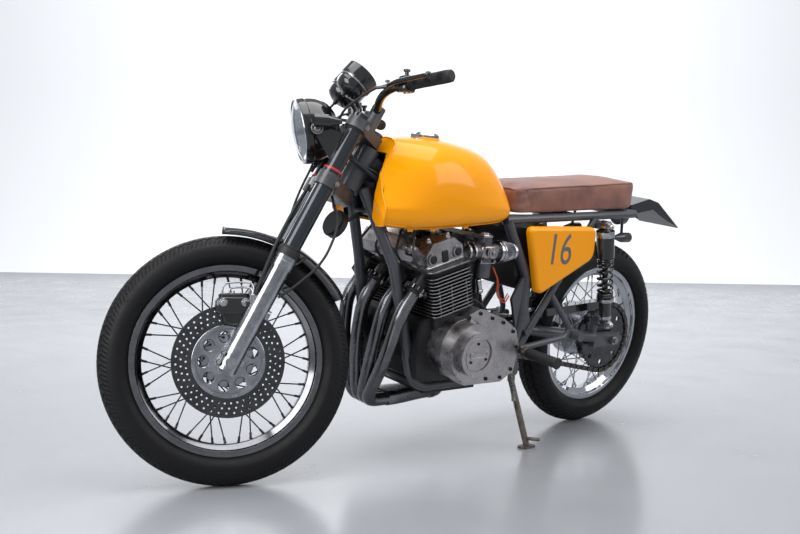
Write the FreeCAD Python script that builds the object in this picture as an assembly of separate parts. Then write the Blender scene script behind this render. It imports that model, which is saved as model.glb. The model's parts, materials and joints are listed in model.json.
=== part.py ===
import FreeCAD, Part
import math
import os

os.makedirs("parts", exist_ok=True)

Vec = FreeCAD.Vector

# All lengths are millimetres. The machine is drawn upright and straight ahead, with
# X forward from the rear axle, Y to the rider's left and Z up from the ground. At the
# end the steered pieces turn, and then the whole machine leans onto its side stand.

# Stance
wheelbase = 1455.0
trail = 95.0
rake_deg = 27.5
lean_deg = 8.5
steer_deg = -28.0


def behind_front(back, side, height):
    """A place measured back from the front axle."""
    return Vec(wheelbase - back, side, height)


# Fits and gaps
seat_gap = 0.3
run_gap = 0.4
cut_over = 5.0
settle_steps = 30

# Wheels
spoke_count = 40
spoke_sides = 6
spoke_radius = 1.7
spoke_lead_deg = 52.0
tyre_wall = 9.0
crown_steps = 9
flank_rise_share = 0.42
flank_spread_share = 0.7
crown_wall_share = 1.5
hollow_top_share = 0.5
rim_wall = 3.2
rim_well_depth = 17.0
rim_well_half = 12.0
rim_seat_half_share = 0.62
front_tyre_radius = 333.0
front_tyre_width = 100.0
front_bead_radius = 241.0
front_flange_height = 13.5
front_rim_width = 66.0
front_hub_radius = 33.0
front_hub_flange_radius = 70.0
front_hub_flange_thickness = 6.0
front_hub_half = 40.0
front_flange_place = 32.0
rear_tyre_radius = 328.0
rear_tyre_width = 116.0
rear_bead_radius = 228.5
rear_flange_height = 13.5
rear_rim_width = 74.0
rear_hub_radius = 52.0
rear_hub_flange_radius = 96.0
rear_hub_flange_thickness = 6.0
rear_hub_half = 52.0
rear_flange_place = 36.0
spoke_inset = 7.0
drum_depth = 34.0
drum_wall = 7.0
sprocket_tooth_depth = 7.0
sprocket_tooth_shares = ((-0.36, 0.0), (-0.12, 1.0), (0.12, 1.0), (0.36, 0.0))

# Front brake
disc_place = 56.0
disc_thickness = 6.0
disc_radius = 148.0
disc_band_inner = 92.0
disc_carrier_thickness = 9.0
disc_hole_circle = 65.0
disc_hole_radius = 14.0
disc_hole_count = 9
disc_boss_radius = 44.0
disc_bore = 12.0
caliper_radius = 36.0
caliper_place_deg = 95.0
caliper_orbit = 126.0
caliper_slot = 16.0
caliper_inner = 33.0
caliper_outer = 96.0
caliper_arm = 26.0
caliper_body_length = 96.0
caliper_body_height = 44.0
caliper_lift = 22.0
caliper_step = 12.0
caliper_arm_along = 150.0

# Axles
front_axle_radius = 8.5
front_axle_half = 120.6
rear_axle_radius = 9.5
rear_axle_half = 142.0
axle_nut_radius = 15.0
axle_nut_length = 16.0

# Fork
fork_spread = 92.0
fork_tube_radius = 17.5
fork_cover_radius = 24.5
slider_radius = 28.0
slider_collar_radius = 31.0
slider_collar_length = 26.0
seal_radius = 29.0
seal_length = 30.0
slider_low = -24.0
slider_top = 302.0
lower_yoke_place = 524.0
lower_yoke_thickness = 38.0
upper_yoke_place = 702.0
upper_yoke_thickness = 30.0
yoke_clamp_radius = 31.0
yoke_web_half = 26.0
fork_cap_length = 14.0
fork_cap_radius = 20.0
stem_radius = 15.0
stem_nut_radius = 20.0
stem_nut_length = 16.0
band_length = 9.0
yoke_front_share = 0.5
yoke_corner = 12.0
yoke_relief = 8.0
yoke_back_half = 22.0
lug_along = 150.0
lug_reach = 6.0

# Steering head and main frame
head_radius = 33.0
head_bore = 26.0
head_gap = 4.0
backbone_radius = 27.0
backbone_start = behind_front(380.0, 0.0, 880.0)
backbone_end = Vec(606.0, 0.0, 734.0)
rail_radius = 14.0
rail_half = 105.0
rail_front = Vec(594.0, rail_half, 742.0)
rail_rear = Vec(-40.0, rail_half, 772.0)
cradle_radius = 16.0
cradle_bend = 70.0
cradle_top = behind_front(357.0, 30.0, 812.0)
cradle_shoulder = Vec(1000.0, 82.0, 600.0)
cradle_front_low = Vec(903.0, 112.0, 243.0)
cradle_rear_low = Vec(520.0, 112.0, 243.0)
cradle_pivot = Vec(478.0, 112.0, 410.0)
cradle_knee = Vec(470.0, 108.0, 560.0)
cradle_seat = Vec(584.0, rail_half, 738.0)
gusset_thickness = 10.0
stay_radius = 12.0
stay_low = Vec(500.0, 118.0, 300.0)
stay_high = Vec(176.0, 112.0, 752.0)
loop_radius = 10.0
loop_bend = 28.0
loop_start = Vec(355.0, 120.0, 503.0)
loop_back = Vec(262.0, 160.0, 372.0)
loop_front = Vec(486.0, 124.0, 330.0)
lug_radius = 15.0
lug_length = 34.0
cross_radius = 13.0
shock_boss_radius = 15.0
spine_web_share = 0.3
spine_web_reach_share = 0.35
cross_inset_share = 0.5
gusset_points = ((455.0, 560.0), (497.0, 560.0), (532.0, 492.0), (520.0, 462.0), (500.0, 400.0), (532.0, 300.0),
                 (486.0, 262.0), (436.0, 352.0), (430.0, 404.0), (452.0, 470.0))
gusset_round = 10.0

# Swing arm
pivot_x = 460.0
pivot_z = 385.0
pivot_tube_radius = 21.0
pivot_half = 95.0
pivot_bolt_radius = 8.0
pivot_bolt_half = 134.0
arm_place = 106.0
arm_radius = 19.0
arm_end_x = 92.0
arm_box_height = 46.0
arm_box_width = 22.0
arm_box_rear = -46.0
arm_brace_x = 378.0
arm_brace_half = 84.0
adjuster_length = 12.0
brake_plate_thickness = 8.0
drum_boss_radius = 26.0

# Shocks
shock_place = 150.0
shock_top_x = 165.0
shock_top_z = 735.0
shock_low_x = 92.0
shock_low_z = 399.0
shock_eye_radius = 17.0
shock_eye_width = 30.0
shock_cover_radius = 30.0
shock_cover_length = 92.0
shock_collar_length = 16.0
shock_rod_radius = 10.0
shock_body_radius = 20.0
shock_neck_radius = 13.0
boss_root_share = 0.4
shock_body_length = 92.0
spring_radius = 29.0
spring_wire_half = 4.0
spring_turns = 7
spring_steps = 12
shock_pin_radius = 8.0

# Engine
crank_x = 807.0
crank_z = 375.0
cylinder_tilt_deg = 15.0
case_half = 150.0
case_round = 18.0
case_deck = 60.0
case_points = ((918.0, 268.0), (936.0, 330.0), (924.0, 440.0), (898.0, 478.0), (780.0, 500.0), (640.0, 462.0),
               (572.0, 430.0), (560.0, 300.0), (610.0, 262.0))
left_case_points = ((806.0, 476.0), (756.0, 494.0), (650.0, 458.0), (596.0, 424.0), (572.0, 368.0), (584.0, 290.0),
                    (636.0, 262.0), (800.0, 264.0))
rotor_taper_share = 0.93
fin_first = 6.0
cam_round = 9.0
cover_boss_height = 26.0
cover_boss_radius = 17.0
cover_step = 5.0
breather_half = 22.0
breather_height = 12.0
block_from = 107.0
block_to = 200.0
block_back = 66.0
block_front = 62.0
block_half = 172.0
fin_reach = 13.0
fin_thickness = 3.2
fin_pitch = 10.3
block_fin_count = 9
fin_corner = 16.0
head_to = 252.0
head_fin_count = 3
top_plate_thickness = 6.0
cover_to = 322.0
cover_half = 156.0
cover_back = 72.0
cover_front = 66.0
cover_chamfer = 30.0
cylinder_places = (-127.0, -49.0, 49.0, 127.0)
port_radius = 24.0
port_height = 234.0
port_drop_deg = 38.0
port_length = 36.0
left_case_outer = 208.0
left_case_edge = 8.0
rotor_cover_radius = 92.0
rotor_cover_outer = 250.0
rotor_cap_radius = 66.0
rotor_cap_outer = 274.0
rotor_recess = 2.5
rotor_recess_radius = 50.0
right_case_outer = 196.0
clutch_x = 672.0
clutch_z = 392.0
clutch_radius = 94.0
clutch_outer = 232.0
points_radius = 50.0
points_outer = 214.0
pan_front = 850.0
pan_rear = 640.0
pan_half = 104.0
pan_low = 214.0

# Intake
carb_axis_z = 648.0
carb_front_x = 742.0
carb_rear_x = 646.0
carb_radius = 25.0
bowl_radius = 27.0
bowl_low = 572.0
carb_top = 700.0
carb_top_radius = 21.0
carb_rail_radius = 6.0
filter_front_radius = 35.0
filter_rear_radius = 27.0
filter_rear_x = 566.0
filter_band = 9.0
filter_step = 2.5

# Exhaust
pipe_radius = 20.0
pipe_bend = 62.0
pipe_front_x = 1004.0
pipe_low_z = 172.0
pipe_wall = 1.6
pipe_reach = 85.0
pipe_gather_share = 0.8
pipe_fall = 130.0
pipe_lean = 26.0
pipe_lap = 26.0
collar_tooth = 6.0
neck_share = 0.78
pipe_spread_shares = (-0.62, -0.22, 0.22, 0.62)
collar_radius = 37.0
collar_length = 14.0
collar_fins = 12
collar_fin_width = 7.0
collector_front_x = 900.0
collector_rear_x = 700.0
collector_radius = 34.0
collector_mouth_half = 50.0
collector_place = -36.0
silencer_front = Vec(600.0, -118.0, 188.0)
silencer_kink = Vec(430.0, -196.0, 232.0)
silencer_rear = Vec(40.0, -214.0, 262.0)
silencer_radius = 45.0
silencer_outlet_radius = 27.0
silencer_cone = 60.0
silencer_wall = 2.0

# Tank: each station gives its place, its lowest and highest point, its half width
# and the share by which its shoulders draw in
tank_stations = ((574.0, 764.0, 800.0, 84.0, 0.45), (586.0, 750.0, 848.0, 110.0, 0.4), (612.0, 738.0, 888.0, 126.0, 0.36),
                 (662.0, 731.0, 929.0, 138.0, 0.28), (740.0, 725.0, 952.0, 147.0, 0.14), (840.0, 718.0, 964.0, 152.0, 0.06),
                 (930.0, 713.0, 963.0, 151.0, 0.08), (1000.0, 711.0, 958.0, 143.0, 0.3), (1050.0, 713.0, 950.0, 133.0, 0.62),
                 (1090.0, 718.0, 934.0, 122.0, 0.86))
tank_ring_shares = ((0.0, 0.0), (0.55, 0.0), (0.93, 0.05), (1.0, 0.2), (1.0, 0.42), (0.94, 0.66), (0.72, 0.87),
                    (0.38, 0.975), (0.0, 1.0))
tank_pinch_from = 0.25
tank_front_points = ((500.0, 600.0), (1066.0, 600.0), (1070.0, 716.0), (1086.0, 732.0), (1086.0, 800.0), (1076.0, 862.0),
                     (1038.0, 914.0), (1013.0, 944.0), (1000.0, 990.0), (500.0, 990.0))
tank_front_round = 8.0
tank_mouth_points = ((1006.0, 640.0), (1140.0, 640.0), (1140.0, 930.0), (1056.0, 930.0), (1024.0, 908.0))
tank_mouth_half = 74.0
tank_tunnel_half = 46.0
tank_tunnel_gap = 6.0
tank_tube_gap = 3.0
tank_reach = 40.0
cap_x = 862.0
cap_radius = 38.0
cap_height = 14.0
cap_seat = 960.0
cap_tab = 12.0
cap_lid = 6.0
cap_lid_share = 0.8
tank_head_gap = 14.0

# Seat
seat_front_x = 572.0
seat_rear_x = -26.0
seat_half = 118.0
seat_front_low = 757.6
seat_rear_low = 786.0
seat_front_top = 842.0
seat_rear_top = 886.0
seat_round = 22.0

# Side covers
cover_inner_place = 125.0
cover_outer_place = 149.0
side_cover_points = ((524.0, 727.0), (200.0, 729.0), (194.0, 624.0), (430.0, 511.0), (452.0, 518.0))
side_cover_round = 22.0
side_cover_wall = 3.0
side_cover_edge = 6.0

# Battery and oil tank
box_half = 98.0
box_front_x = 545.0
box_rear_x = 405.0
box_low_z = 520.0
box_top_z = 718.0
box_round = 14.0
box_step = 40.0
box_mid_z = 600.0

# Tail
plate_half = 88.0
plate_wall = 3.0
tail_points = ((-40.4, 800.0), (-140.0, 824.0), (-196.0, 812.0), (-338.0, 724.0), (-268.0, 744.0),
               (-216.0, 764.0), (-168.0, 786.0), (-66.0, 770.0), (-40.4, 764.0))
plate_hole_radius = 3.5
plate_hole_spacing = 110.0
plate_hole_x = -250.0
lamp_half_length = 38.0
lamp_radius = 17.0
rear_lamp_x = 22.0
rear_lamp_place = 112.0
rear_lamp_z = 690.0
tail_lamp_x = -86.0
tail_lamp_z = 752.0
tail_lamp_radius = 34.0
tail_lamp_depth = 26.0
tail_lamp_rise = 56.3

# Footpegs and stand
peg_x = 512.0
peg_z = 338.0
peg_start = 150.0
peg_end = 318.0
peg_radius = 15.0
peg_pin_radius = 9.0
peg_bracket = 30.0
stand_pivot_x = 514.0
stand_pivot_place = 138.0
stand_pivot_z = 268.0
stand_foot_x = 480.0
stand_foot_place = 214.0
stand_pin_radius = 8.0
stand_eye_radius = 15.0
stand_eye_width = 14.0
stand_tongue = 36.0
stand_leg_radius = 10.0
stand_foot_length = 58.0
stand_foot_width = 36.0
stand_foot_thickness = 7.0
stand_tang_length = 46.0
stand_tang_radius = 5.5
stand_foot_round_share = 0.7
stand_tang_share = 0.1
stand_tang_knee_share = 0.4
stand_tang_back_share = 0.4
clevis_thickness = 7.0
clevis_room = 5.0
clevis_height = 62.0

# Chain
chain_place = 82.0
chain_pitch = 15.875
rear_teeth = 48
front_teeth = 18
front_sprocket_x = 585.0
front_sprocket_z = 372.0
roller_radius = 5.1
chain_plate_height = 15.0
chain_outer_half = 9.0
chain_inner_half = 6.6
chain_gap_half = 3.6
link_over_share = 0.0
sprocket_thickness = 6.0
sprocket_tip_gap = 0.6
sprocket_boss_radius = 70.0
sprocket_hole_circle = 90.0
sprocket_hole_radius = 9.0
sprocket_hole_count = 8
chain_room_reach = 60.0
chain_room_gap = 14.0
chain_room_drop = 30.0
chain_room_half = 14.0
output_radius = 13.0
guard_front_x = 420.0
guard_rear_x = 10.0
guard_half = 17.0
guard_gap = 18.0
guard_wall = 2.0
guard_depth = 26.0

# Lamps and instruments
lamp_face_back = 187.0
lamp_face_z = 958.0
lamp_aim_deg = 11.5
headlight_radius = 92.0
headlight_rim_depth = 22.0
headlight_depth = 112.0
headlight_wall = 2.0
lens_radius = 84.0
lens_bulge = 20.0
ear_back = 217.0
ear_z = 950.0
ear_place = 102.0
ear_thickness = 4.0
ear_boss_radius = 17.0
ear_top = 676.0
ear_low = 588.0
ear_step = 4.0
ear_seat_share = 0.5
ear_round = 6.0
ear_boss_out = 8.0
lens_seat = 6.0
lens_thickness = 4.0
rim_lip = 5.0
bowl_shares = ((0.5, 0.93), (0.78, 0.7), (0.93, 0.42))
lens_shares = ((1.0, 0.45), (0.75, 0.75), (0.4, 0.95), (0.0, 1.0))
lamp_tail_radius = 6.0
front_lamp_place = 128.0
front_lamp_back = 243.0
front_lamp_z = 968.0
gauge_back = 327.0
gauge_z = 1088.0
gauge_place = 58.0
gauge_radius = 51.0
gauge_cup_radius = 44.0
gauge_depth = 78.0
gauge_bezel_depth = 38.0
gauge_tilt_deg = 42.0
gauge_bracket_thickness = 6.0
gauge_nose_share = 0.55
gauge_nose_rise_share = 0.3
gauge_lip = 4.0
gauge_foot_place = 24.0
gauge_foot_forward = 0.0

# Handlebar
bar_radius = 11.1
bar_clamp = behind_front(393.0, 52.0, 1010.0)
bar_rise = behind_front(387.0, 118.0, 1042.0)
bar_turn = behind_front(399.0, 204.0, 1052.0)
bar_end = behind_front(507.0, 352.0, 1056.0)
bar_bend = 34.0
grip_length = 122.0
grip_radius = 17.0
grip_flange_radius = 20.0
grip_flange_length = 5.0
riser_radius = 19.0
switch_length = 24.0
switch_radius = 21.0
perch_length = 18.0
perch_radius = 17.0
lever_reach = 152.0
lever_radius = 6.0
lever_forward = 56.0
reservoir_radius = 22.0
reservoir_height = 42.0
lever_pivot_share = 0.62
lever_knee_share = 0.3
lever_knee_rise_share = 0.2
lever_bend = 60.0
lever_ball_share = 1.5

# Fender
fender_radius = 359.0
fender_half = 56.0
fender_wall = 2.5
fender_from_deg = 88.0
fender_to_deg = 152.0
fender_drop = 16.0
fender_stay_radius = 5.0
fender_stay_deg = 125.0
fender_shares = ((1.0, -1.0), (0.45, -0.86), (0.12, -0.5), (0.0, 0.0), (0.12, 0.5), (0.45, 0.86), (1.0, 1.0))

# Horn and cords
horn_radius = 40.0
horn_depth = 34.0
horn_back = 305.0
horn_z = 702.0
horn_plate_share = 0.5
horn_rim_share = 0.7
horn_rim_radius_share = 0.9
horn_strap_half = 9.0
horn_strap_thickness = 4.0
horn_bar = behind_front(388.0, 46.0, 745.0)
horn_bar_radius = 9.0


# Shape helpers

def cylinder(start, end, radius):
    """A round bar between two points."""
    run = end - start
    return Part.makeCylinder(radius, run.Length, start, run)


def pipe_bar(start, end, radius, bore):
    """A round bar with a hole through it."""
    run = end - start
    over = run.normalize() * cut_over
    hole = cylinder(start - over, end + over, bore)
    return cylinder(start, end, radius).cut(hole)


def cone(start, end, start_radius, end_radius):
    run = end - start
    return Part.makeCone(start_radius, end_radius, run.Length, start, run)


def box(low, high):
    """A block between its lowest and its highest corner."""
    span = high - low
    return Part.makeBox(span.x, span.y, span.z, low)


def face_of(points):
    return Part.Face(Part.makePolygon(list(points) + [points[0]]))


def rounded_outline(points, radius):
    """A closed flat wire through the points, each corner rounded."""
    edges = []
    arcs = []
    count = len(points)
    for index in range(count):
        corner = points[index]
        before = (points[index - 1] - corner)
        after = (points[(index + 1) % count] - corner)
        half = before.getAngle(after) / 2
        cut = min(radius / math.tan(half), before.Length / 2.05, after.Length / 2.05)
        inside = cut * math.tan(half)
        first = corner + before.normalize() * cut
        last = corner + after.normalize() * cut
        bisector = (before + after).normalize()
        middle = corner + bisector * (inside / math.sin(half) - inside)
        arcs.append((first, middle, last))
    for index in range(count):
        first, middle, last = arcs[index]
        edges.append(Part.Arc(first, middle, last).toShape())
        following = arcs[(index + 1) % count][0]
        edges.append(Part.LineSegment(last, following).toShape())
    return Part.Wire(edges)


def slab(points, thickness, radius=0.0):
    """A flat piece: its outline pushed out along thickness, a vector."""
    outline = rounded_outline(points, radius) if radius else Part.makePolygon(list(points) + [points[0]])
    return Part.Face(outline).extrude(thickness)


def side_slab(points, from_y, to_y, radius=0.0):
    """A flat piece drawn in side view, as points of x and z."""
    return slab([Vec(x, from_y, z) for x, z in points], Vec(0, to_y - from_y, 0), radius)


def bent_path(points, bend):
    """Straight runs joined by tangent arcs."""
    edges = []
    last = points[0]
    for index in range(1, len(points) - 1):
        corner = points[index]
        before = points[index - 1] - corner
        after = points[index + 1] - corner
        half = before.getAngle(after) / 2
        cut = min(bend / math.tan(half), before.Length / 2.05, after.Length / 2.05)
        radius = cut * math.tan(half)
        start = corner + before.normalize() * cut
        end = corner + after.normalize() * cut
        middle = corner + (before + after).normalize() * (radius / math.sin(half) - radius)
        edges.append(Part.LineSegment(last, start).toShape())
        edges.append(Part.Arc(start, middle, end).toShape())
        last = end
    edges.append(Part.LineSegment(last, points[-1]).toShape())
    return Part.Wire(edges)


def bent_bar(points, radius, bend, bore=0.0):
    """A tube or bar along straight runs and arcs."""
    path = bent_path(points, bend)
    run = points[1] - points[0]
    section = Part.Wire(Part.makeCircle(radius, points[0], run))
    solid = path.makePipeShell([section], True, False)
    if bore:
        inner = Part.Wire(Part.makeCircle(bore, points[0], run))
        solid = solid.cut(path.makePipeShell([inner], True, False))
    return solid


def flip(vector):
    """The same place on the other side of the machine."""
    return Vec(vector.x, -vector.y, vector.z)


def mirrored(shape):
    return shape.mirror(Vec(0, 0, 0), Vec(0, 1, 0))


def both(shape):
    """A left piece together with its right twin."""
    return [shape, mirrored(shape)]


def fused(shapes):
    whole = shapes[0].multiFuse(shapes[1:]) if len(shapes) > 1 else shapes[0]
    whole = whole.removeSplitter()
    return whole.Solids[0] if len(whole.Solids) == 1 else whole


def turned(profile):
    """A wheel-like piece: a closed profile of radius and width, turned about Y."""
    outline = [Vec(radius, place, 0) for radius, place in profile]
    return face_of(outline).revolve(Vec(0, 0, 0), Vec(0, 1, 0), 360)


# Wheels, drawn about their own centre

def crown_profile(radius, width):
    """Points of radius and place over the round crown of a tyre."""
    half = width / 2
    centre = radius - half
    step = math.pi / crown_steps
    return [(centre + half * math.sin(step * i), -half * math.cos(step * i)) for i in range(crown_steps + 1)]


def tyre(radius, width, bead, flange, rim_width):
    """A hollow ring with a round crown, whose beads sit in the rim."""
    half = width / 2
    centre = radius - half
    foot = rim_width / 2 - rim_wall
    lip = bead + flange
    shoulder = (lip + (centre - lip) * flank_rise_share, foot + (half - foot) * flank_spread_share)
    wall = tyre_wall
    right = [(bead, -foot), (lip, -foot), (shoulder[0], -shoulder[1])]
    left = [(r, -y) for r, y in reversed(right)]
    hollow = [(bead, foot - wall), (lip, foot - wall), (centre, half - wall),
              (radius - wall * crown_wall_share, (half - wall) * hollow_top_share)]
    hollow += [(r, -y) for r, y in reversed(hollow)]
    return turned(right + crown_profile(radius, width) + left + hollow)


def rim(bead, flange, rim_width):
    """A drop-centre rim with its two flanges."""
    half = rim_width / 2
    seat_in = half * rim_seat_half_share
    well = bead - rim_well_depth
    outer = [(bead + flange, half), (bead + flange, half - rim_wall), (bead, half - rim_wall),
             (bead, seat_in), (well, rim_well_half)]
    inner = [(well - rim_wall, rim_well_half), (bead - rim_wall, seat_in + rim_wall / 2),
             (bead - rim_wall, half)]
    profile = outer + [(r, -y) for r, y in reversed(outer)]
    profile += [(r, -y) for r, y in reversed(inner)] + inner
    return turned(profile)


def spoke(start, end):
    """A thin bar with flat faces from the hub's flange to the rim."""
    run = end - start
    frame = FreeCAD.Placement(start, FreeCAD.Rotation(Vec(0, 0, 1), run))
    corners = [Vec(spoke_radius * math.cos(math.tau * i / spoke_sides),
                   spoke_radius * math.sin(math.tau * i / spoke_sides), 0)
               for i in range(spoke_sides)]
    bar = face_of(corners).extrude(Vec(0, 0, run.Length))
    bar.Placement = frame
    return bar


def spokes(flange_radius, flange_thickness, flange_place, well_radius):
    """Spokes in crossed pairs on both sides, laced to alternate rim holes."""
    bars = []
    step = 360 / spoke_count
    hub_circle = flange_radius - spoke_inset
    for index in range(spoke_count):
        side = 1 if index % 2 else -1
        lead = 1 if (index // 2) % 2 else -1
        rim_angle = math.radians(index * step)
        hub_angle = math.radians(index * step + lead * spoke_lead_deg)
        inset = flange_place + lead * flange_thickness / 2
        start = Vec(hub_circle * math.cos(hub_angle), side * inset, hub_circle * math.sin(hub_angle))
        end = Vec(well_radius * math.cos(rim_angle), side * rim_well_half / 2,
                  well_radius * math.sin(rim_angle))
        bars.append(spoke(start, end))
    return bars


def front_hub():
    flange_in = front_flange_place - front_hub_flange_thickness / 2
    flange_out = front_flange_place + front_hub_flange_thickness / 2
    bore = front_axle_radius + run_gap
    disc_seat = disc_place - disc_carrier_thickness / 2
    half = [(bore, front_hub_half), (front_hub_radius, front_hub_half), (front_hub_radius, flange_out),
            (front_hub_flange_radius, flange_out), (front_hub_flange_radius, flange_in),
            (front_hub_radius, flange_in)]
    body = turned(half + [(r, -y) for r, y in reversed(half)])
    boss = turned([(bore, front_hub_half), (disc_boss_radius, front_hub_half),
                   (disc_boss_radius, disc_seat), (bore, disc_seat)])
    well = front_bead_radius - rim_well_depth - rim_wall - seat_gap - run_gap
    bars = spokes(front_hub_flange_radius, front_hub_flange_thickness, front_flange_place, well)
    return fused([body, boss] + bars)


def front_disc():
    """A flat braking band on a carrier with round holes."""
    band = turned([(disc_band_inner, disc_place - disc_thickness / 2),
                   (disc_radius, disc_place - disc_thickness / 2),
                   (disc_radius, disc_place + disc_thickness / 2),
                   (disc_band_inner, disc_place + disc_thickness / 2)])
    low = disc_place - disc_carrier_thickness / 2
    high = disc_place + disc_carrier_thickness / 2
    carrier = turned([(disc_bore, low), (disc_band_inner, low), (disc_band_inner, high), (disc_bore, high)])
    holes = []
    for index in range(disc_hole_count):
        angle = math.tau * index / disc_hole_count
        centre = Vec(disc_hole_circle * math.cos(angle), low - cut_over, disc_hole_circle * math.sin(angle))
        holes.append(cylinder(centre, centre + Vec(0, disc_carrier_thickness + 2 * cut_over, 0),
                              disc_hole_radius))
    return fused([band, carrier]).cut(Part.makeCompound(holes))


def rear_hub():
    """A wide hub: brake drum on the right, sprocket seat on the left."""
    flange_in = rear_flange_place - rear_hub_flange_thickness / 2
    flange_out = rear_flange_place + rear_hub_flange_thickness / 2
    bore = rear_axle_radius + run_gap
    seat = chain_place - sprocket_thickness / 2
    left = [(bore, seat), (sprocket_boss_radius, seat), (sprocket_boss_radius, flange_out),
            (rear_hub_flange_radius, flange_out), (rear_hub_flange_radius, flange_in),
            (rear_hub_radius, flange_in)]
    right = [(rear_hub_radius, -flange_in), (rear_hub_flange_radius, -flange_in),
             (rear_hub_flange_radius, -flange_out - drum_depth),
             (rear_hub_flange_radius - drum_wall, -flange_out - drum_depth),
             (rear_hub_flange_radius - drum_wall, -flange_out), (bore, -flange_out)]
    body = turned(left + right)
    well = rear_bead_radius - rim_well_depth - rim_wall - seat_gap - run_gap
    bars = spokes(rear_hub_flange_radius, rear_hub_flange_thickness, rear_flange_place, well)
    return fused([body] + bars)


def pitch_radius(teeth):
    return chain_pitch / (2 * math.sin(math.pi / teeth))


def rear_sprocket():
    """A toothed plate whose tips stay just inside the rollers of the chain."""
    pitch = pitch_radius(rear_teeth)
    tip = pitch - roller_radius - sprocket_tip_gap
    root = tip - sprocket_tooth_depth
    points = []
    for index in range(rear_teeth):
        for share, radius in sprocket_tooth_shares:
            angle = math.tau * (index + share) / rear_teeth
            reach = root + (tip - root) * radius
            points.append(Vec(reach * math.cos(angle), chain_place - sprocket_thickness / 2,
                              reach * math.sin(angle)))
    plate = face_of(points).extrude(Vec(0, sprocket_thickness, 0))
    low = Vec(0, chain_place - sprocket_thickness, 0)
    high = Vec(0, chain_place + sprocket_thickness, 0)
    cuts = [cylinder(low, high, rear_axle_radius + run_gap)]
    for index in range(sprocket_hole_count):
        angle = math.tau * index / sprocket_hole_count
        side = Vec(sprocket_hole_circle * math.cos(angle), 0, sprocket_hole_circle * math.sin(angle))
        cuts.append(cylinder(low + side, high + side, sprocket_hole_radius))
    return plate.cut(Part.makeCompound(cuts))


# Steered group, drawn straight ahead

rake = math.radians(rake_deg)
steer_foot = Vec(wheelbase + trail, 0, 0)
steer_axis = Vec(-math.sin(rake), 0, math.cos(rake))
fork_forward = Vec(math.cos(rake), 0, math.sin(rake))
front_centre = Vec(wheelbase, 0, front_tyre_radius)
rear_centre = Vec(0, 0, rear_tyre_radius)
axle_along = (front_centre - steer_foot).dot(steer_axis)
fork_offset = (front_centre - steer_foot).dot(fork_forward)


def fork_point(along, side=0.0, forward=0.0):
    """A point on the plane of the fork legs, measured up from the front axle."""
    return front_centre + steer_axis * along + fork_forward * forward + Vec(0, side, 0)


def stem_point(along, forward=0.0):
    """A point on the steering axis, level with the same point of the legs."""
    return fork_point(along, 0.0, forward - fork_offset)


def fork_plate(along, thickness, forward_front, back_half):
    """One yoke: a plate round the stem and the two legs."""
    outline = [fork_point(along, fork_spread, -yoke_web_half),
               fork_point(along, fork_spread, yoke_web_half * yoke_front_share),
               fork_point(along, fork_spread - yoke_clamp_radius, yoke_web_half),
               fork_point(along, 0, forward_front)]
    outline += [flip(point) for point in reversed(outline[:3])]
    outline += [stem_point(along, -back_half) + Vec(0, -back_half, 0),
                stem_point(along, -back_half) + Vec(0, back_half, 0)]
    plate = slab(outline, steer_axis * thickness, yoke_corner)
    return plate


def yokes():
    """Upper and lower yokes, the stem between them and its nut."""
    shapes = []
    legs = []
    for along, thickness, front in ((lower_yoke_place, lower_yoke_thickness, yoke_web_half),
                                    (upper_yoke_place, upper_yoke_thickness, 0.0)):
        shapes.append(fork_plate(along, thickness, front - yoke_relief, yoke_back_half))
        for side in (fork_spread, -fork_spread):
            shapes.append(cylinder(fork_point(along, side), fork_point(along + thickness, side),
                                   yoke_clamp_radius))
    for side in (fork_spread, -fork_spread):
        legs.append(cylinder(fork_point(lower_yoke_place - cut_over, side),
                             fork_point(upper_yoke_place + upper_yoke_thickness + cut_over, side),
                             fork_tube_radius + seat_gap))
    top = upper_yoke_place + upper_yoke_thickness
    shapes.append(cylinder(stem_point(lower_yoke_place), stem_point(top), stem_radius))
    shapes.append(cylinder(stem_point(top), stem_point(top + stem_nut_length), stem_nut_radius))
    for side in (1, -1):
        foot = Vec(bar_clamp.x, side * bar_clamp.y, bar_clamp.z)
        seat = fork_point(top - cut_over, 0.0, 0.0)
        along = (foot - seat).dot(steer_axis)
        base = foot - steer_axis * along
        shapes.append(cylinder(base, foot + steer_axis * (bar_radius + yoke_relief), riser_radius))
    bar = bent_bar(bar_route(), bar_radius + seat_gap, bar_bend)
    return fused(shapes).cut(Part.makeCompound(legs + [bar]))


def fork_tubes():
    """Chromed tubes, with dark covers between and below the yokes."""
    shapes = []
    for side in (fork_spread, -fork_spread):
        tube_top = upper_yoke_place + upper_yoke_thickness
        low = slider_top + seal_length + seat_gap
        tube = cylinder(fork_point(low, side), fork_point(tube_top, side), fork_tube_radius)
        cap = cylinder(fork_point(tube_top, side), fork_point(tube_top + fork_cap_length, side),
                       fork_cap_radius)
        lower = cylinder(fork_point(low, side), fork_point(lower_yoke_place - seat_gap, side),
                         fork_cover_radius)
        upper = cylinder(fork_point(lower_yoke_place + lower_yoke_thickness + seat_gap, side),
                         fork_point(upper_yoke_place - seat_gap, side), fork_cover_radius)
        band_top = lower_yoke_place + lower_yoke_thickness + seat_gap + band_length
        band = cylinder(fork_point(band_top - band_length, side), fork_point(band_top, side),
                        fork_cover_radius + rim_wall)
        shapes.append(fused([tube, cap, lower, upper, band]))
    return Part.makeCompound(shapes)


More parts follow.
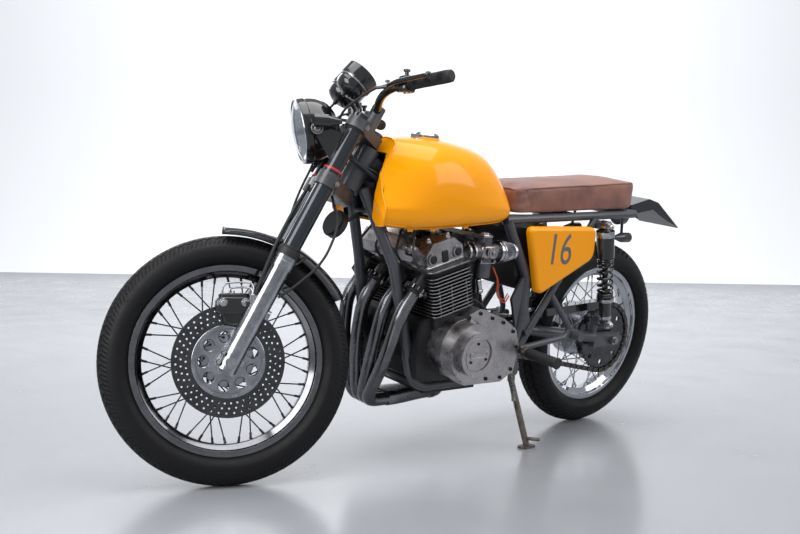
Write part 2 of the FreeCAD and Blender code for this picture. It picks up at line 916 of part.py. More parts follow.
def fork_sliders():
    """Polished lower legs with axle clamps, fender lugs and dust seals."""
    shapes = []
    bore = cylinder(front_centre - Vec(0, front_axle_half + cut_over, 0),
                    front_centre + Vec(0, front_axle_half + cut_over, 0), front_axle_radius + seat_gap)
    for side in (1, -1):
        place = side * fork_spread
        leg = cylinder(fork_point(slider_low, place), fork_point(slider_top, place), slider_radius)
        collar = cylinder(fork_point(slider_top - slider_collar_length, place),
                          fork_point(slider_top, place), slider_collar_radius)
        seal = cone(fork_point(slider_top, place), fork_point(slider_top + seal_length, place),
                    slider_collar_radius, seal_radius)
        lug = cylinder(fork_point(lug_along, place, -slider_radius - lug_reach),
                       fork_point(lug_along, place, 0), lug_radius)
        shapes.append(fused([leg, collar, seal, lug]).cut(bore))
    return Part.makeCompound(shapes)


def front_axle():
    nuts = [cylinder(front_centre + Vec(0, side * front_axle_half, 0),
                     front_centre + Vec(0, side * (front_axle_half + axle_nut_length), 0), axle_nut_radius)
            for side in (1, -1)]
    spacers = [pipe_bar(front_centre + Vec(0, side * (inner + run_gap), 0),
                        front_centre + Vec(0, side * (fork_spread - slider_radius - seat_gap), 0),
                        front_axle_radius + rim_wall, front_axle_radius)
               for side, inner in ((-1, front_hub_half),)]
    bar = cylinder(front_centre - Vec(0, front_axle_half, 0), front_centre + Vec(0, front_axle_half, 0),
                   front_axle_radius)
    return fused([bar] + nuts + spacers)


def bar_route():
    left = [bar_clamp, bar_rise, bar_turn, bar_end]
    return [flip(point) for point in reversed(left)] + left


def handlebar():
    return bent_bar(bar_route(), bar_radius, bar_bend)


def bar_place(from_end):
    """A point on the left grip's run, measured in from the bar's end."""
    run = (bar_turn - bar_end).normalize()
    return bar_end + run * from_end


def on_bar(from_end, length, radius):
    bore = bar_radius + seat_gap
    return pipe_bar(bar_place(from_end), bar_place(from_end + length), radius, bore)


def grips():
    body = on_bar(-grip_flange_length, grip_length + grip_flange_length, grip_radius)
    flange = on_bar(grip_length - grip_flange_length, grip_flange_length, grip_flange_radius)
    cap = cylinder(bar_place(-grip_flange_length), bar_place(-seat_gap), grip_radius)
    return Part.makeCompound(both(fused([body, flange, cap])))


def hand_controls():
    """Switch housings, perches, two levers and the brake fluid tank."""
    switch = on_bar(grip_length + seat_gap, switch_length, switch_radius)
    perch_from = grip_length + switch_length
    perch = on_bar(perch_from, perch_length, perch_radius)
    pivot = bar_place(perch_from + perch_length / 2) + Vec(lever_forward * lever_pivot_share, 0, 0)
    arm = cylinder(bar_place(perch_from + perch_length / 2) + Vec(bar_radius + run_gap, 0, 0), pivot, lever_radius)
    tip = bar_place(0) + Vec(lever_forward, 0, 0)
    lever = bent_bar([pivot, pivot + (tip - pivot) * lever_knee_share + Vec(lever_forward * lever_knee_rise_share, 0, 0),
                      tip], lever_radius, lever_bend)
    ball = Part.makeSphere(lever_radius * lever_ball_share, tip)
    left = fused([switch, perch, arm, lever, ball])
    right = mirrored(left)
    tank_foot = flip(bar_place(perch_from + perch_length / 2)) + Vec(reservoir_radius, 0, 0)
    tank = cylinder(tank_foot, tank_foot + Vec(0, 0, reservoir_height), reservoir_radius)
    room = bent_bar(bar_route(), bar_radius + seat_gap, bar_bend)
    return Part.makeCompound([left, fused([right, tank])]).cut(room)


def lamp_frame():
    """The headlight's own place: X out of the lens along its aim."""
    turn = FreeCAD.Rotation(Vec(0, 1, 0), lamp_aim_deg)
    return FreeCAD.Placement(Vec(wheelbase - lamp_face_back, 0, lamp_face_z), turn)


def lamp_turned(profile):
    """A lamp piece turned about its beam, from points of depth and radius."""
    outline = [Vec(depth, radius, 0) for depth, radius in profile]
    body = face_of(outline).revolve(Vec(0, 0, 0), Vec(1, 0, 0), 360)
    body.Placement = lamp_frame()
    return body


def lamp_outline(gap):
    """Outside of the bowl and rim, from the front edge back to the middle."""
    outline = [(gap, headlight_radius + gap), (-headlight_rim_depth, headlight_radius + gap)]
    for share, width in bowl_shares:
        outline.append((-headlight_depth * share, headlight_radius * width + gap))
    return outline + [(-headlight_depth - gap, 0)]


def headlight_shell():
    """Bowl and rim, open in front for the lens, with its two ears."""
    outer = lamp_outline(0.0)
    inner = [(-headlight_depth + headlight_wall, 0)]
    for share, width in reversed(bowl_shares):
        inner.append((-headlight_depth * share + headlight_wall, headlight_radius * width - headlight_wall))
    inner += [(-headlight_rim_depth, headlight_radius - headlight_wall), (-lens_seat, headlight_radius - headlight_wall),
              (-lens_seat, lens_radius - rim_lip), (0, lens_radius - rim_lip)]
    return lamp_turned(outer + inner)


def headlight_lens():
    """A domed glass behind the rim's lip."""
    front = -lens_seat - seat_gap
    throat = lens_radius - rim_lip - seat_gap
    profile = [(front - lens_thickness, 0), (front - lens_thickness, lens_radius), (front, lens_radius), (front, throat)]
    for share, reach in lens_shares:
        profile.append((front + (lens_bulge + lens_seat) * reach, throat * share))
    return lamp_turned(profile)


def headlight_ears():
    """Triangular brackets from the fork covers to the lamp's side bolts."""
    shapes = []
    bolt = Vec(wheelbase - ear_back, 0, ear_z)
    inner = fork_spread + ear_step
    outline = [fork_point(ear_low, inner, fork_cover_radius * ear_seat_share),
               fork_point(ear_top, inner, fork_cover_radius * ear_seat_share),
               bolt + Vec(0, inner, ear_boss_radius),
               bolt + Vec(ear_boss_radius, inner, 0),
               bolt + Vec(0, inner, -ear_boss_radius)]
    plate = slab(outline, Vec(0, ear_thickness, 0), ear_round)
    boss = cylinder(bolt + Vec(0, headlight_radius - rim_lip, 0), bolt + Vec(0, inner + ear_thickness + ear_boss_out, 0),
                    ear_boss_radius)
    cover = cylinder(fork_point(ear_low - cut_over, fork_spread), fork_point(ear_top + cut_over, fork_spread),
                     fork_cover_radius + seat_gap)
    shell = lamp_turned(lamp_outline(seat_gap) + [(seat_gap, 0)])
    for ear in both(fused([plate, boss]).cut(Part.makeCompound([cover, shell]))):
        shapes.append(ear)
    return shapes


def front_indicators():
    """Bullet lamps on short stalks out of the lamp's side bolts."""
    start = Vec(wheelbase - ear_back, 0, ear_z) + Vec(0, fork_spread + ear_step + ear_thickness + ear_boss_out + seat_gap, 0)
    hub = Vec(wheelbase - front_lamp_back, front_lamp_place, front_lamp_z)
    stalk = cylinder(start, Vec(start.x, front_lamp_place, start.z), fender_stay_radius)
    nose = cone(hub, hub - Vec(lamp_half_length * 1.0, 0, 0), lamp_radius, lamp_tail_radius)
    face = cylinder(hub, hub + Vec(lamp_half_length, 0, 0), lamp_radius)
    return Part.makeCompound(both(fused([stalk, nose, face])))


def polar(centre, radius, degrees, place=0.0):
    angle = math.radians(degrees)
    return centre + Vec(radius * math.cos(angle), place, radius * math.sin(angle))


def front_fender():
    """A short curved guard over the tyre, with stays to the sliders."""
    profile = []
    for reach, place in fender_shares:
        profile.append((fender_radius - fender_drop * reach, fender_half * place))
    outer = [(r, y) for r, y in profile]
    skin = outer + [(r - fender_wall, y) for r, y in reversed(outer)]
    outline = [Vec(r, y, 0) for r, y in skin]
    sweep = fender_to_deg - fender_from_deg
    guard = face_of(outline).revolve(Vec(0, 0, 0), Vec(0, 1, 0), -sweep)
    guard.rotate(Vec(0, 0, 0), Vec(0, 1, 0), -fender_from_deg)
    guard.translate(front_centre)
    shapes = [guard]
    for side in (1, -1):
        seat = fork_point(lug_along, side * fork_spread, -slider_radius - lug_reach - fender_stay_radius - seat_gap)
        rim_end = polar(front_centre, fender_radius - fender_drop, fender_stay_deg, side * (fender_half - fender_wall))
        shapes.append(cylinder(seat, rim_end, fender_stay_radius))
    return fused(shapes)


def brake_caliper():
    """A round piston housing each side of the disc, on an arm to the left leg."""
    centre = polar(front_centre, caliper_orbit, caliper_place_deg)
    inner = centre + Vec(0, caliper_inner, 0)
    outer = centre + Vec(0, caliper_outer, 0)
    can = cylinder(inner, outer, caliper_radius)
    half = Vec(caliper_body_length / 2, 0, caliper_body_height / 2)
    body = box(centre - half + Vec(0, caliper_inner, caliper_lift), centre + half + Vec(0, caliper_outer - caliper_step, caliper_lift))
    slot_half = Vec(disc_radius, caliper_slot / 2, disc_radius)
    slot_at = front_centre + Vec(0, disc_place, 0)
    slot = cylinder(slot_at - Vec(0, caliper_slot / 2, 0), slot_at + Vec(0, caliper_slot / 2, 0),
                    disc_radius + caliper_slot / 2)
    leg = cylinder(fork_point(slider_low, fork_spread), fork_point(slider_top, fork_spread), slider_radius + seat_gap)
    arm_root = fork_point(caliper_arm_along, fork_spread, slider_radius)
    arm = cylinder(arm_root - fork_forward * caliper_step, Vec(centre.x, fork_spread, centre.z + caliper_lift), caliper_arm / 2)
    return fused([can, body, arm]).cut(Part.makeCompound([slot, leg]))


def gauge_frame(side):
    """A gauge's own place: Z out of its face, towards the rider."""
    turn = FreeCAD.Rotation(Vec(0, 1, 0), -gauge_tilt_deg)
    return FreeCAD.Placement(Vec(wheelbase - gauge_back, side * gauge_place, gauge_z), turn)


def gauges():
    """Two round dials in cups on one bracket over the upper yoke."""
    cups = []
    for side in (1, -1):
        low = -gauge_depth / 2
        profile = [(0, low), (gauge_cup_radius * gauge_nose_share, low), (gauge_cup_radius, low + gauge_depth * gauge_nose_rise_share),
                   (gauge_cup_radius, gauge_depth / 2 - gauge_bezel_depth), (gauge_radius, gauge_depth / 2 - gauge_bezel_depth),
                   (gauge_radius, gauge_depth / 2), (gauge_radius - gauge_lip, gauge_depth / 2),
                   (gauge_radius - gauge_lip, gauge_depth / 2 - gauge_lip), (0, gauge_depth / 2 - gauge_lip)]
        outline = [Vec(r, 0, z) for r, z in profile]
        cup = face_of(outline).revolve(Vec(0, 0, 0), Vec(0, 0, 1), 360)
        cup.Placement = gauge_frame(side)
        cups.append(cup)
    frame = gauge_frame(0)
    low_z = -gauge_depth / 2 + gauge_depth * gauge_nose_rise_share
    bridge = box(Vec(-gauge_cup_radius * gauge_nose_share, -gauge_place, low_z),
                 Vec(gauge_cup_radius * gauge_nose_share, gauge_place, low_z + gauge_bracket_thickness))
    bridge.Placement = frame
    arms = []
    for side in (1, -1):
        top = frame.multVec(Vec(0, side * gauge_foot_place, low_z))
        foot = fork_point(upper_yoke_place + upper_yoke_thickness + seat_gap, side * gauge_foot_place, gauge_foot_forward)
        arms.append(cylinder(foot, top, gauge_bracket_thickness))
    plate = fork_plate(upper_yoke_place, upper_yoke_thickness + seat_gap, -yoke_relief, yoke_back_half)
    return fused(cups + [bridge] + arms).cut(plate)


# Frame

def head_tube():
    low = lower_yoke_place + lower_yoke_thickness + head_gap
    high = upper_yoke_place - head_gap
    return stem_point(low), stem_point(high)


def frame_spine():
    """Steering head, large backbone tube and its gusset."""
    low, high = head_tube()
    tube = cylinder(low, high, head_radius)
    back = cylinder(backbone_start, backbone_end, backbone_radius)
    web_low = low + (high - low) * spine_web_share
    web = slab([web_low, high + (low - high) * spine_web_share * spine_web_share,
                backbone_start + (backbone_end - backbone_start) * spine_web_reach_share,
                backbone_start + (backbone_end - backbone_start) * spine_web_reach_share - Vec(0, 0, backbone_radius)],
               Vec(0, gusset_thickness, 0))
    web.translate(Vec(0, -gusset_thickness / 2, 0))
    bore = cylinder(low - steer_axis * cut_over, high + steer_axis * cut_over, stem_radius + run_gap)
    reach = rail_half - cradle_radius
    cross = cylinder(backbone_end - Vec(0, reach, 0), backbone_end + Vec(0, reach, 0), rail_radius)
    return fused([tube, back, web, cross]).cut(bore)


def cradle(side):
    """One side's downtube, lower rail and rear upright in a single bent tube."""
    route = [cradle_top, cradle_shoulder, cradle_front_low, cradle_rear_low, cradle_pivot, cradle_knee, cradle_seat]
    route = [Vec(p.x, side * p.y, p.z) for p in route]
    tube = bent_bar(route, cradle_radius, cradle_bend)
    return tube


def frame_cradles():
    """Twin cradles under the engine, their gusset plates and cross tubes."""
    shapes = []
    for side in (1, -1):
        tube = cradle(side)
        plate = side_slab(gusset_points, side * (cradle_pivot.y + gusset_thickness / 2),
                          side * (cradle_pivot.y - gusset_thickness / 2), gusset_round)
        shapes += [tube, plate]
    front_cross = cradle_front_low - Vec(cradle_bend * cross_inset_share, 0, 0)
    rear_cross = cradle_rear_low + Vec(cradle_bend * cross_inset_share, 0, 0)
    for end in (front_cross, rear_cross, cradle_knee):
        shapes.append(cylinder(flip(end), end, cross_radius))
    shapes.append(cylinder(flip(horn_bar), horn_bar, horn_bar_radius))
    whole = fused(shapes)
    low, high = head_tube()
    cuts = [cylinder(low, high, head_radius)]
    pivot = Vec(pivot_x, 0, pivot_z)
    cuts.append(cylinder(pivot - Vec(0, pivot_bolt_half, 0), pivot + Vec(0, pivot_bolt_half, 0), pivot_bolt_radius))
    cuts.append(cylinder(backbone_start, backbone_end, backbone_radius))
    return whole.cut(Part.makeCompound(cuts))


def frame_tail():
    """Seat rails, the slanted stays, the rear peg loops and shock bosses."""
    shapes = []
    for side in (1, -1):
        def put(point):
            return Vec(point.x, side * point.y, point.z)
        shapes.append(cylinder(put(rail_front), put(rail_rear), rail_radius))
        shapes.append(cylinder(put(stay_low), put(stay_high), stay_radius))
        shapes.append(peg_loop(side))
        shapes.append(cylinder(put(loop_back) - Vec(0, side * loop_radius, 0), put(loop_back) + Vec(0, side * lug_length, 0), lug_radius))
        boss = Vec(shock_top_x, side * (rail_half - rail_radius), shock_top_z)
        pin_root = Vec(shock_top_x, side * (shock_place - shock_eye_width / 2 - seat_gap), shock_top_z)
        shapes.append(cylinder(boss, pin_root, shock_boss_radius))
        shapes.append(cylinder(boss, Vec(shock_top_x, side * (shock_place + shock_eye_width / 2 + rim_wall), shock_top_z), shock_pin_radius))
    shapes.append(cylinder(flip(rail_rear) + Vec(rail_radius, 0, 0), rail_rear + Vec(rail_radius, 0, 0), rail_radius))
    middle = (rail_front + rail_rear) * 0.5
    shapes.append(cylinder(flip(middle), middle, cross_radius))
    whole = fused(shapes)
    pivot = Vec(pivot_x, pivot_bolt_half, pivot_z)
    cuts = [cradle(1), cradle(-1), cylinder(flip(pivot), pivot, pivot_bolt_radius)]
    for side in (1, -1):
        cuts.append(side_slab(gusset_points, side * (cradle_pivot.y + gusset_thickness / 2),
                              side * (cradle_pivot.y - gusset_thickness / 2), gusset_round))
    return whole.cut(Part.makeCompound(cuts))


def swing_arm():
    """Pivot tube, two arms with box ends and a brace ahead of the tyre."""
    pivot = Vec(pivot_x, 0, pivot_z)
    tube = cylinder(pivot - Vec(0, pivot_half, 0), pivot + Vec(0, pivot_half, 0), pivot_tube_radius)
    bolt = cylinder(pivot - Vec(0, pivot_bolt_half - seat_gap, 0), pivot + Vec(0, pivot_bolt_half - seat_gap, 0),
                    pivot_bolt_radius - seat_gap)
    shapes = [tube, bolt]
    slope = (rear_centre.z - pivot_z) / pivot_x
    for side in (1, -1):
        root = Vec(pivot_x, side * (pivot_half - arm_radius), pivot_z)
        end = Vec(arm_end_x, side * arm_place, pivot_z + slope * (pivot_x - arm_end_x))
        shapes.append(cylinder(root, end, arm_radius))
        low = Vec(arm_box_rear, side * arm_place - arm_box_width / 2, rear_centre.z - arm_box_height / 2)
        high = Vec(arm_end_x, side * arm_place + arm_box_width / 2, rear_centre.z + arm_box_height / 2)
        shapes.append(box(low, high))
        eye = Vec(shock_low_x, side * (shock_place - shock_eye_width / 2 - seat_gap), shock_low_z)
        shapes.append(cylinder(Vec(eye.x, side * arm_place, rear_centre.z), Vec(eye.x, side * arm_place, eye.z), stay_radius))
        boss_root = side * (arm_place - stay_radius * boss_root_share)
        shapes.append(cylinder(Vec(eye.x, boss_root, eye.z), eye, shock_boss_radius))
        shapes.append(cylinder(eye, Vec(eye.x, side * (shock_place + shock_eye_width / 2 + rim_wall), eye.z), shock_pin_radius))
        shapes.append(box(Vec(arm_box_rear - adjuster_length, side * arm_place - arm_box_width / 2, rear_centre.z - adjuster_length),
                          Vec(arm_box_rear, side * arm_place + arm_box_width / 2, rear_centre.z + adjuster_length)))
    brace = Vec(arm_brace_x, arm_brace_half, pivot_z + slope * (pivot_x - arm_brace_x))
    shapes.append(cylinder(flip(brace), brace, stay_radius))
    axle = cylinder(rear_centre - Vec(0, rear_axle_half, 0), rear_centre + Vec(0, rear_axle_half, 0), rear_axle_radius + seat_gap)
    return fused(shapes).cut(axle)


def rear_axle():
    """Axle, nuts and the fixed brake plate that closes the drum."""
    bar = cylinder(rear_centre - Vec(0, rear_axle_half, 0), rear_centre + Vec(0, rear_axle_half, 0), rear_axle_radius)
    nuts = [cylinder(rear_centre + Vec(0, side * (arm_place + arm_box_width / 2 + seat_gap), 0),
                     rear_centre + Vec(0, side * (arm_place + arm_box_width / 2 + seat_gap + axle_nut_length), 0), axle_nut_radius)
            for side in (1, -1)]
    drum_edge = rear_flange_place + rear_hub_flange_thickness / 2 + drum_depth
    plate = cylinder(rear_centre - Vec(0, drum_edge + brake_plate_thickness, 0), rear_centre - Vec(0, drum_edge + run_gap, 0),
                     rear_hub_flange_radius)
    boss = cylinder(rear_centre - Vec(0, arm_place - arm_box_width / 2 - seat_gap, 0),
                    rear_centre - Vec(0, drum_edge, 0), drum_boss_radius)
    spacer = cylinder(rear_centre + Vec(0, chain_place + sprocket_thickness / 2 + run_gap, 0),
                      rear_centre + Vec(0, arm_place - arm_box_width / 2 - seat_gap, 0), axle_nut_radius)
    return fused([bar, plate, boss, spacer] + nuts)


def shock_line(side, along):
    """A point on a shock's centreline, measured down from its top eye."""
    top = Vec(shock_top_x, side * shock_place, shock_top_z)
    low = Vec(shock_low_x, side * shock_place, shock_low_z)
    return top + (low - top).normalize() * along


def shock_span():
    return math.hypot(shock_top_x - shock_low_x, shock_top_z - shock_low_z)


def spun(profile, start, axis):
    """A turned piece: points of radius and distance along an axis from a start."""
    outline = [Vec(radius, 0, along) for radius, along in profile]
    body = face_of(outline).revolve(Vec(0, 0, 0), Vec(0, 0, 1), 360)
    body.Placement = FreeCAD.Placement(start, FreeCAD.Rotation(Vec(0, 0, 1), axis))
    return body


def shock_dampers():
    """Eyes, upper cover, rod and lower body of both shocks."""
    span = shock_span()
    cover_end = shock_eye_radius + shock_cover_length
    lid = shock_eye_radius + shock_collar_length
    seat_at = span - shock_body_length
    foot = span - shock_eye_radius - rim_wall
    inner = shock_cover_radius - rim_wall
    profile = [(0, 0), (shock_neck_radius, 0), (shock_neck_radius, shock_eye_radius), (shock_cover_radius, shock_eye_radius),
               (shock_cover_radius, cover_end), (inner, cover_end), (inner, lid), (shock_rod_radius, lid),
               (shock_rod_radius, seat_at), (spring_radius, seat_at), (spring_radius, seat_at + rim_wall),
               (shock_body_radius, seat_at + rim_wall), (shock_body_radius, foot), (shock_neck_radius, foot),
               (shock_neck_radius, span), (0, span)]
    shapes = []
    for side in (1, -1):
        start = shock_line(side, 0.0)
        parts = [spun(profile, start, shock_line(side, span) - start)]
        bores = []
        for along in (0.0, span):
            half = Vec(0, shock_eye_width / 2, 0)
            over = Vec(0, shock_eye_width, 0)
            centre = shock_line(side, along)
            parts.append(cylinder(centre - half, centre + half, shock_eye_radius))
            bores.append(cylinder(centre - over, centre + over, shock_pin_radius + seat_gap))
        shapes.append(fused(parts).cut(Part.makeCompound(bores)))
    return Part.makeCompound(shapes)


def coil(start, axis, length):
    """A square wire wound round an axis, with flat faces between its steps."""
    mean = spring_radius - spring_wire_half
    steps = spring_turns * spring_steps
    turn = FreeCAD.Rotation(Vec(0, 0, 1), axis)
    rings = []
    for index in range(steps + 1):
        angle = math.tau * index / spring_steps
        lift = spring_wire_half + (length - 2 * spring_wire_half) * index / steps
        ring = []
        for out, up in ((-1, -1), (1, -1), (1, 1), (-1, 1)):
            radius = mean + spring_wire_half * out
            corner = Vec(radius * math.cos(angle), radius * math.sin(angle), lift + spring_wire_half * up)
            ring.append(start + turn.multVec(corner))
        rings.append(ring)
    faces = [face_of(rings[0]), face_of(rings[-1])]
    for near, far in zip(rings, rings[1:]):
        for index in range(len(near)):
            after = (index + 1) % len(near)
            faces.append(face_of([near[index], near[after], far[index]]))
            faces.append(face_of([near[after], far[after], far[index]]))
    solid = Part.makeSolid(Part.makeShell(faces))
    if solid.Volume < 0:
        solid.reverse()
    return solid


def shock_springs():
    """The two coil springs between the covers and the lower seats."""
    span = shock_span()
    start = shock_eye_radius + shock_cover_length + seat_gap
    length = span - shock_body_length - seat_gap - start
    shapes = []
    for side in (1, -1):
        axis = (shock_line(side, span) - shock_line(side, 0)).normalize()
        shapes.append(coil(shock_line(side, start), axis, length))
    return Part.makeCompound(shapes)


# Engine

tilt = math.radians(cylinder_tilt_deg)
crank = Vec(crank_x, 0, crank_z)
bore_axis = Vec(math.sin(tilt), 0, math.cos(tilt))
bore_forward = Vec(math.cos(tilt), 0, -math.sin(tilt))


def engine_point(along, forward=0.0, side=0.0):
    """A point in the cylinders' own directions, measured from the crankshaft."""
    return crank + bore_axis * along + bore_forward * forward + Vec(0, side, 0)


def engine_slab(along, thickness, back, front, half, radius):
    """A flat layer across the cylinders."""
    outline = [engine_point(along, front, half), engine_point(along, -back, half),
               engine_point(along, -back, -half), engine_point(along, front, -half)]
    return slab(outline, bore_axis * thickness, radius)


def crankcase():
    """Cases round the crankshaft and gearbox, with the oil pan below."""
    body = side_slab(case_points, -case_half, case_half, case_round)
    deck = engine_slab(case_deck, block_from - case_deck - seat_gap, block_back, block_front, block_half, fin_corner)
    pan = box(Vec(pan_rear, -pan_half, pan_low), Vec(pan_front, pan_half, crank_z))
    whole = fused([body, deck, pan])
    above = engine_slab(block_from - seat_gap, block_to, block_back + fin_reach + cut_over, block_front + fin_reach + cut_over,
                        block_half + fin_reach + cut_over, fin_corner)
    rear = front_sprocket_x - chain_room_reach
    nose = front_sprocket_x + pitch_radius(front_teeth) + chain_room_gap
    tall = pitch_radius(front_teeth) + chain_room_gap
    inner = chain_place - chain_room_half
    room = side_slab([(rear, front_sprocket_z - tall - chain_room_drop), (nose, front_sprocket_z - tall),
                      (nose, front_sprocket_z + tall), (rear, front_sprocket_z + tall)], inner, chain_place + chain_room_half)
    cuts = [cradle(1), cradle(-1), above, room] + port_room()
    hub = Vec(front_sprocket_x, 0, front_sprocket_z)
    shaft = cylinder(hub + Vec(0, inner - cut_over, 0), hub + Vec(0, chain_place + sprocket_thickness / 2, 0), output_radius)
    wheel = cylinder(hub + Vec(0, chain_place - sprocket_thickness / 2, 0), hub + Vec(0, chain_place + sprocket_thickness / 2, 0),
                     pitch_radius(front_teeth) - roller_radius - sprocket_tip_gap)
    return fused([whole.cut(Part.makeCompound(cuts)), shaft, wheel])


def port_room():
    """The space round the exhaust ports, their collars and the pipes' first run."""
    rooms = []
    for place in cylinder_places:
        start, end = port_line(place)
        aim = (end - start).normalize()
        rooms.append(cylinder(start, end, port_radius + seat_gap))
        rooms.append(cylinder(end, end + aim * (collar_length + 2 * seat_gap), collar_radius + seat_gap))
        rooms.append(cylinder(end, end + aim * pipe_reach, pipe_radius + seat_gap))
    return rooms


def barrel_room():
    """The space of the barrels' base and block, as the side covers leave it."""
    return engine_slab(case_deck - seat_gap, block_to - case_deck, block_back + seat_gap, block_front + seat_gap,
                       block_half + seat_gap, fin_corner)


def cylinder_block():
    """Four finned barrels in one block."""
    shapes = [engine_slab(block_from, block_to - block_from - seat_gap, block_back, block_front, block_half, fin_corner)]
    for index in range(block_fin_count):
        along = block_from + fin_first + index * fin_pitch
        shapes.append(engine_slab(along, fin_thickness, block_back + fin_reach, block_front + fin_reach,
                                  block_half + fin_reach, fin_corner))
    return fused(shapes).cut(Part.makeCompound(port_room()))


def cylinder_head():
    """Head with its top plate, a few fins, four exhaust and four intake ports."""
    shapes = [engine_slab(block_to, head_to - block_to - seat_gap, block_back, block_front, block_half, fin_corner)]
    for index in range(head_fin_count):
        along = block_to + fin_first + index * fin_pitch
        shapes.append(engine_slab(along, fin_thickness, block_back + fin_reach, block_front + fin_reach,
                                  block_half + fin_reach, fin_corner))
    shapes.append(engine_slab(head_to - top_plate_thickness - seat_gap, top_plate_thickness, block_back + fin_reach,
                              block_front + fin_reach, block_half + fin_reach, fin_corner))
    for place in cylinder_places:
        start, end = port_line(place)
        shapes.append(cylinder(start, end, port_radius))
        shapes.append(cylinder(engine_point(port_height, port_radius - block_back, place),
                               Vec(carb_front_x - carb_radius, place, carb_axis_z), carb_radius))
    behind = box(Vec(carb_rear_x, -block_half, bowl_low), Vec(carb_front_x + seat_gap, block_half, carb_top))
    above = engine_slab(head_to - seat_gap, head_to, block_back + fin_reach, block_front + fin_reach, block_half + fin_reach, fin_corner)
    return fused(shapes).cut(Part.makeCompound([behind, above]))


def port_line(place):
    """The exhaust port's axis, from inside the head to its face."""
    start = engine_point(port_height, block_front - port_radius, place)
    angle = tilt + math.radians(port_drop_deg)
    aim = Vec(math.cos(angle), 0, -math.sin(angle))
    return start, start + aim * (port_radius + port_length)


def cam_cover():
    """Silver cover over the camshaft, with sloped sides and a breather."""
    points = [(cover_front, head_to), (cover_front, cover_to - cover_chamfer), (cover_front - cover_chamfer, cover_to),
              (cover_chamfer - cover_back, cover_to), (-cover_back, cover_to - cover_chamfer), (-cover_back, head_to)]
    outline = [engine_point(along, forward, -cover_half) for forward, along in points]
    body = slab(outline, Vec(0, 2 * cover_half, 0), cam_round)
    shapes = [body]
    for side in (1, -1):
        root = engine_point(head_to + cover_boss_height, 0, side * cover_half)
        for forward in (cover_front - cover_boss_radius - cover_step, cover_boss_radius + cover_step - cover_back):
            at = engine_point(head_to + cover_boss_height, forward, side * (cover_half - cover_step))
            shapes.append(cylinder(at, at + Vec(0, side * 2 * cover_step, 0), cover_boss_radius))
    top = engine_point(cover_to - cover_step, 0, 0)
    shapes.append(box(top - Vec(breather_half, breather_half, 0), top + Vec(breather_half, breather_half, breather_height)))
    return fused(shapes)


def alternator_cover():
    """Left engine cover with the round generator housing."""
    plate = side_slab(left_case_points, case_half + seat_gap, left_case_outer, case_round)
    start = crank + Vec(0, case_half + seat_gap, 0)
    drum = cone(crank + Vec(0, left_case_outer - left_case_edge, 0), crank + Vec(0, rotor_cover_outer, 0),
                rotor_cover_radius, rotor_cover_radius * rotor_taper_share)
    base = cylinder(start, crank + Vec(0, left_case_outer, 0), rotor_cover_radius)
    cap = cylinder(crank + Vec(0, left_case_outer, 0), crank + Vec(0, rotor_cap_outer, 0), rotor_cap_radius)
    recess = cylinder(crank + Vec(0, rotor_cap_outer - rotor_recess, 0), crank + Vec(0, rotor_cap_outer + cut_over, 0),
                      rotor_recess_radius)
    whole = fused([plate, drum, base, cap]).cut(recess)
    return whole.cut(Part.makeCompound([cradle(1), barrel_room()]))


def clutch_cover():
    """Right engine cover: clutch bulge and the round ignition cover."""
    plate = side_slab(left_case_points, -case_half - seat_gap, -right_case_outer, case_round)
    clutch_at = Vec(clutch_x, 0, clutch_z)
    bulge = cone(clutch_at - Vec(0, right_case_outer, 0), clutch_at - Vec(0, clutch_outer, 0), clutch_radius,
                 clutch_radius * rotor_taper_share)
    points = cylinder(crank - Vec(0, case_half + seat_gap, 0), crank - Vec(0, points_outer, 0), points_radius)
    whole = fused([plate, bulge, points])
    return whole.cut(Part.makeCompound([cradle(-1), barrel_room()]))


def carburettors():
    """A row of four with float bowls, caps and a shared rail."""
    shapes = []
    for place in cylinder_places:
        start = Vec(carb_front_x, place, carb_axis_z)
        end = Vec(carb_rear_x, place, carb_axis_z)
        middle = (start + end) * 0.5
        shapes.append(cylinder(start, end, carb_radius))
        shapes.append(cylinder(Vec(middle.x, place, bowl_low), middle, bowl_radius))
        shapes.append(cylinder(middle, Vec(middle.x, place, carb_top), carb_top_radius))
    rail_x = (carb_front_x + carb_rear_x) / 2
    reach = cylinder_places[-1] + bowl_radius
    for lift in (carb_radius, -carb_radius):
        shapes.append(cylinder(Vec(rail_x + carb_top_radius, -reach, carb_axis_z + lift),
                               Vec(rail_x + carb_top_radius, reach, carb_axis_z + lift), carb_rail_radius))
    return fused(shapes)


def air_filters():
    """Four tapered filters clamped on the intakes."""
    shapes = []
    for place in cylinder_places:
        start = Vec(carb_rear_x - seat_gap, place, carb_axis_z)
        end = Vec(filter_rear_x, place, carb_axis_z)
        band = Vec(filter_band, 0, 0)
        shapes.append(fused([cylinder(start, start - band, filter_front_radius),
                             cone(start - band, end + band, filter_front_radius - filter_step, filter_rear_radius - filter_step),
                             cylinder(end + band, end, filter_rear_radius)]))
    return Part.makeCompound(shapes)


# Exhaust

def header_route(index):
    """One pipe from its port, down in front of the engine and under it."""
    place = cylinder_places[index]
    start, port_end = port_line(place)
    angle = tilt + math.radians(port_drop_deg)
    aim = Vec(math.cos(angle), 0, -math.sin(angle))
    first = port_end + aim * seat_gap
    down = first + aim * pipe_reach
    spread = collector_mouth_half * pipe_spread_shares[index]
    low_place = collector_place + spread
    upper = Vec(pipe_front_x, place * pipe_gather_share + low_place * (1 - pipe_gather_share), down.z - pipe_fall)
    lower = Vec(pipe_front_x - pipe_lean, low_place, pipe_low_z)
    return [first, down, upper, lower, Vec(collector_front_x, low_place, pipe_low_z)]


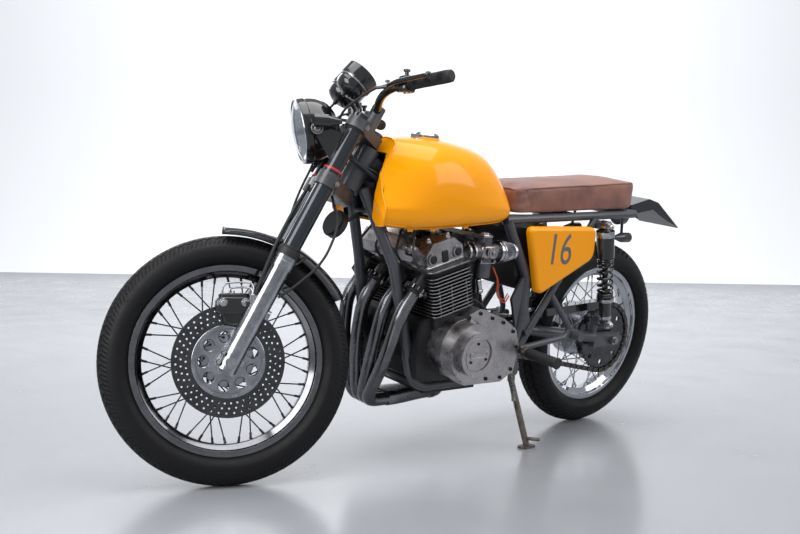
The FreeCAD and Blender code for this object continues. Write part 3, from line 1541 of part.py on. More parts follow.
def exhaust_headers():
    """Four pipes with finned collars, gathered into one under the engine."""
    pipes = []
    collars = []
    for index, place in enumerate(cylinder_places):
        route = header_route(index)
        pipes.append(bent_bar(route, pipe_radius, pipe_bend))
        aim = (route[1] - route[0]).normalize()
        start = route[0]
        ring = cylinder(start, start + aim * collar_length, collar_radius - collar_tooth)
        shapes = [ring]
        for tooth in range(collar_fins):
            blade = box(Vec(0, -collar_fin_width / 2, 0), Vec(collar_radius, collar_fin_width / 2, collar_length))
            blade.rotate(Vec(0, 0, 0), Vec(0, 0, 1), 360 * tooth / collar_fins)
            blade.Placement = FreeCAD.Placement(start, FreeCAD.Rotation(Vec(0, 0, 1), aim)).multiply(blade.Placement)
            shapes.append(blade)
        collars += shapes
    mouth = slab([Vec(collector_front_x - pipe_lap, collector_place - collector_mouth_half, pipe_low_z - pipe_radius - pipe_wall),
                  Vec(collector_front_x - pipe_lap, collector_place + collector_mouth_half, pipe_low_z - pipe_radius - pipe_wall),
                  Vec(collector_front_x - pipe_lap, collector_place + collector_mouth_half, pipe_low_z + pipe_radius + pipe_wall),
                  Vec(collector_front_x - pipe_lap, collector_place - collector_mouth_half, pipe_low_z + pipe_radius + pipe_wall)],
                 Vec(pipe_lap, 0, 0))
    neck_start = Vec(collector_front_x - pipe_lap, collector_place, pipe_low_z)
    neck_end = Vec(collector_rear_x, collector_place, pipe_low_z)
    square = Part.makePolygon([neck_start + Vec(0, -collector_mouth_half, -pipe_radius - pipe_wall),
                               neck_start + Vec(0, collector_mouth_half, -pipe_radius - pipe_wall),
                               neck_start + Vec(0, collector_mouth_half, pipe_radius + pipe_wall),
                               neck_start + Vec(0, -collector_mouth_half, pipe_radius + pipe_wall),
                               neck_start + Vec(0, -collector_mouth_half, -pipe_radius - pipe_wall)])
    small = []
    for y_share, z_share in ((-1, -1), (1, -1), (1, 1), (-1, 1), (-1, -1)):
        small.append(neck_end + Vec(0, collector_radius * neck_share * y_share, collector_radius * neck_share * z_share))
    neck = Part.makeLoft([square, Part.makePolygon(small)], True, True)
    tail = bent_bar([neck_end + Vec(pipe_lap, 0, 0), neck_end - Vec(pipe_lap, 0, 0), silencer_front], collector_radius * neck_share, pipe_bend)
    return fused(pipes + collars + [mouth, neck, tail])


def silencer():
    """A round can on the right side with a coned tail and an open outlet."""
    aim = (silencer_rear - silencer_kink).normalize()
    start = silencer_kink
    front_cone = cone(start, start + aim * silencer_cone, collector_radius, silencer_radius)
    tail_start = silencer_rear - aim * silencer_cone
    can = cylinder(start + aim * silencer_cone, tail_start, silencer_radius)
    tail = cone(tail_start, silencer_rear, silencer_radius, silencer_outlet_radius + silencer_wall)
    bore = cylinder(silencer_rear - aim * silencer_cone, silencer_rear + aim * cut_over, silencer_outlet_radius)
    link = bent_bar([silencer_front, silencer_front + (silencer_front - (Vec(collector_rear_x - pipe_lap, collector_place, pipe_low_z))).normalize() * pipe_lap,
                     silencer_kink - aim * pipe_lap, silencer_kink + aim * cut_over], collector_radius, pipe_bend)
    return fused([front_cone, can, tail, link]).cut(bore)


# Bodywork

def tank_section(x, low, top, half, pinch):
    """One closed ring of the tank: flat under side, full flanks, domed top."""
    points = []
    for across, up in tank_ring_shares:
        drawn = max(0.0, up - tank_pinch_from) / (1 - tank_pinch_from)
        points.append(Vec(x, half * across * (1 - pinch * drawn), low + (top - low) * up))
    points += [flip(point) for point in reversed(points[1:-1])]
    curve = Part.BSplineCurve()
    curve.interpolate(points, True)
    return Part.Wire([curve.toShape()])


def tank_body():
    """The tank's full outside, lofted through its stations and trimmed in front."""
    body = Part.makeLoft([tank_section(*station) for station in tank_stations], True)
    reach = cut_over + max(half for x, low, top, half, pinch in tank_stations)
    return body.common(side_slab(tank_front_points, -reach, reach, tank_front_round))


def fuel_tank():
    """A tank with a frame tunnel, an open nose round the head and room for the tubes."""
    rear = tank_stations[0][0] - tank_reach
    front = tank_stations[-1][0] + tank_reach
    floor = tank_stations[-1][1] - tank_reach
    tunnel = side_slab([(rear, floor), (front, floor), (front, tunnel_top(front)), (rear, tunnel_top(rear))],
                       -tank_tunnel_half, tank_tunnel_half)
    mouth = side_slab(tank_mouth_points, -tank_mouth_half, tank_mouth_half, tank_front_round)
    low, high = head_tube()
    rooms = [tunnel, mouth, cylinder(low - steer_axis * head_radius, high + steer_axis * head_radius, head_radius + tank_head_gap)]
    cross = backbone_end + Vec(0, rail_half, 0)
    rooms.append(cylinder(flip(cross), cross, rail_radius + tank_tube_gap))
    for side in (1, -1):
        knee = Vec(cradle_knee.x, side * cradle_knee.y, cradle_knee.z)
        crown = Vec(cradle_seat.x, side * cradle_seat.y, cradle_seat.z)
        rail = Vec(rail_front.x, side * rail_front.y, rail_front.z)
        rooms.append(cylinder(knee, crown + (crown - knee).normalize() * tank_tube_gap, cradle_radius + tank_tube_gap))
        rooms.append(cylinder(rail + Vec(tank_tube_gap, 0, 0), Vec(rear, rail.y, rail.z), rail_radius + tank_tube_gap))
    return tank_body().cut(Part.makeCompound(rooms))


def tunnel_top(x):
    """Height of the tank's tunnel roof, just over the backbone."""
    slope = (backbone_start.z - backbone_end.z) / (backbone_start.x - backbone_end.x)
    return backbone_end.z + slope * (x - backbone_end.x) + backbone_radius + tank_tunnel_gap


def fuel_cap():
    """A flip cap: ring, lid and tab."""
    foot = Vec(cap_x, 0, cap_seat)
    ring = cylinder(foot, foot + Vec(0, 0, cap_height), cap_radius)
    lid = cone(foot + Vec(0, 0, cap_height), foot + Vec(0, 0, cap_height + cap_lid), cap_radius, cap_radius * cap_lid_share)
    tab = box(foot + Vec(cap_radius - cap_tab, -cap_tab, 0), foot + Vec(cap_radius + cap_tab, cap_tab, cap_height))
    return fused([ring, lid, tab]).cut(tank_body())


def seat():
    """A plain bench pad on the rails."""
    points = [(seat_front_x, seat_front_low), (seat_front_x, seat_front_top), (seat_rear_x, seat_rear_top), (seat_rear_x, seat_rear_low)]
    return side_slab(points, -seat_half, seat_half, seat_round)


def side_covers():
    """Shallow pressed covers with turned edges, one on each side."""
    outer = side_slab(side_cover_points, cover_inner_place, cover_outer_place, side_cover_round)
    centre_x = sum(x for x, z in side_cover_points) / len(side_cover_points)
    centre_z = sum(z for x, z in side_cover_points) / len(side_cover_points)
    span_x = max(x for x, z in side_cover_points) - min(x for x, z in side_cover_points)
    share = 1 - 2 * side_cover_wall / span_x * side_cover_edge / side_cover_wall
    inner_points = [(centre_x + (x - centre_x) * share, centre_z + (z - centre_z) * share) for x, z in side_cover_points]
    hollow = side_slab(inner_points, cover_inner_place - cut_over, cover_outer_place - side_cover_wall, side_cover_round * share)
    edge = outer.makeChamfer(side_cover_edge, [e for e in outer.Edges if abs(e.CenterOfMass.y - cover_outer_place) < run_gap])
    cover = edge.cut(hollow)
    stay = cylinder(Vec(stay_low.x, stay_low.y, stay_low.z), stay_high, stay_radius + seat_gap)
    return Part.makeCompound(both(cover.cut(stay)))


def battery_box():
    """Battery case on the left and oil tank on the right, behind the covers."""
    body = side_slab([(box_front_x, box_top_z), (box_rear_x - box_step, box_top_z), (box_rear_x - box_step, box_mid_z),
                      (box_rear_x, box_low_z), (box_front_x - box_step, box_low_z)], -box_half, box_half, box_round)
    cuts = [cradle(1), cradle(-1), cylinder(Vec(cradle_knee.x, -cradle_knee.y, cradle_knee.z), cradle_knee, cross_radius + seat_gap)]
    return body.cut(Part.makeCompound(cuts))


def tail_bracket():
    """Folded plate behind the seat that carries the tail lamp and number plate."""
    shapes = []
    for side in (1, -1):
        shapes.append(side_slab(tail_points, side * plate_half, side * (plate_half - plate_wall)))
    upper = tail_points[1:4]
    top = [Vec(x, -plate_half, z) for x, z in upper]
    for first, last in ((tail_points[0], tail_points[1]), (tail_points[1], tail_points[2]), (tail_points[2], tail_points[3])):
        deck = face_of([Vec(first[0], -plate_half, first[1]), Vec(last[0], -plate_half, last[1]),
                        Vec(last[0], -plate_half, last[1] - plate_wall), Vec(first[0], -plate_half, first[1] - plate_wall)])
        shapes.append(deck.extrude(Vec(0, 2 * plate_half, 0)))
    whole = fused(shapes)
    holes = [cylinder(Vec(plate_hole_x, side * plate_hole_spacing / 2, tail_lamp_z - plate_half),
                      Vec(plate_hole_x, side * plate_hole_spacing / 2, tail_lamp_z + plate_half), plate_hole_radius) for side in (1, -1)]
    return whole.cut(Part.makeCompound(holes))


def rear_lamps():
    """Tail lamp under the bracket and a bullet lamp below each rail."""
    back = Vec(tail_lamp_x, 0, tail_lamp_z)
    tail = cylinder(back, back - Vec(tail_lamp_depth, 0, 0), tail_lamp_radius)
    stem = box(back + Vec(-tail_lamp_depth / 2, -lamp_radius, 0), back + Vec(-plate_wall, lamp_radius, tail_lamp_rise))
    shapes = [fused([tail, stem])]
    for side in (1, -1):
        hub = Vec(rear_lamp_x, side * rear_lamp_place, rear_lamp_z)
        body = cone(hub, hub + Vec(lamp_half_length, 0, 0), lamp_radius, lamp_tail_radius)
        face = cylinder(hub, hub - Vec(lamp_half_length, 0, 0), lamp_radius)
        stalk = cylinder(hub, Vec(hub.x, side * rail_half, rail_z(hub.x) - rail_radius - seat_gap), fender_stay_radius)
        shapes.append(fused([body, face, stalk]))
    return Part.makeCompound(shapes)


def rail_z(x):
    share = (rail_front.x - x) / (rail_front.x - rail_rear.x)
    return rail_front.z + (rail_rear.z - rail_front.z) * share


def peg_loop(side):
    """One of the bent bars behind the rider's pegs, for the passenger's lugs."""
    route = [Vec(p.x, side * p.y, p.z) for p in (loop_start, loop_back, loop_front)]
    return bent_bar(route, loop_radius, loop_bend)


def footpegs():
    """Rubber pegs on pins out of the cradle plates."""
    shapes = []
    for side in (1, -1):
        root = Vec(peg_x, side * (cradle_pivot.y + gusset_thickness / 2 + seat_gap), peg_z)
        pin = cylinder(root, Vec(peg_x, side * peg_end, peg_z), peg_pin_radius)
        rubber = cylinder(Vec(peg_x, side * (peg_start + peg_bracket), peg_z), Vec(peg_x, side * peg_end, peg_z), peg_radius)
        boss = cylinder(root, Vec(peg_x, side * peg_start, peg_z), peg_radius)
        shapes.append(fused([pin, rubber, boss]).cut(Part.makeCompound([cradle(side), peg_loop(side)])))
    return Part.makeCompound(shapes)


def horn():
    """A round disc horn ahead of the downtubes."""
    back = Vec(wheelbase - horn_back, 0, horn_z)
    aim = fork_forward
    middle = back + aim * horn_depth * horn_plate_share
    body = cylinder(back, middle, horn_radius)
    face = cylinder(middle, back + aim * horn_depth * horn_rim_share, horn_radius * horn_rim_radius_share)
    root = Vec(horn_bar.x, -horn_strap_half, horn_bar.z)
    tip = back + Vec(0, -horn_strap_half, 0)
    down = Vec(0, 0, horn_strap_thickness)
    strap = face_of([root, tip, tip - down, root - down]).extrude(Vec(0, 2 * horn_strap_half, 0))
    return fused([body, face, strap]).cut(cylinder(flip(horn_bar), horn_bar, horn_bar_radius))


# Chain

def chain_points(inset=0.0):
    """Pin places round both sprockets, one pitch apart, at a distance inside."""
    rear = rear_centre + Vec(0, chain_place, 0)
    front = Vec(front_sprocket_x, chain_place, front_sprocket_z)
    big = pitch_radius(rear_teeth)
    small = pitch_radius(front_teeth)
    gap = front - rear
    span = gap.Length
    base = math.atan2(gap.z, gap.x)
    open_angle = math.acos((big - small) / span)
    straight = math.sqrt(span * span - (big - small) * (big - small))
    rear_arc = big * (math.tau - 2 * open_angle)
    front_arc = small * 2 * open_angle
    total = 2 * straight + rear_arc + front_arc
    links = 2 * round(total / chain_pitch / 2)
    points = []
    for index in range(links):
        at = total * index / links
        if at < straight:
            share = at / straight
            upper_rear = rear + Vec(big * math.cos(base + open_angle), 0, big * math.sin(base + open_angle))
            upper_front = front + Vec(small * math.cos(base + open_angle), 0, small * math.sin(base + open_angle))
            points.append(upper_rear + (upper_front - upper_rear) * share)
        elif at < straight + front_arc:
            angle = base + open_angle - (at - straight) / small
            points.append(front + Vec(small * math.cos(angle), 0, small * math.sin(angle)))
        elif at < 2 * straight + front_arc:
            share = (at - straight - front_arc) / straight
            lower_front = front + Vec(small * math.cos(base - open_angle), 0, small * math.sin(base - open_angle))
            lower_rear = rear + Vec(big * math.cos(base - open_angle), 0, big * math.sin(base - open_angle))
            points.append(lower_front + (lower_rear - lower_front) * share)
        else:
            angle = base - open_angle - (at - 2 * straight - front_arc) / big
            points.append(rear + Vec(big * math.cos(angle), 0, big * math.sin(angle)))
    return points


def chain():
    """Links in turn wide and narrow, with a solid row of rollers between."""
    pins = chain_points()
    shapes = []
    for index, pin in enumerate(pins):
        following = pins[(index + 1) % len(pins)]
        run = following - pin
        wide = index % 2
        reach = chain_outer_half if wide else chain_inner_half
        inner = chain_inner_half if wide else chain_gap_half
        turn = FreeCAD.Rotation(Vec(1, 0, 0), run)
        for side in (1, -1):
            low = min(side * inner, side * reach)
            high = max(side * inner, side * reach)
            over = chain_pitch * link_over_share
            plate = box(Vec(-over, low, -chain_plate_height / 2), Vec(run.Length + over, high, chain_plate_height / 2))
            plate.Placement = FreeCAD.Placement(pin, turn).multiply(plate.Placement)
            shapes.append(plate)
        roller = box(Vec(-roller_radius, -chain_inner_half, -roller_radius), Vec(roller_radius, chain_inner_half, roller_radius))
        roller.Placement = FreeCAD.Placement(pin, turn).multiply(roller.Placement)
        shapes.append(roller)
    return Part.makeCompound(shapes)


def chain_guard():
    """A folded strip over the upper run of the chain."""
    rear = rear_centre
    big = pitch_radius(rear_teeth) + guard_gap
    small = front_sprocket_z + pitch_radius(front_teeth) + guard_gap
    slope = (small - rear.z - big) / front_sprocket_x
    def top(x):
        return rear.z + big + slope * x
    points = [(guard_rear_x, top(guard_rear_x)), (guard_front_x, top(guard_front_x)),
              (guard_front_x, top(guard_front_x) - guard_depth), (guard_rear_x, top(guard_rear_x) - guard_depth)]
    shell = side_slab(points, chain_place - guard_half, chain_place + guard_half)
    hollow = side_slab([(guard_rear_x - cut_over, top(guard_rear_x) - guard_wall), (guard_front_x + cut_over, top(guard_front_x) - guard_wall),
                        (guard_front_x + cut_over, top(guard_front_x) - guard_depth - cut_over), (guard_rear_x - cut_over, top(guard_rear_x) - guard_depth - cut_over)],
                       chain_place - guard_half + guard_wall, chain_place + guard_half - guard_wall)
    return shell.cut(hollow)


# Parked pose: turned steering, then the lean that rests both tyres and the stand

def moved(shape, placement):
    """A copy of a shape carried by a placement."""
    result = shape.copy()
    result.Placement = placement.multiply(result.Placement)
    return result


steering = FreeCAD.Placement(Vec(0, 0, 0), FreeCAD.Rotation(steer_axis, steer_deg), steer_foot)


def lowest(placement, centre, axle, radius, width):
    """Height of a tyre's lowest point once the machine is placed."""
    at = placement.multVec(centre)
    tip = placement.Rotation.multVec(axle).z
    reach = math.sqrt(1 - tip * tip)
    return min(at.z + place * tip - r * reach for r, place in crown_profile(radius, width))


def parked():
    """Leans the machine, then pitches and lifts it until both tyres touch the ground."""
    steered_centre = steering.multVec(front_centre)
    steered_axle = steering.Rotation.multVec(Vec(0, 1, 0))
    pitch = 0.0
    lean = FreeCAD.Rotation(Vec(1, 0, 0), -lean_deg)
    for step in range(settle_steps):
        place = FreeCAD.Placement(Vec(0, 0, 0), lean.multiply(FreeCAD.Rotation(Vec(0, 1, 0), math.degrees(pitch))))
        rear = lowest(place, rear_centre, Vec(0, 1, 0), rear_tyre_radius, rear_tyre_width)
        front = lowest(place, steered_centre, steered_axle, front_tyre_radius, front_tyre_width)
        pitch += (front - rear) / wheelbase
    place.Base = Vec(0, 0, -rear)
    return place


park = parked()
ground_up = park.inverse().Rotation.multVec(Vec(0, 0, 1))
ground_point = park.inverse().multVec(Vec(0, 0, 0))


def on_ground(x, y):
    """The point of the ground below a place, in the upright machine's frame."""
    drop = (Vec(x, y, 0) - ground_point).dot(ground_up)
    return Vec(x, y, -drop / ground_up.z)


def side_stand():
    """A leg with a flat foot and a tang, hung from its pivot bolt."""
    pivot = Vec(stand_pivot_x, stand_pivot_place, stand_pivot_z)
    foot = on_ground(stand_foot_x, stand_foot_place)
    eye = cylinder(pivot - Vec(0, stand_eye_width / 2, 0), pivot + Vec(0, stand_eye_width / 2, 0), stand_eye_radius)
    top = foot + ground_up * stand_foot_thickness
    down = Vec(foot.x - pivot.x, 0, foot.z - pivot.z).normalize()
    aside = Vec(down.z, 0, -down.x) * stand_leg_radius
    hip = pivot + down * stand_tongue
    tongue = slab([pivot + aside, pivot - aside, hip - aside, hip + aside], Vec(0, stand_eye_width, 0))
    tongue.translate(Vec(0, -stand_eye_width / 2, 0))
    knuckle = Part.makeSphere(stand_leg_radius, hip)
    leg = cylinder(hip, top, stand_leg_radius)
    ahead = Vec(1, 0, 0) - ground_up * ground_up.x
    across = ground_up.cross(ahead)
    half = stand_foot_length / 2
    wide = stand_foot_width / 2
    outline = [foot + ahead * half + across * wide, foot - ahead * half + across * wide,
               foot - ahead * half - across * wide, foot + ahead * half - across * wide]
    pad = slab(outline, ground_up * stand_foot_thickness, wide * stand_foot_round_share)
    knee = top + (pivot - top) * stand_tang_share
    tang = bent_bar([knee, knee + across * stand_tang_length * stand_tang_knee_share,
                     knee + across * stand_tang_length - ahead * stand_tang_length * stand_tang_back_share],
                    stand_tang_radius, stand_tang_length * stand_tang_knee_share)
    hole = cylinder(pivot - Vec(0, stand_eye_width, 0), pivot + Vec(0, stand_eye_width, 0), stand_pin_radius + run_gap)
    return fused([eye, tongue, knuckle, leg, pad, tang]).cut(hole)


def stand_clevis():
    """Two ears and a pin on the left cradle that hold the side stand."""
    pivot = Vec(stand_pivot_x, stand_pivot_place, stand_pivot_z)
    shapes = []
    for side in (1, -1):
        at = pivot + Vec(0, side * (stand_eye_width / 2 + run_gap), 0)
        ear = cylinder(at, at + Vec(0, side * clevis_thickness, 0), stand_eye_radius)
        shapes.append(ear)
    inner = pivot.y - stand_eye_width / 2 - run_gap - clevis_thickness
    plate = box(Vec(pivot.x - stand_eye_radius, cradle_pivot.y, pivot.z - stand_eye_radius),
                Vec(pivot.x + stand_eye_radius, inner + clevis_thickness, pivot.z + stand_eye_radius))
    shapes.append(plate)
    bridge_z = pivot.z + stand_eye_radius + clevis_room
    bridge = box(Vec(pivot.x - stand_eye_radius, inner, bridge_z),
                 Vec(pivot.x + stand_eye_radius, pivot.y + stand_eye_width / 2 + run_gap + clevis_thickness,
                     bridge_z + clevis_thickness))
    for side in (1, -1):
        at = pivot + Vec(-stand_eye_radius, side * (stand_eye_width / 2 + run_gap), 0)
        low = min(at.y, at.y + side * clevis_thickness)
        shapes.append(box(Vec(at.x, low, pivot.z), Vec(at.x + 2 * stand_eye_radius, low + clevis_thickness,
                                                      bridge_z + clevis_thickness)))
    pin = cylinder(pivot - Vec(0, stand_eye_width, 0), pivot + Vec(0, stand_eye_width, 0), stand_pin_radius)
    return fused(shapes + [bridge, pin]).cut(cradle(1))


def at_front(shape):
    return moved(shape, FreeCAD.Placement(front_centre, FreeCAD.Rotation()))


def at_rear(shape):
    return moved(shape, FreeCAD.Placement(rear_centre, FreeCAD.Rotation()))


fixed_nodes = {
    "frame_spine": frame_spine,
    "frame_cradles": frame_cradles,
    "frame_tail": frame_tail,
    "swing_arm": swing_arm,
    "rear_axle": rear_axle,
    "shock_dampers": shock_dampers,
    "shock_springs": shock_springs,
    "crankcase": crankcase,
    "cylinder_block": cylinder_block,
    "cylinder_head": cylinder_head,
    "cam_cover": cam_cover,
    "generator_cover": alternator_cover,
    "clutch_cover": clutch_cover,
    "carburettors": carburettors,
    "air_filters": air_filters,
    "exhaust_headers": exhaust_headers,
    "silencer": silencer,
    "fuel_tank": fuel_tank,
    "fuel_cap": fuel_cap,
    "seat": seat,
    "side_covers": side_covers,
    "battery_box": battery_box,
    "tail_bracket": tail_bracket,
    "rear_lamps": rear_lamps,
    "footpegs": footpegs,
    "chain": chain,
    "chain_guard": chain_guard,
    "horn": horn,
    "stand_clevis": stand_clevis,
    "side_stand": side_stand,
    "rear_tyre": lambda: at_rear(tyre(rear_tyre_radius, rear_tyre_width, rear_bead_radius, rear_flange_height,
                                      rear_rim_width)),
    "rear_rim": lambda: at_rear(rim(rear_bead_radius, rear_flange_height, rear_rim_width)),
    "rear_hub": lambda: at_rear(rear_hub()),
    "rear_sprocket": lambda: at_rear(rear_sprocket()),
}

steered_nodes = {
    "yokes": yokes,
    "fork_tubes": fork_tubes,
    "fork_sliders": fork_sliders,
    "front_axle": front_axle,
    "handlebar": handlebar,
    "grips": grips,
    "hand_controls": hand_controls,
    "headlight_shell": headlight_shell,
    "headlight_lens": headlight_lens,
    "headlight_ears": lambda: Part.makeCompound(headlight_ears()),
    "front_indicators": front_indicators,
    "gauges": gauges,
    "front_fender": front_fender,
    "brake_caliper": brake_caliper,
    "front_tyre": lambda: at_front(tyre(front_tyre_radius, front_tyre_width, front_bead_radius,
                                        front_flange_height, front_rim_width)),
    "front_rim": lambda: at_front(rim(front_bead_radius, front_flange_height, front_rim_width)),
    "front_hub": lambda: at_front(front_hub()),
    "front_disc": lambda: at_front(front_disc()),
}


def built():
    """Every piece in its parked place, with the origin under the middle."""
    shapes = {name: moved(make(), park) for name, make in fixed_nodes.items()}
    shapes.update({name: moved(make(), park.multiply(steering)) for name, make in steered_nodes.items()})
    bounds = FreeCAD.BoundBox()
    for shape in shapes.values():
        bounds.add(shape.BoundBox)
    centre = FreeCAD.Placement(Vec(-bounds.Center.x, -bounds.Center.y, 0), FreeCAD.Rotation())
    return {name: moved(shape, centre) for name, shape in shapes.items()}, centre


parts, centring = built()
for name, shape in parts.items():
    shape.exportStep("parts/" + name + ".step")
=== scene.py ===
# %% [markdown]
# # A cafe racer, parked
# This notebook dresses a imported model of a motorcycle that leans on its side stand.
# Its smooth pieces are surfaces: each is a function of two parameters worked out on a
# grid with whole-array numpy, and then handed to Blender as one mesh.
# The first cell loads the model. Every later cell adds pieces that ride on its bodies.

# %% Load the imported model
import json
import math

import bpy
import numpy as np
from mathutils import Matrix, Vector


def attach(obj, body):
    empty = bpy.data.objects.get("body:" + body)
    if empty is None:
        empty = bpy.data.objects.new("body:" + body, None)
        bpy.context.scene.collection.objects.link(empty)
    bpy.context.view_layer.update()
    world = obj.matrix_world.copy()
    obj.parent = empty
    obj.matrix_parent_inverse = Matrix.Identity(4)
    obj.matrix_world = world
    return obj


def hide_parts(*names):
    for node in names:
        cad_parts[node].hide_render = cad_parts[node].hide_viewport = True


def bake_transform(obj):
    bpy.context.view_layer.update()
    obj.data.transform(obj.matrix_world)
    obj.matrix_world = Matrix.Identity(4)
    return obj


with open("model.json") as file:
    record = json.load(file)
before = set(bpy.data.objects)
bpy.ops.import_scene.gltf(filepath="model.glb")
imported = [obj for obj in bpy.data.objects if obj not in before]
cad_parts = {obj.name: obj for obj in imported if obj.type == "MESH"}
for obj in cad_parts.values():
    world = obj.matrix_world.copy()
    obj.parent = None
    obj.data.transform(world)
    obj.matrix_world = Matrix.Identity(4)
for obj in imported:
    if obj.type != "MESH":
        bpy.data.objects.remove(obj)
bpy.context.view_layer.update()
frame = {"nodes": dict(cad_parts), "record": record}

nodes = frame["nodes"]
joints = {joint["name"]: joint for joint in frame["record"]["behaviour"]["joints"]}

# %% [markdown]
# ## Two drawing frames
# The machine is drawn upright: X forward from the rear axle, Y to the rider's left and
# Z up, in metres. Two points of the record fix that frame: the rear wheel's centre and
# the steering joint. Steered pieces are drawn straight ahead and then turned.

# %% Frames
REAR_RADIUS = 0.328
FRONT_RADIUS = 0.333
WHEELBASE = 1.455
TRAIL = 0.095
RAKE = math.radians(27.5)
STEER = math.radians(-28.0)


def unit(vector):
    """The vector divided by its length."""
    return np.asarray(vector, float) / np.linalg.norm(vector)


steer_axis = np.array([-math.sin(RAKE), 0, math.cos(RAKE)])
fork_forward = np.array([math.cos(RAKE), 0, math.sin(RAKE)])
front_centre = np.array([WHEELBASE, 0, FRONT_RADIUS])
rear_centre = np.array([0, 0, REAR_RADIUS])
steer_foot = np.array([WHEELBASE + TRAIL, 0, 0])
fork_offset = float((front_centre - steer_foot) @ fork_forward)
LOWER_YOKE = 0.524


def fork_point(along, side=0.0, forward=0.0):
    """A point beside the fork: along the legs up from the axle, sideways, and ahead."""
    return front_centre + steer_axis * along + fork_forward * forward + np.array([0, side, 0])


def stem_point(along):
    """A point on the steering axis, level with the same point of the legs."""
    return fork_point(along, 0.0, -fork_offset)


rear_place = np.array(joints["rear_wheel"]["pos_m"])
stem_place = np.array(joints["steering"]["pos_m"])
left = unit(joints["rear_wheel"]["axis"])
drawn = stem_point(LOWER_YOKE) - rear_centre
rise = math.atan2(drawn[2], drawn[0])
towards = unit(stem_place - rear_place)
above = np.cross(towards, left)
ahead = math.cos(rise) * towards - math.sin(rise) * above
up = math.sin(rise) * towards + math.cos(rise) * above
turn = np.stack([ahead, left, up])
base = rear_place - REAR_RADIUS * up


def turned_about(points, centre, axis, angle):
    """Rotates points: the part along the axis stays, the rest turns in its own plane."""
    arm = points - centre
    straight = (arm @ axis)[..., None] * axis
    flat = arm - straight
    return centre + straight + flat * math.cos(angle) + np.cross(axis, flat) * math.sin(angle)


def upright(points):
    """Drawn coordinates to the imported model's own."""
    return base + np.asarray(points, float) @ turn


def steered(points):
    """Drawn coordinates of a steered piece, turned and then placed."""
    return upright(turned_about(np.asarray(points, float), steer_foot, steer_axis, STEER))


print("front axle misses its joint by", np.round(steered(front_centre) - joints["front_wheel"]["pos_m"], 6))

# %% [markdown]
# ## Surface makers
# A grid surface has one row of points for each value of its first parameter. A closed
# direction joins its last column to its first. Round pieces collapse to one point at a
# pole, so poles are closed with a fan of triangles.

# %% Mesh helpers
def full_turn(count):
    """Evenly spaced angles round a whole turn, without the last one, which is the first."""
    return np.linspace(0, math.tau, count, endpoint=False)


def quads(rows, columns, close_rows=False, close_columns=False):
    """Corner numbers of every cell of a grid of rows and columns."""
    r = np.arange(rows if close_rows else rows - 1)
    c = np.arange(columns if close_columns else columns - 1)
    r, c = np.meshgrid(r, c, indexing="ij")
    r2, c2 = (r + 1) % rows, (c + 1) % columns
    return np.stack([r * columns + c, r * columns + c2, r2 * columns + c2, r2 * columns + c],
                    -1).reshape(-1, 4)


def grid(points, close_rows=False, close_columns=False):
    """A surface chunk from an array of rows, columns and three coordinates."""
    points = np.asarray(points, float)
    return points.reshape(-1, 3), quads(points.shape[0], points.shape[1], close_rows, close_columns)


def fan(ring, middle, backwards=False):
    """A cap: triangles from a ring of points to one middle point."""
    count = len(ring)
    index = np.arange(count)
    faces = np.stack([index, (index + 1) % count, np.full(count, count)], 1)
    return np.vstack([ring, [middle]]), faces[:, ::-1] if backwards else faces


def lathe(profile, count=96):
    """Turned surface about Z: x = r cos a, y = r sin a, z = h over a profile of r, h."""
    profile = np.asarray(profile, float)
    angle = full_turn(count)
    radius, height = profile[:, 0][None], profile[:, 1][None]
    ring = np.stack([np.cos(angle)[:, None] * radius, np.sin(angle)[:, None] * radius,
                     np.ones(count)[:, None] * height], -1)
    points, faces = grid(ring, close_rows=True)
    return points, faces[:, ::-1]


def aimed(chunk, start, axis, spin=0.0):
    """Moves a chunk drawn about Z so that Z points along an axis from a start."""
    points, faces = chunk
    z = unit(axis)
    x = unit(np.cross([0.0, 1.0, 0.0] if abs(z[1]) < 0.9 else [1.0, 0.0, 0.0], z))
    y = np.cross(z, x)
    c, s = math.cos(spin), math.sin(spin)
    x, y = c * x + s * y, c * y - s * x
    return np.asarray(start, float) + points @ np.stack([x, y, z]), faces


def lathed(profile, count, start, axis):
    """A turned surface set on a start point, its profile's heights along an axis."""
    return aimed(lathe(profile, count), start, axis)


def bar(start, end, radius, count=24):
    """A closed round bar between two points, with a small rounded edge."""
    start, end = np.asarray(start, float), np.asarray(end, float)
    length = np.linalg.norm(end - start)
    soft = min(radius, length) * 0.12
    profile = [(0, 0), (radius - soft, 0), (radius, soft), (radius, length - soft), (radius - soft, length),
               (0, length)]
    return lathed(profile, count, start, end - start)


def smooth_path(points, bend=0.03, step=0.004):
    """A path of straight runs whose corners follow a quadratic curve between them."""
    points = [np.asarray(p, float) for p in points]
    out = [points[0]]
    for before, corner, after in zip(points, points[1:], points[2:]):
        cut = min(bend, np.linalg.norm(before - corner) * 0.48, np.linalg.norm(after - corner) * 0.48)
        a, b = corner + unit(before - corner) * cut, corner + unit(after - corner) * cut
        t = np.linspace(0, 1, 13)[:, None]
        out.extend((1 - t) ** 2 * a + 2 * t * (1 - t) * corner + t ** 2 * b)
    out.append(points[-1])
    out = np.array(out)
    gaps = np.linalg.norm(np.diff(out, axis=0), axis=1)
    out = out[np.concatenate([[True], gaps > 1e-7])]
    far = np.concatenate([[0], np.cumsum(np.linalg.norm(np.diff(out, axis=0), axis=1))])
    at = np.linspace(0, far[-1], max(3, int(far[-1] / step) + 1))
    return np.stack([np.interp(at, far, out[:, k]) for k in range(3)], 1)


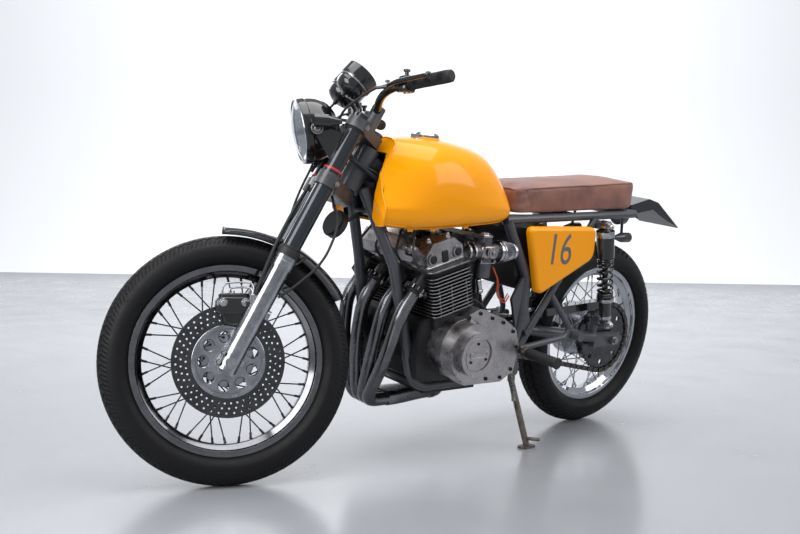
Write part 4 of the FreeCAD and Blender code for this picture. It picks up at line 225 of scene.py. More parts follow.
def tube(path, radius, count=20):
    """A tube round a path: its cross-section is carried along without twisting."""
    path = np.asarray(path, float)
    tangent = np.gradient(path, axis=0)
    tangent /= np.linalg.norm(tangent, axis=1)[:, None]
    normal = np.zeros_like(path)
    first = np.cross(tangent[0], [0.0, 0.0, 1.0] if abs(tangent[0][2]) < 0.9 else [1.0, 0.0, 0.0])
    normal[0] = unit(first)
    for i in range(1, len(path)):
        n = normal[i - 1] - tangent[i] * (normal[i - 1] @ tangent[i])
        normal[i] = unit(n)
    binormal = np.cross(tangent, normal)
    angle = full_turn(count)
    radius = np.broadcast_to(np.asarray(radius, float).reshape(-1, 1) if np.ndim(radius) else radius,
                             (len(path), 1))
    ring = (path[:, None] + radius[:, None] * (np.cos(angle)[None, :, None] * normal[:, None]
                                               + np.sin(angle)[None, :, None] * binormal[:, None]))
    return [grid(ring, close_columns=True), fan(ring[0], path[0], True), fan(ring[-1], path[-1])]


def hose(points, bend, radius, count):
    """A tube along a path whose corners are rounded off."""
    return tube(smooth_path(points, bend), radius, count)


def box(centre, axes, halves, soft=0.15):
    """A block with softened edges: a rounded cube stretched along three directions."""
    steps = np.array([-1.0, -1.0 + soft * 0.3, -1.0 + soft, 1.0 - soft, 1.0 - soft * 0.3, 1.0])
    chunks = []
    for axis in range(3):
        for sign in (-1, 1):
            a, b = np.meshgrid(steps, steps, indexing="ij")
            cube = np.zeros(a.shape + (3,))
            cube[..., axis] = sign
            cube[..., (axis + 1) % 3] = a if sign > 0 else b
            cube[..., (axis + 2) % 3] = b if sign > 0 else a
            core = np.clip(cube, -1 + soft, 1 - soft)
            edge = cube - core
            size = np.linalg.norm(edge, axis=-1, keepdims=True)
            cube = core + edge / np.maximum(size, 1e-9) * soft
            place = np.asarray(centre, float) + (cube * np.asarray(halves, float)) @ np.asarray(axes, float)
            points, faces = grid(place)
            chunks.append((points, faces[:, ::-1]))
    return chunks


def hex_head(at, axis, size, height, spin=0.0):
    """A bolt head: a six-sided prism with a chamfered top and a round washer."""
    profile = [(0.0, 0.0), (1.0, 0.0), (1.0, 0.8), (0.82, 1.0), (0.0, 1.0)]
    chunk = lathe([(r * size, h * height) for r, h in profile], 6)
    washer = lathe([(0, 0), (size * 1.18, 0), (size * 1.18, height * 0.18), (0, height * 0.18)], 20)
    return [aimed(chunk, at, axis, spin), aimed(washer, at, axis)]


def socket_head(at, axis, size, height):
    """A round bolt head with a six-sided hollow in its face."""
    outer = lathe([(size, 0), (size, height * 0.85), (size * 0.9, height), (size * 0.6, height)], 18)
    hollow = lathe([(size * 0.6, height), (size * 0.5, height * 0.4), (0, height * 0.4)], 18)
    return [aimed(outer, at, axis), aimed(hollow, at, axis)]


def loose(chunks):
    """The chunks of nested lists, one after another."""
    out = []
    for chunk in chunks:
        if isinstance(chunk, list):
            out.extend(loose(chunk))
        else:
            out.append(chunk)
    return out


def outward(item):
    """The chunks of one closed item, turned over if the volume they enclose is negative."""
    chunks = loose([item])
    middle = np.vstack([c[0] for c in chunks]).mean(0)
    volume = 0.0
    for points, faces in chunks:
        corner = points - middle
        for k in range(1, faces.shape[1] - 1):
            a, b, c = corner[faces[:, 0]], corner[faces[:, k]], corner[faces[:, k + 1]]
            volume += np.einsum("ij,ij->i", a, np.cross(b, c)).sum()
    return chunks if volume >= 0 else [(points, faces[:, ::-1]) for points, faces in chunks]


def make(name, chunks, body, material, place=None, sharp=32):
    """One mesh object of many chunks, placed and, if a body is named, tied to it."""
    if place is None:
        place = steered if body in ("steering", "front_wheel") else upright
    chunks = loose([outward(item) for item in chunks])
    points = place(np.vstack([c[0] for c in chunks]))
    offsets = np.cumsum([0] + [len(c[0]) for c in chunks[:-1]])
    loops = np.concatenate([(c[1] + o).ravel() for c, o in zip(chunks, offsets)])
    totals = np.concatenate([np.full(len(c[1]), c[1].shape[1]) for c in chunks])
    mesh = bpy.data.meshes.new(name)
    mesh.vertices.add(len(points))
    mesh.vertices.foreach_set("co", points.astype(np.float32).ravel())
    mesh.loops.add(len(loops))
    mesh.loops.foreach_set("vertex_index", loops.astype(np.int32))
    mesh.polygons.add(len(totals))
    mesh.polygons.foreach_set("loop_start", (np.cumsum(totals) - totals).astype(np.int32))
    mesh.polygons.foreach_set("loop_total", totals.astype(np.int32))
    mesh.update(calc_edges=True)
    mesh.validate()
    mesh.shade_smooth()
    mesh.set_sharp_from_angle(angle=math.radians(sharp))
    obj = bpy.data.objects.new(name, mesh)
    bpy.context.scene.collection.objects.link(obj)
    obj.data.materials.append(material)
    if body:
        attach(obj, body)
    made[name] = int((totals - 2).sum())
    return obj


made = {}
print("helpers ready")

# %% [markdown]
# ## Finishes
# Each finish is one node setup. Noise in object coordinates varies the roughness and
# the tone a little, and a second noise gives a fine relief, so that large plain areas
# look worn and not like plastic. Constant values sit straight on the shader's sockets.

# %% Materials
def set_values(node, values):
    """Constant values for a shader node's sockets, by their names."""
    for socket, value in values.items():
        node.inputs[socket].default_value = value


def finish(name, colour, rough, metal=0.0, coat=0.0, vary=0.0, scale=18.0, tone=0.0, relief=0.0,
           relief_scale=220.0, tint=None, specular=0.5, sheen=0.0):
    """A procedural finish: roughness and tone follow noise, and relief is a fine bump."""
    material = bpy.data.materials.new(name)
    material.use_nodes = True
    tree = material.node_tree
    shader = tree.nodes["Principled BSDF"]
    set_values(shader, {"Base Color": (*colour, 1), "Roughness": rough, "Metallic": metal,
                        "Coat Weight": coat, "Coat Roughness": 0.04, "Specular IOR Level": specular,
                        "Sheen Weight": sheen})
    place = tree.nodes.new("ShaderNodeTexCoord").outputs["Object"]
    if vary or tone:
        noise = tree.nodes.new("ShaderNodeTexNoise")
        set_values(noise, {"Scale": scale, "Detail": 6, "Roughness": 0.62})
        tree.links.new(place, noise.inputs["Vector"])
    if vary:
        spread = tree.nodes.new("ShaderNodeMapRange")
        set_values(spread, {"From Min": 0.3, "From Max": 0.72, "To Min": max(0.0, rough - vary),
                            "To Max": min(1.0, rough + vary)})
        tree.links.new(noise.outputs["Fac"], spread.inputs["Value"])
        tree.links.new(spread.outputs["Result"], shader.inputs["Roughness"])
    if tone:
        mix = tree.nodes.new("ShaderNodeMix")
        mix.data_type = "RGBA"
        shade = tint or tuple(c * (1 - tone) for c in colour)
        mix.inputs["A"].default_value = (*shade, 1)
        mix.inputs["B"].default_value = (*colour, 1)
        level = tree.nodes.new("ShaderNodeMapRange")
        set_values(level, {"From Min": 0.35, "From Max": 0.62})
        tree.links.new(noise.outputs["Fac"], level.inputs["Value"])
        tree.links.new(level.outputs["Result"], mix.inputs["Factor"])
        tree.links.new(mix.outputs["Result"], shader.inputs["Base Color"])
    if relief:
        grain = tree.nodes.new("ShaderNodeTexNoise")
        set_values(grain, {"Scale": relief_scale, "Detail": 3})
        bump = tree.nodes.new("ShaderNodeBump")
        set_values(bump, {"Strength": relief, "Distance": 0.001})
        tree.links.new(place, grain.inputs["Vector"])
        tree.links.new(grain.outputs["Fac"], bump.inputs["Height"])
        tree.links.new(bump.outputs["Normal"], shader.inputs["Normal"])
    return material


tank_paint = finish("tank_paint", (1.0, 0.36, 0.0), 0.22, coat=0.4, vary=0.03, specular=0.12)
frame_paint = finish("frame_paint", (0.062, 0.065, 0.076), 0.36, coat=0.25, vary=0.1, tone=0.25)
black_paint = finish("black_paint", (0.008, 0.008, 0.009), 0.14, coat=0.6, vary=0.05)
fork_black = finish("fork_black", (0.03, 0.034, 0.042), 0.16, metal=0.6, coat=0.5, vary=0.05)
polished = finish("polished_alloy", (0.4, 0.41, 0.44), 0.22, metal=1.0, vary=0.12, scale=26, tone=0.3,
                  relief=0.05)
cast_alloy = finish("cast_alloy", (0.3, 0.29, 0.3), 0.42, metal=0.9, vary=0.14, scale=14, tone=0.45,
                    relief=0.3)
cover_alloy = finish("cover_alloy", (0.42, 0.4, 0.41), 0.3, metal=1.0, vary=0.13, scale=22, tone=0.35,
                     relief=0.08)
dark_alloy = finish("dark_alloy", (0.14, 0.14, 0.15), 0.45, metal=0.85, vary=0.15, scale=24, tone=0.4,
                    relief=0.25)
engine_black = finish("engine_black", (0.02, 0.02, 0.022), 0.46, metal=0.35, vary=0.15, tone=0.35,
                      relief=0.35)
chrome = finish("chrome", (0.5, 0.51, 0.54), 0.07, metal=1.0, vary=0.05, scale=30, tone=0.12)
worn_chrome = finish("worn_chrome", (0.55, 0.55, 0.58), 0.18, metal=1.0, vary=0.12, scale=40, tone=0.4)
graphite = finish("graphite", (0.2, 0.2, 0.215), 0.25, metal=0.95, vary=0.1, scale=16, tone=0.3,
                  relief=0.05)
leather = finish("leather", (0.26, 0.105, 0.068), 0.46, vary=0.12, scale=9, tone=0.38,
                 tint=(0.15, 0.052, 0.036), relief=0.45, relief_scale=420, sheen=0.15)
tyre_rubber = finish("tyre_rubber", (0.0065, 0.0065, 0.0072), 0.5, vary=0.12, scale=30, relief=0.25,
                     relief_scale=300, specular=0.22)
rubber = finish("rubber", (0.014, 0.014, 0.015), 0.62, vary=0.1, relief=0.25)
plastic = finish("plastic", (0.014, 0.014, 0.015), 0.4, vary=0.08, relief=0.1)
chain_steel = finish("chain_steel", (0.13, 0.12, 0.11), 0.42, metal=0.9, vary=0.15, scale=90, tone=0.5)
disc_steel = finish("disc_steel", (0.095, 0.095, 0.1), 0.3, metal=1.0, vary=0.1, scale=30, tone=0.25)
steel = finish("steel", (0.42, 0.41, 0.4), 0.3, metal=1.0, vary=0.14, scale=70, tone=0.4)
rusty = finish("rusty", (0.2, 0.185, 0.175), 0.5, metal=0.7, vary=0.2, scale=60, tone=0.5,
               tint=(0.105, 0.065, 0.045))
red_paint = finish("red_paint", (0.55, 0.02, 0.02), 0.25, coat=0.5)
number_grey = finish("number_grey", (0.11, 0.11, 0.12), 0.3, coat=0.4)
gold = finish("gold", (0.45, 0.28, 0.1), 0.3, metal=1.0, vary=0.1)
dial_black = finish("dial_black", (0.006, 0.006, 0.007), 0.45)
dial_white = finish("dial_white", (0.7, 0.7, 0.68), 0.5)
amber_glass = finish("amber_glass", (0.55, 0.13, 0.01), 0.12, coat=0.8)
red_glass = finish("red_glass", (0.42, 0.008, 0.008), 0.12, coat=0.8)

glass = bpy.data.materials.new("glass")
glass.use_nodes = True
set_values(glass.node_tree.nodes["Principled BSDF"],
           {"Base Color": (0.96, 0.98, 1.0, 1), "Roughness": 0.02, "Transmission Weight": 1.0, "IOR": 1.18})
print("finishes", len(bpy.data.materials))

# %% [markdown]
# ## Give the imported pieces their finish
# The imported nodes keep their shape. Only their material changes here. Every node that
# the list doesn't name is painted black.

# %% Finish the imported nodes
finished_alike = [(frame_paint, "frame_spine frame_cradles frame_tail swing_arm stand_clevis"),
                  (engine_black, "crankcase cylinder_block cylinder_head"),
                  (cover_alloy, "cam_cover generator_cover rear_axle"), (cast_alloy, "clutch_cover"),
                  (dark_alloy, "carburettors yokes"), (polished, "front_hub rear_hub fork_sliders"),
                  (chrome, "front_rim rear_rim"), (worn_chrome, "air_filters fuel_cap front_axle"),
                  (graphite, "exhaust_headers silencer"), (tank_paint, "fuel_tank side_covers"),
                  (leather, "seat"), (plastic, "battery_box horn"), (rubber, "footpegs grips"),
                  (chain_steel, "chain"), (disc_steel, "front_disc rear_sprocket"),
                  (tyre_rubber, "front_tyre rear_tyre"), (fork_black, "fork_tubes"),
                  (rusty, "side_stand"), (glass, "headlight_lens")]
node_finish = {name: material for material, names in finished_alike for name in names.split()}
for name, node in nodes.items():
    node.data.materials.clear()
    node.data.materials.append(node_finish.get(name, black_paint))
    node.data.set_sharp_from_angle(angle=math.radians(30))
print("finished nodes", len(nodes))

# %% [markdown]
# ## Tyres
# A tyre is a closed section carried round the axle. Along the section the tread is an
# arc; round the wheel the angle gives the place in the repeated pattern. Each groove
# lowers the surface along its normal by a depth that depends on both parameters.

# %% Tyres
def triangle_wave(u):
    """A zigzag between -1 and 1 with period 1."""
    return 4 * np.abs(u - np.floor(u + 0.5)) - 1


def groove(distance, half_width):
    """One inside a groove and zero outside, with sloping walls."""
    return np.clip((half_width - np.abs(distance)) / (half_width * 0.45) + 0.5, 0, 1)


def road_tread(w, u):
    """Depth in mm: zigzag grooves along the tyre, short slanted cuts between them."""
    inner = groove(np.abs(w) - 9.0 - 2.4 * triangle_wave(u + 0.25 * np.sign(w)), 2.0)
    outer = groove(np.abs(w) - 27.0 - 2.8 * triangle_wave(u + 0.5 + 0.25 * np.sign(w)), 2.2)
    cuts = groove((u * 2 + w / 30) % 1 - 0.5, 0.1) * groove(np.abs(w) - 18, 6.5)
    middle = groove((u * 2 - w / 22) % 1 - 0.5, 0.1) * groove(w, 5.5)
    flank = groove((u * 2 + np.abs(w) / 26) % 1 - 0.5, 0.13) * groove(np.abs(w) - 43, 9.5)
    return np.maximum.reduce([inner * 4.6, outer * 4.6, cuts * 1.6, middle * 1.2, flank * 2.6])


def block_tread(w, u):
    """Depth in mm: two zigzag grooves joined by slanted channels that part the blocks."""
    inner = groove(np.abs(w) - 11.0 - 3.0 * triangle_wave(u + 0.25 * np.sign(w)), 2.3)
    outer = groove(np.abs(w) - 33.0 - 3.4 * triangle_wave(u + 0.5 + 0.25 * np.sign(w)), 2.3)
    channels = groove((u + np.abs(w) / 44) % 1 - 0.5, 0.085) * groove(np.abs(w) - 22, 10.5)
    middle = groove((u * 2 - w / 24) % 1 - 0.5, 0.09) * groove(w, 7.5)
    flank = groove((u + np.abs(w) / 34) % 1 - 0.5, 0.11) * groove(np.abs(w) - 50, 12)
    return np.maximum.reduce([inner * 5, outer * 5, channels * 4, middle * 1.4, flank * 3.2])


def tyre_surface(centre, radius, half, lip, foot, tread, periods, count):
    """Points on a grid: rows go round the wheel, columns go round the section."""
    middle = radius - half
    fine = np.radians(np.linspace(-66, 66, 74))
    side = np.radians(np.array([90, 85, 80, 75, 71, 68]))
    theta = np.concatenate([-side, fine, side[::-1]])
    r = middle + half * np.cos(theta)
    y = half * np.sin(theta)
    down = np.linspace(0.93, 0, 12) ** 1.4
    wall_r = lip + (middle - lip) * down
    wall_y = foot + (half - foot) * np.sin(down * math.pi / 2) ** 0.72
    ridge = 0.0011 * np.exp(-((down - 0.22) / 0.045) ** 2) + 0.0006 * np.exp(-((down - 0.8) / 0.03) ** 2)
    wall_y = wall_y + ridge
    bead_r = np.array([lip - 0.01, lip - 0.01])
    bead_y = np.array([foot - 0.001, -(foot - 0.001)])
    r = np.concatenate([r, wall_r, bead_r, wall_r[::-1]])
    y = np.concatenate([y, wall_y, bead_y, -wall_y[::-1]])
    angle = full_turn(count)[:, None]
    depth = np.zeros((count, len(r)))
    depth[:, :len(theta)] = tread(theta[None] * half * 1000, angle / math.tau * periods) / 1000
    normal_r = np.zeros(len(r))
    normal_y = np.zeros(len(r))
    normal_r[:len(theta)], normal_y[:len(theta)] = np.cos(theta), np.sin(theta)
    rr = r[None] - depth * normal_r
    yy = y[None] - depth * normal_y
    return centre + np.stack([rr * np.cos(angle), yy, rr * np.sin(angle)], -1)


def at_wheel(centre):
    """Returns a placer that sets a piece drawn about Z onto a wheel's axle line."""
    return lambda chunk: (centre + chunk[0][:, [0, 2, 1]] * np.array([1, 1, 1]), chunk[1][:, ::-1])


on_front, on_rear = at_wheel(front_centre), at_wheel(rear_centre)
TYRE_STEPS = 640
front_grid = tyre_surface(front_centre, FRONT_RADIUS, 0.05, 0.2545, 0.0298, road_tread, 80, TYRE_STEPS)
front_tyre = make("front_tyre_tread", [grid(front_grid, True, True)], "front_wheel", tyre_rubber,
                  sharp=50)
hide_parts("front_tyre")
rear_grid = tyre_surface(rear_centre, REAR_RADIUS, 0.058, 0.242, 0.0338, block_tread, 64, TYRE_STEPS)
rear_tyre = make("rear_tyre_tread", [grid(rear_grid, True, True)], "rear_wheel", tyre_rubber,
                 sharp=50)
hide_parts("rear_tyre")
print("tyres", made["front_tyre_tread"], made["rear_tyre_tread"])

# %% [markdown]
# ## Rims, spokes and hubs
# A rim is a rounded outline turned about the axle. A spoke runs from the hub's flange to
# its rim hole, with its nipple at the rim. The spokes lean forward and back in turn.

# %% Rims and spokes
def rounded(profile, radius, closed=False, steps=4):
    """Replaces each corner of an outline by a curve that starts a radius away from it."""
    profile = [np.asarray(p, float) for p in profile]
    count = len(profile)
    out = []
    for i, corner in enumerate(profile):
        if not closed and i in (0, count - 1):
            out.append(corner)
            continue
        before, after = profile[i - 1], profile[(i + 1) % count]
        reach = min(radius, 0.45 * np.linalg.norm(before - corner), 0.45 * np.linalg.norm(after - corner))
        if reach < 1e-9:
            out.append(corner)
            continue
        a, b = corner + unit(before - corner) * reach, corner + unit(after - corner) * reach
        for t in np.linspace(0, 1, steps + 1):
            out.append((1 - t) ** 2 * a + 2 * t * (1 - t) * corner + t ** 2 * b)
    return np.array(out)


def turned_ring(profile, count=136):
    """A closed outline of radius and side, turned about the axle line Z."""
    angle = full_turn(count)[:, None]
    r, y = profile[:, 0][None], profile[:, 1][None]
    points = np.stack([r * np.cos(angle), r * np.sin(angle), y + 0 * angle], -1)
    return grid(points, close_rows=True, close_columns=True)


def plain_ring(inner, outer, low, high, soft, count=136, steps=4):
    """A turned ring of square section between two radii and two heights, with soft corners."""
    outline = [(inner, low), (inner, high), (outer, high), (outer, low)]
    return turned_ring(rounded(outline, soft, closed=True, steps=steps), count)


def plain_disc(radius, height, soft, count, low=0):
    """A turned disc with a soft edge, from a low height to a high one."""
    return lathe(rounded([(0, low), (radius, low), (radius, height), (0, height)], soft), count)


def rim_outline(bead, flange, width, well_depth=0.017, wall=0.0032, well_half=0.012):
    """The section of a drop-centre rim with two rolled flanges."""
    half = width / 2
    seat = half * 0.62
    well = bead - well_depth
    outer = [(bead + flange, half), (bead + flange, half - wall), (bead, half - wall), (bead, seat),
             (well, well_half)]
    inner = [(well - wall, well_half), (bead - wall, seat + wall / 2), (bead - wall, half)]
    profile = outer + [(r, -y) for r, y in reversed(outer)] + [(r, -y) for r, y in reversed(inner)] + inner
    return rounded(profile, 0.0022, closed=True)


def spokes(hub_circle, flange_place, thickness, well_radius, count=40, lead_deg=52.0, radius=0.0019):
    """Straight spokes with nipples, drawn about the axle line Z."""
    chunks, nipples = [], []
    for index in range(count):
        side = 1 if index % 2 else -1
        lead = 1 if (index // 2) % 2 else -1
        rim_angle = index * math.tau / count
        hub_angle = rim_angle + lead * math.radians(lead_deg)
        start = np.array([hub_circle * math.cos(hub_angle), hub_circle * math.sin(hub_angle),
                          side * (flange_place + lead * thickness / 2)])
        end = np.array([well_radius * math.cos(rim_angle), well_radius * math.sin(rim_angle), side * 0.006])
        along = unit(end - start)
        length = np.linalg.norm(end - start)
        chunks.append(lathed([(0, 0), (radius, 0), (radius, length), (0, length)], 10, start, along))
        head = plain_disc(radius * 2, 0.0015, 0.001, 10, low=-0.002)
        chunks.append(aimed(head, start, [0, 0, side * lead]))
        nipples.append(lathed([(0, 0), (0.003, 0), (0.0034, 0.002), (0.0034, 0.013), (0.0046, 0.0155),
                               (0, 0.0155)], 10, end - along * 0.0145, along))
    return chunks, nipples


spoke_black = finish("spoke_black", (0.035, 0.036, 0.04), 0.3, metal=0.7, vary=0.08)
rim_dark = finish("rim_dark", (0.2, 0.2, 0.215), 0.1, metal=1.0, vary=0.05, scale=30, tone=0.25)
RIM_FLANGE = 0.0135
front_section = turned_ring(rim_outline(0.241, RIM_FLANGE, 0.066))
rear_section = turned_ring(rim_outline(0.2285, RIM_FLANGE, 0.074))
front_rim = make("front_rim_turned", [on_front(front_section)], "front_wheel", rim_dark)
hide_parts("front_rim")
rear_rim = make("rear_rim_turned", [on_rear(rear_section)], "rear_wheel", chrome)
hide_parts("rear_rim")

front_spokes, front_nipples = spokes(0.063, 0.032, 0.006, 0.2201)
rear_spokes, rear_nipples = spokes(0.089, 0.036, 0.006, 0.2076)
make("front_spokes", [on_front(c) for c in front_spokes], "front_wheel", spoke_black)
make("front_nipples", [on_front(c) for c in front_nipples], "front_wheel", spoke_black)
make("rear_spokes", [on_rear(c) for c in rear_spokes], "rear_wheel", worn_chrome)
make("rear_nipples", [on_rear(c) for c in rear_nipples], "rear_wheel", worn_chrome)

hub_profile = rounded([(0.009, 0.0515), (0.044, 0.0515), (0.044, 0.04), (0.033, 0.04), (0.031, 0.036),
                       (0.07, 0.035), (0.07, 0.029), (0.036, 0.028), (0.031, 0.02), (0.031, -0.02),
                       (0.036, -0.028), (0.07, -0.029), (0.07, -0.035), (0.033, -0.036), (0.033, -0.04),
                       (0.009, -0.04)], 0.0016, closed=True)
front_hub = make("front_hub_turned", [on_front(turned_ring(hub_profile[::-1], 96))], "front_wheel",
                 polished)
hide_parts("front_hub")

# %% [markdown]
# ## Drilled brake disc
# The band is made of cells. Each cell is a small sector with a round hole: its outer
# edge follows the sector and its inner edge the circle, point by point. The rows of
# cells are shifted, so the holes stand in slanted rows.

# %% Brake disc
def holed_ring(inner, outer, count, hole, thickness, shift=0.0, chamfer=0.0005, place=None):
    """A flat ring with one round hole in each of its sectors, drawn about Z."""
    steps = 8
    edge = np.linspace(-1, 1, steps, endpoint=False)
    square = np.concatenate([np.stack([edge, -np.ones(steps)], 1), np.stack([np.ones(steps), edge], 1),
                             np.stack([-edge, np.ones(steps)], 1), np.stack([-np.ones(steps), -edge], 1)])
    middle = (inner + outer) / 2 if place is None else place
    chunks = []
    z = thickness / 2
    for index in range(count):
        centre = (index + shift) * math.tau / count
        r = (inner + outer) / 2 + square[:, 1] * (outer - inner) / 2
        a = centre + square[:, 0] * math.pi / count
        rim = np.stack([r * np.cos(a), r * np.sin(a)], 1)
        hub = np.array([middle * math.cos(centre), middle * math.sin(centre)])
        way = rim - hub
        way /= np.linalg.norm(way, axis=1)[:, None]
        circle, lip = hub + way * hole, hub + way * (hole + chamfer)
        rings = [(rim, z), (lip, z), (circle, z - chamfer), (circle, chamfer - z), (lip, -z), (rim, -z)]
        points = np.array([np.column_stack([flat, np.full(len(flat), height)]) for flat, height in rings])
        chunks.append(grid(points, close_columns=True))
    for radius, outward in ((outer, True), (inner, False)):
        a = full_turn(count * steps)
        wall = np.array([np.stack([radius * np.cos(a), radius * np.sin(a), np.full(len(a), h)], 1)
                         for h in ((z, -z) if outward else (-z, z))])
        chunks.append(grid(wall, close_columns=True))
    return chunks


DISC_SIDE = 0.056


def on_disc(groups):
    """Closed groups of chunks drawn about Z, moved sideways to the disc and onto the wheel."""
    return [[on_front((points + np.array([0, 0, DISC_SIDE]), faces)) for points, faces in group]
            for group in groups]


band = []
for row, (low, high) in enumerate([(0.1035, 0.1165), (0.1165, 0.1295), (0.1295, 0.1425)]):
    band.append(holed_ring(low, high, 42, 0.0026, 0.006, shift=row / 3))
band += [[plain_ring(0.1425, 0.148, -0.003, 0.003, 0.0006)],
         [plain_ring(0.092, 0.1035, -0.003, 0.003, 0.0003)]]
disc = make("front_disc_band", on_disc(band), "front_wheel", disc_steel)
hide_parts("front_disc")
carrier = [holed_ring(0.046, 0.0845, 9, 0.0142, 0.009, chamfer=0.0022, place=0.0655)]
carrier += [[plain_ring(0.0125, 0.046, -0.0045, 0.0045, 0.0004, 96)]]
carrier += [[turned_ring(rounded([(0.0845, 0.0045), (0.088, 0.0055), (0.095, 0.0055), (0.097, 0.0042),
                                  (0.097, -0.0045), (0.0845, -0.0045)][::-1], 0.0012, closed=True), 120)]]
rivets = []
for index in range(9):
    for shift in (-2.4, 2.4):
        a = (index + 0.5) * math.tau / 9 + math.radians(shift)
        rivets.append(lathed([(0.0028, 0), (0.0024, 0.0006), (0.0013, 0.0009), (0, 0.001)], 12,
                             (0.0915 * math.cos(a), 0.0915 * math.sin(a), DISC_SIDE + 0.0055), [0, 0, 1]))
for index in range(6):
    a = index * math.tau / 6 + 0.2
    rivets += hex_head((0.033 * math.cos(a), 0.033 * math.sin(a), DISC_SIDE + 0.0045), [0, 0, 1], 0.0072,
                       0.0022, a)
make("front_disc_carrier", on_disc(carrier), "front_wheel", polished)
make("front_disc_rivets", [on_front(c) for c in rivets], "front_wheel", worn_chrome)
print("disc", made["front_disc_band"], made["front_disc_carrier"])

# %% [markdown]
# ## Fuel tank
# The tank is one skin. A ring of shares is swept through ten stations with natural cubic
# splines. Each line of the skin ends on the curved front edge, which is found by a few
# rounds of: height at the end, front edge at that height, station of that edge.

# %% Fuel tank
def spline(values, at):
    """Natural cubic spline through values at 0, 1, 2 and so on: its second derivatives
    solve m[i-1] + 4 m[i] + m[i+1] = 6 (v[i-1] - 2 v[i] + v[i+1])."""
    values = np.asarray(values, float)
    count = len(values)
    system = np.eye(count)
    bend = np.zeros_like(values)
    for i in range(1, count - 1):
        system[i, i - 1:i + 2] = (1, 4, 1)
        bend[i] = 6 * (values[i - 1] - 2 * values[i] + values[i + 1])
    second = np.linalg.solve(system, bend)
    low = np.clip(np.floor(at).astype(int), 0, count - 2)
    b = (np.asarray(at, float) - low)
    a = 1 - b
    curve = (a ** 3 - a) * second[low] + (b ** 3 - b) * second[low + 1]
    return a * values[low] + b * values[low + 1] + curve / 6


STATIONS = np.array([(574, 764, 800, 84, 0.45), (586, 750, 848, 110, 0.4), (612, 738, 888, 126, 0.36),
                     (662, 731, 929, 138, 0.28), (740, 725, 952, 147, 0.14), (840, 718, 964, 152, 0.06),
                     (930, 713, 963, 151, 0.08), (1000, 711, 958, 143, 0.3), (1050, 713, 950, 133, 0.62),
                     (1090, 718, 934, 122, 0.86)])
RING = np.array([(0, 0), (0.275, 0), (0.55, 0), (0.8, 0.012), (0.93, 0.05), (0.985, 0.12), (1, 0.2),
                 (1.005, 0.31), (1, 0.42), (0.94, 0.66), (0.72, 0.87), (0.38, 0.975), (0, 1)])
FRONT_EDGE = np.array([(600, 1066), (716, 1070), (732, 1086), (800, 1086), (862, 1076), (914, 1038),
                       (944, 1013), (990, 1000)])
WALL_MM = 3
k = np.linspace(0, 9, 400)
station_x = spline(STATIONS[:, 0], k)
edge_z = np.linspace(690, 990, 300)
edge_x = np.convolve(np.pad(np.interp(edge_z, FRONT_EDGE[:, 0], FRONT_EDGE[:, 1]), 8, mode="edge"),
                     np.ones(17) / 17, "valid")


def mouth_share(x):
    """Half width of the tunnel as a share of the tank's: wider round the steering head."""
    step = np.clip((x - 1000) / 10, 0, 1)
    return 0.31 + 0.24 * step * step * (3 - 2 * step)


def tunnel_roof(x):
    """Height of the tunnel's roof: along the backbone, then up over the steering head."""
    along = 767 + (x - 606) * 0.3113
    return np.where(x > 1005, np.interp(x, [1005, 1024, 1056, 1100], [880, 908, 925, 925]), along)


def tank_point(k, q, outer=True):
    """Points of the outside (q from the bottom to the top) or of the tunnel, in metres."""
    x, low, top, half, pinch = (spline(STATIONS[:, i], k) for i in range(5))
    share = mouth_share(x)
    if outer:
        at = share / 0.55 * 2 + (12 - share / 0.55 * 2) * q
        across, rise = spline(RING[:, 0], at), spline(RING[:, 1], at)
        drawn = np.maximum(0.0, rise - 0.25) / 0.75
        return np.stack([x, half * across * (1 - pinch * drawn), low + (top - low) * rise], -1) / 1000
    roof = np.minimum(tunnel_roof(x), low + 0.86 * (top - low))
    up_part, in_part = np.clip(q / 0.6, 0, 1), np.clip((q - 0.6) / 0.4, 0, 1)
    rise = (roof - low) * up_part / (top - low)
    drawn = np.maximum(0.0, rise - 0.25) / 0.75
    room = half * np.interp(rise, RING[6:, 1], RING[6:, 0]) * (1 - pinch * drawn) - WALL_MM
    return np.stack([x, np.minimum(half * share, room) * (1 - in_part), low + (roof - low) * up_part],
                    -1) / 1000


def tank_half(outer, rows=70, columns=48):
    """Rows from the rear to the front edge for one half of the skin."""
    q = np.linspace(0, 1, columns)
    last = np.full(columns, 9.0)
    for _ in range(14):
        height = tank_point(last, q, outer)[:, 2] * 1000
        last = 0.5 * last + 0.5 * np.interp(np.interp(height, edge_z, edge_x), station_x, k)
    u = np.linspace(0, 1, rows)[:, None]
    return tank_point(u * last[None], np.broadcast_to(q, (rows, columns)), outer)


mirror = np.array([1, -1, 1])
shell_half, tunnel_half = tank_half(True), tank_half(False)
outer_chain = np.concatenate([shell_half, (shell_half * mirror)[:, ::-1][:, 1:]], 1)
inner_chain = np.concatenate([tunnel_half, (tunnel_half * mirror)[:, ::-1][:, 1:]], 1)
skin = grid(np.concatenate([outer_chain, inner_chain[:, ::-1][:, 1:-1]], 1), close_columns=True)
front_cap = grid(np.stack([outer_chain[-1], inner_chain[-1]]))
rear_cap = grid(np.stack([inner_chain[0], outer_chain[0]]))
tank = make("tank_skin", [[skin, front_cap, rear_cap]], "chassis", tank_paint, sharp=50)
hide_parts("fuel_tank")
tank.data.materials.append(plastic)
columns = outer_chain.shape[1] + inner_chain.shape[1] - 2
column = np.arange(len(skin[1])) % columns
inside = np.zeros(len(tank.data.polygons), np.int32)
inside[:len(column)] = column >= outer_chain.shape[1]
tank.data.polygons.foreach_set("material_index", inside)
bead = tube(outer_chain[-1][::2] - [0.0008, 0, 0], 0.0026, 10)
seam_left, seam_right = shell_half[3:, 9], (shell_half * mirror)[3:, 9]
seams = [tube(line - [0, 0, 0.001], 0.0019, 8) for line in (seam_left, seam_right)]
make("tank_lip", [bead] + seams, "chassis", tank_paint)
tabs = []
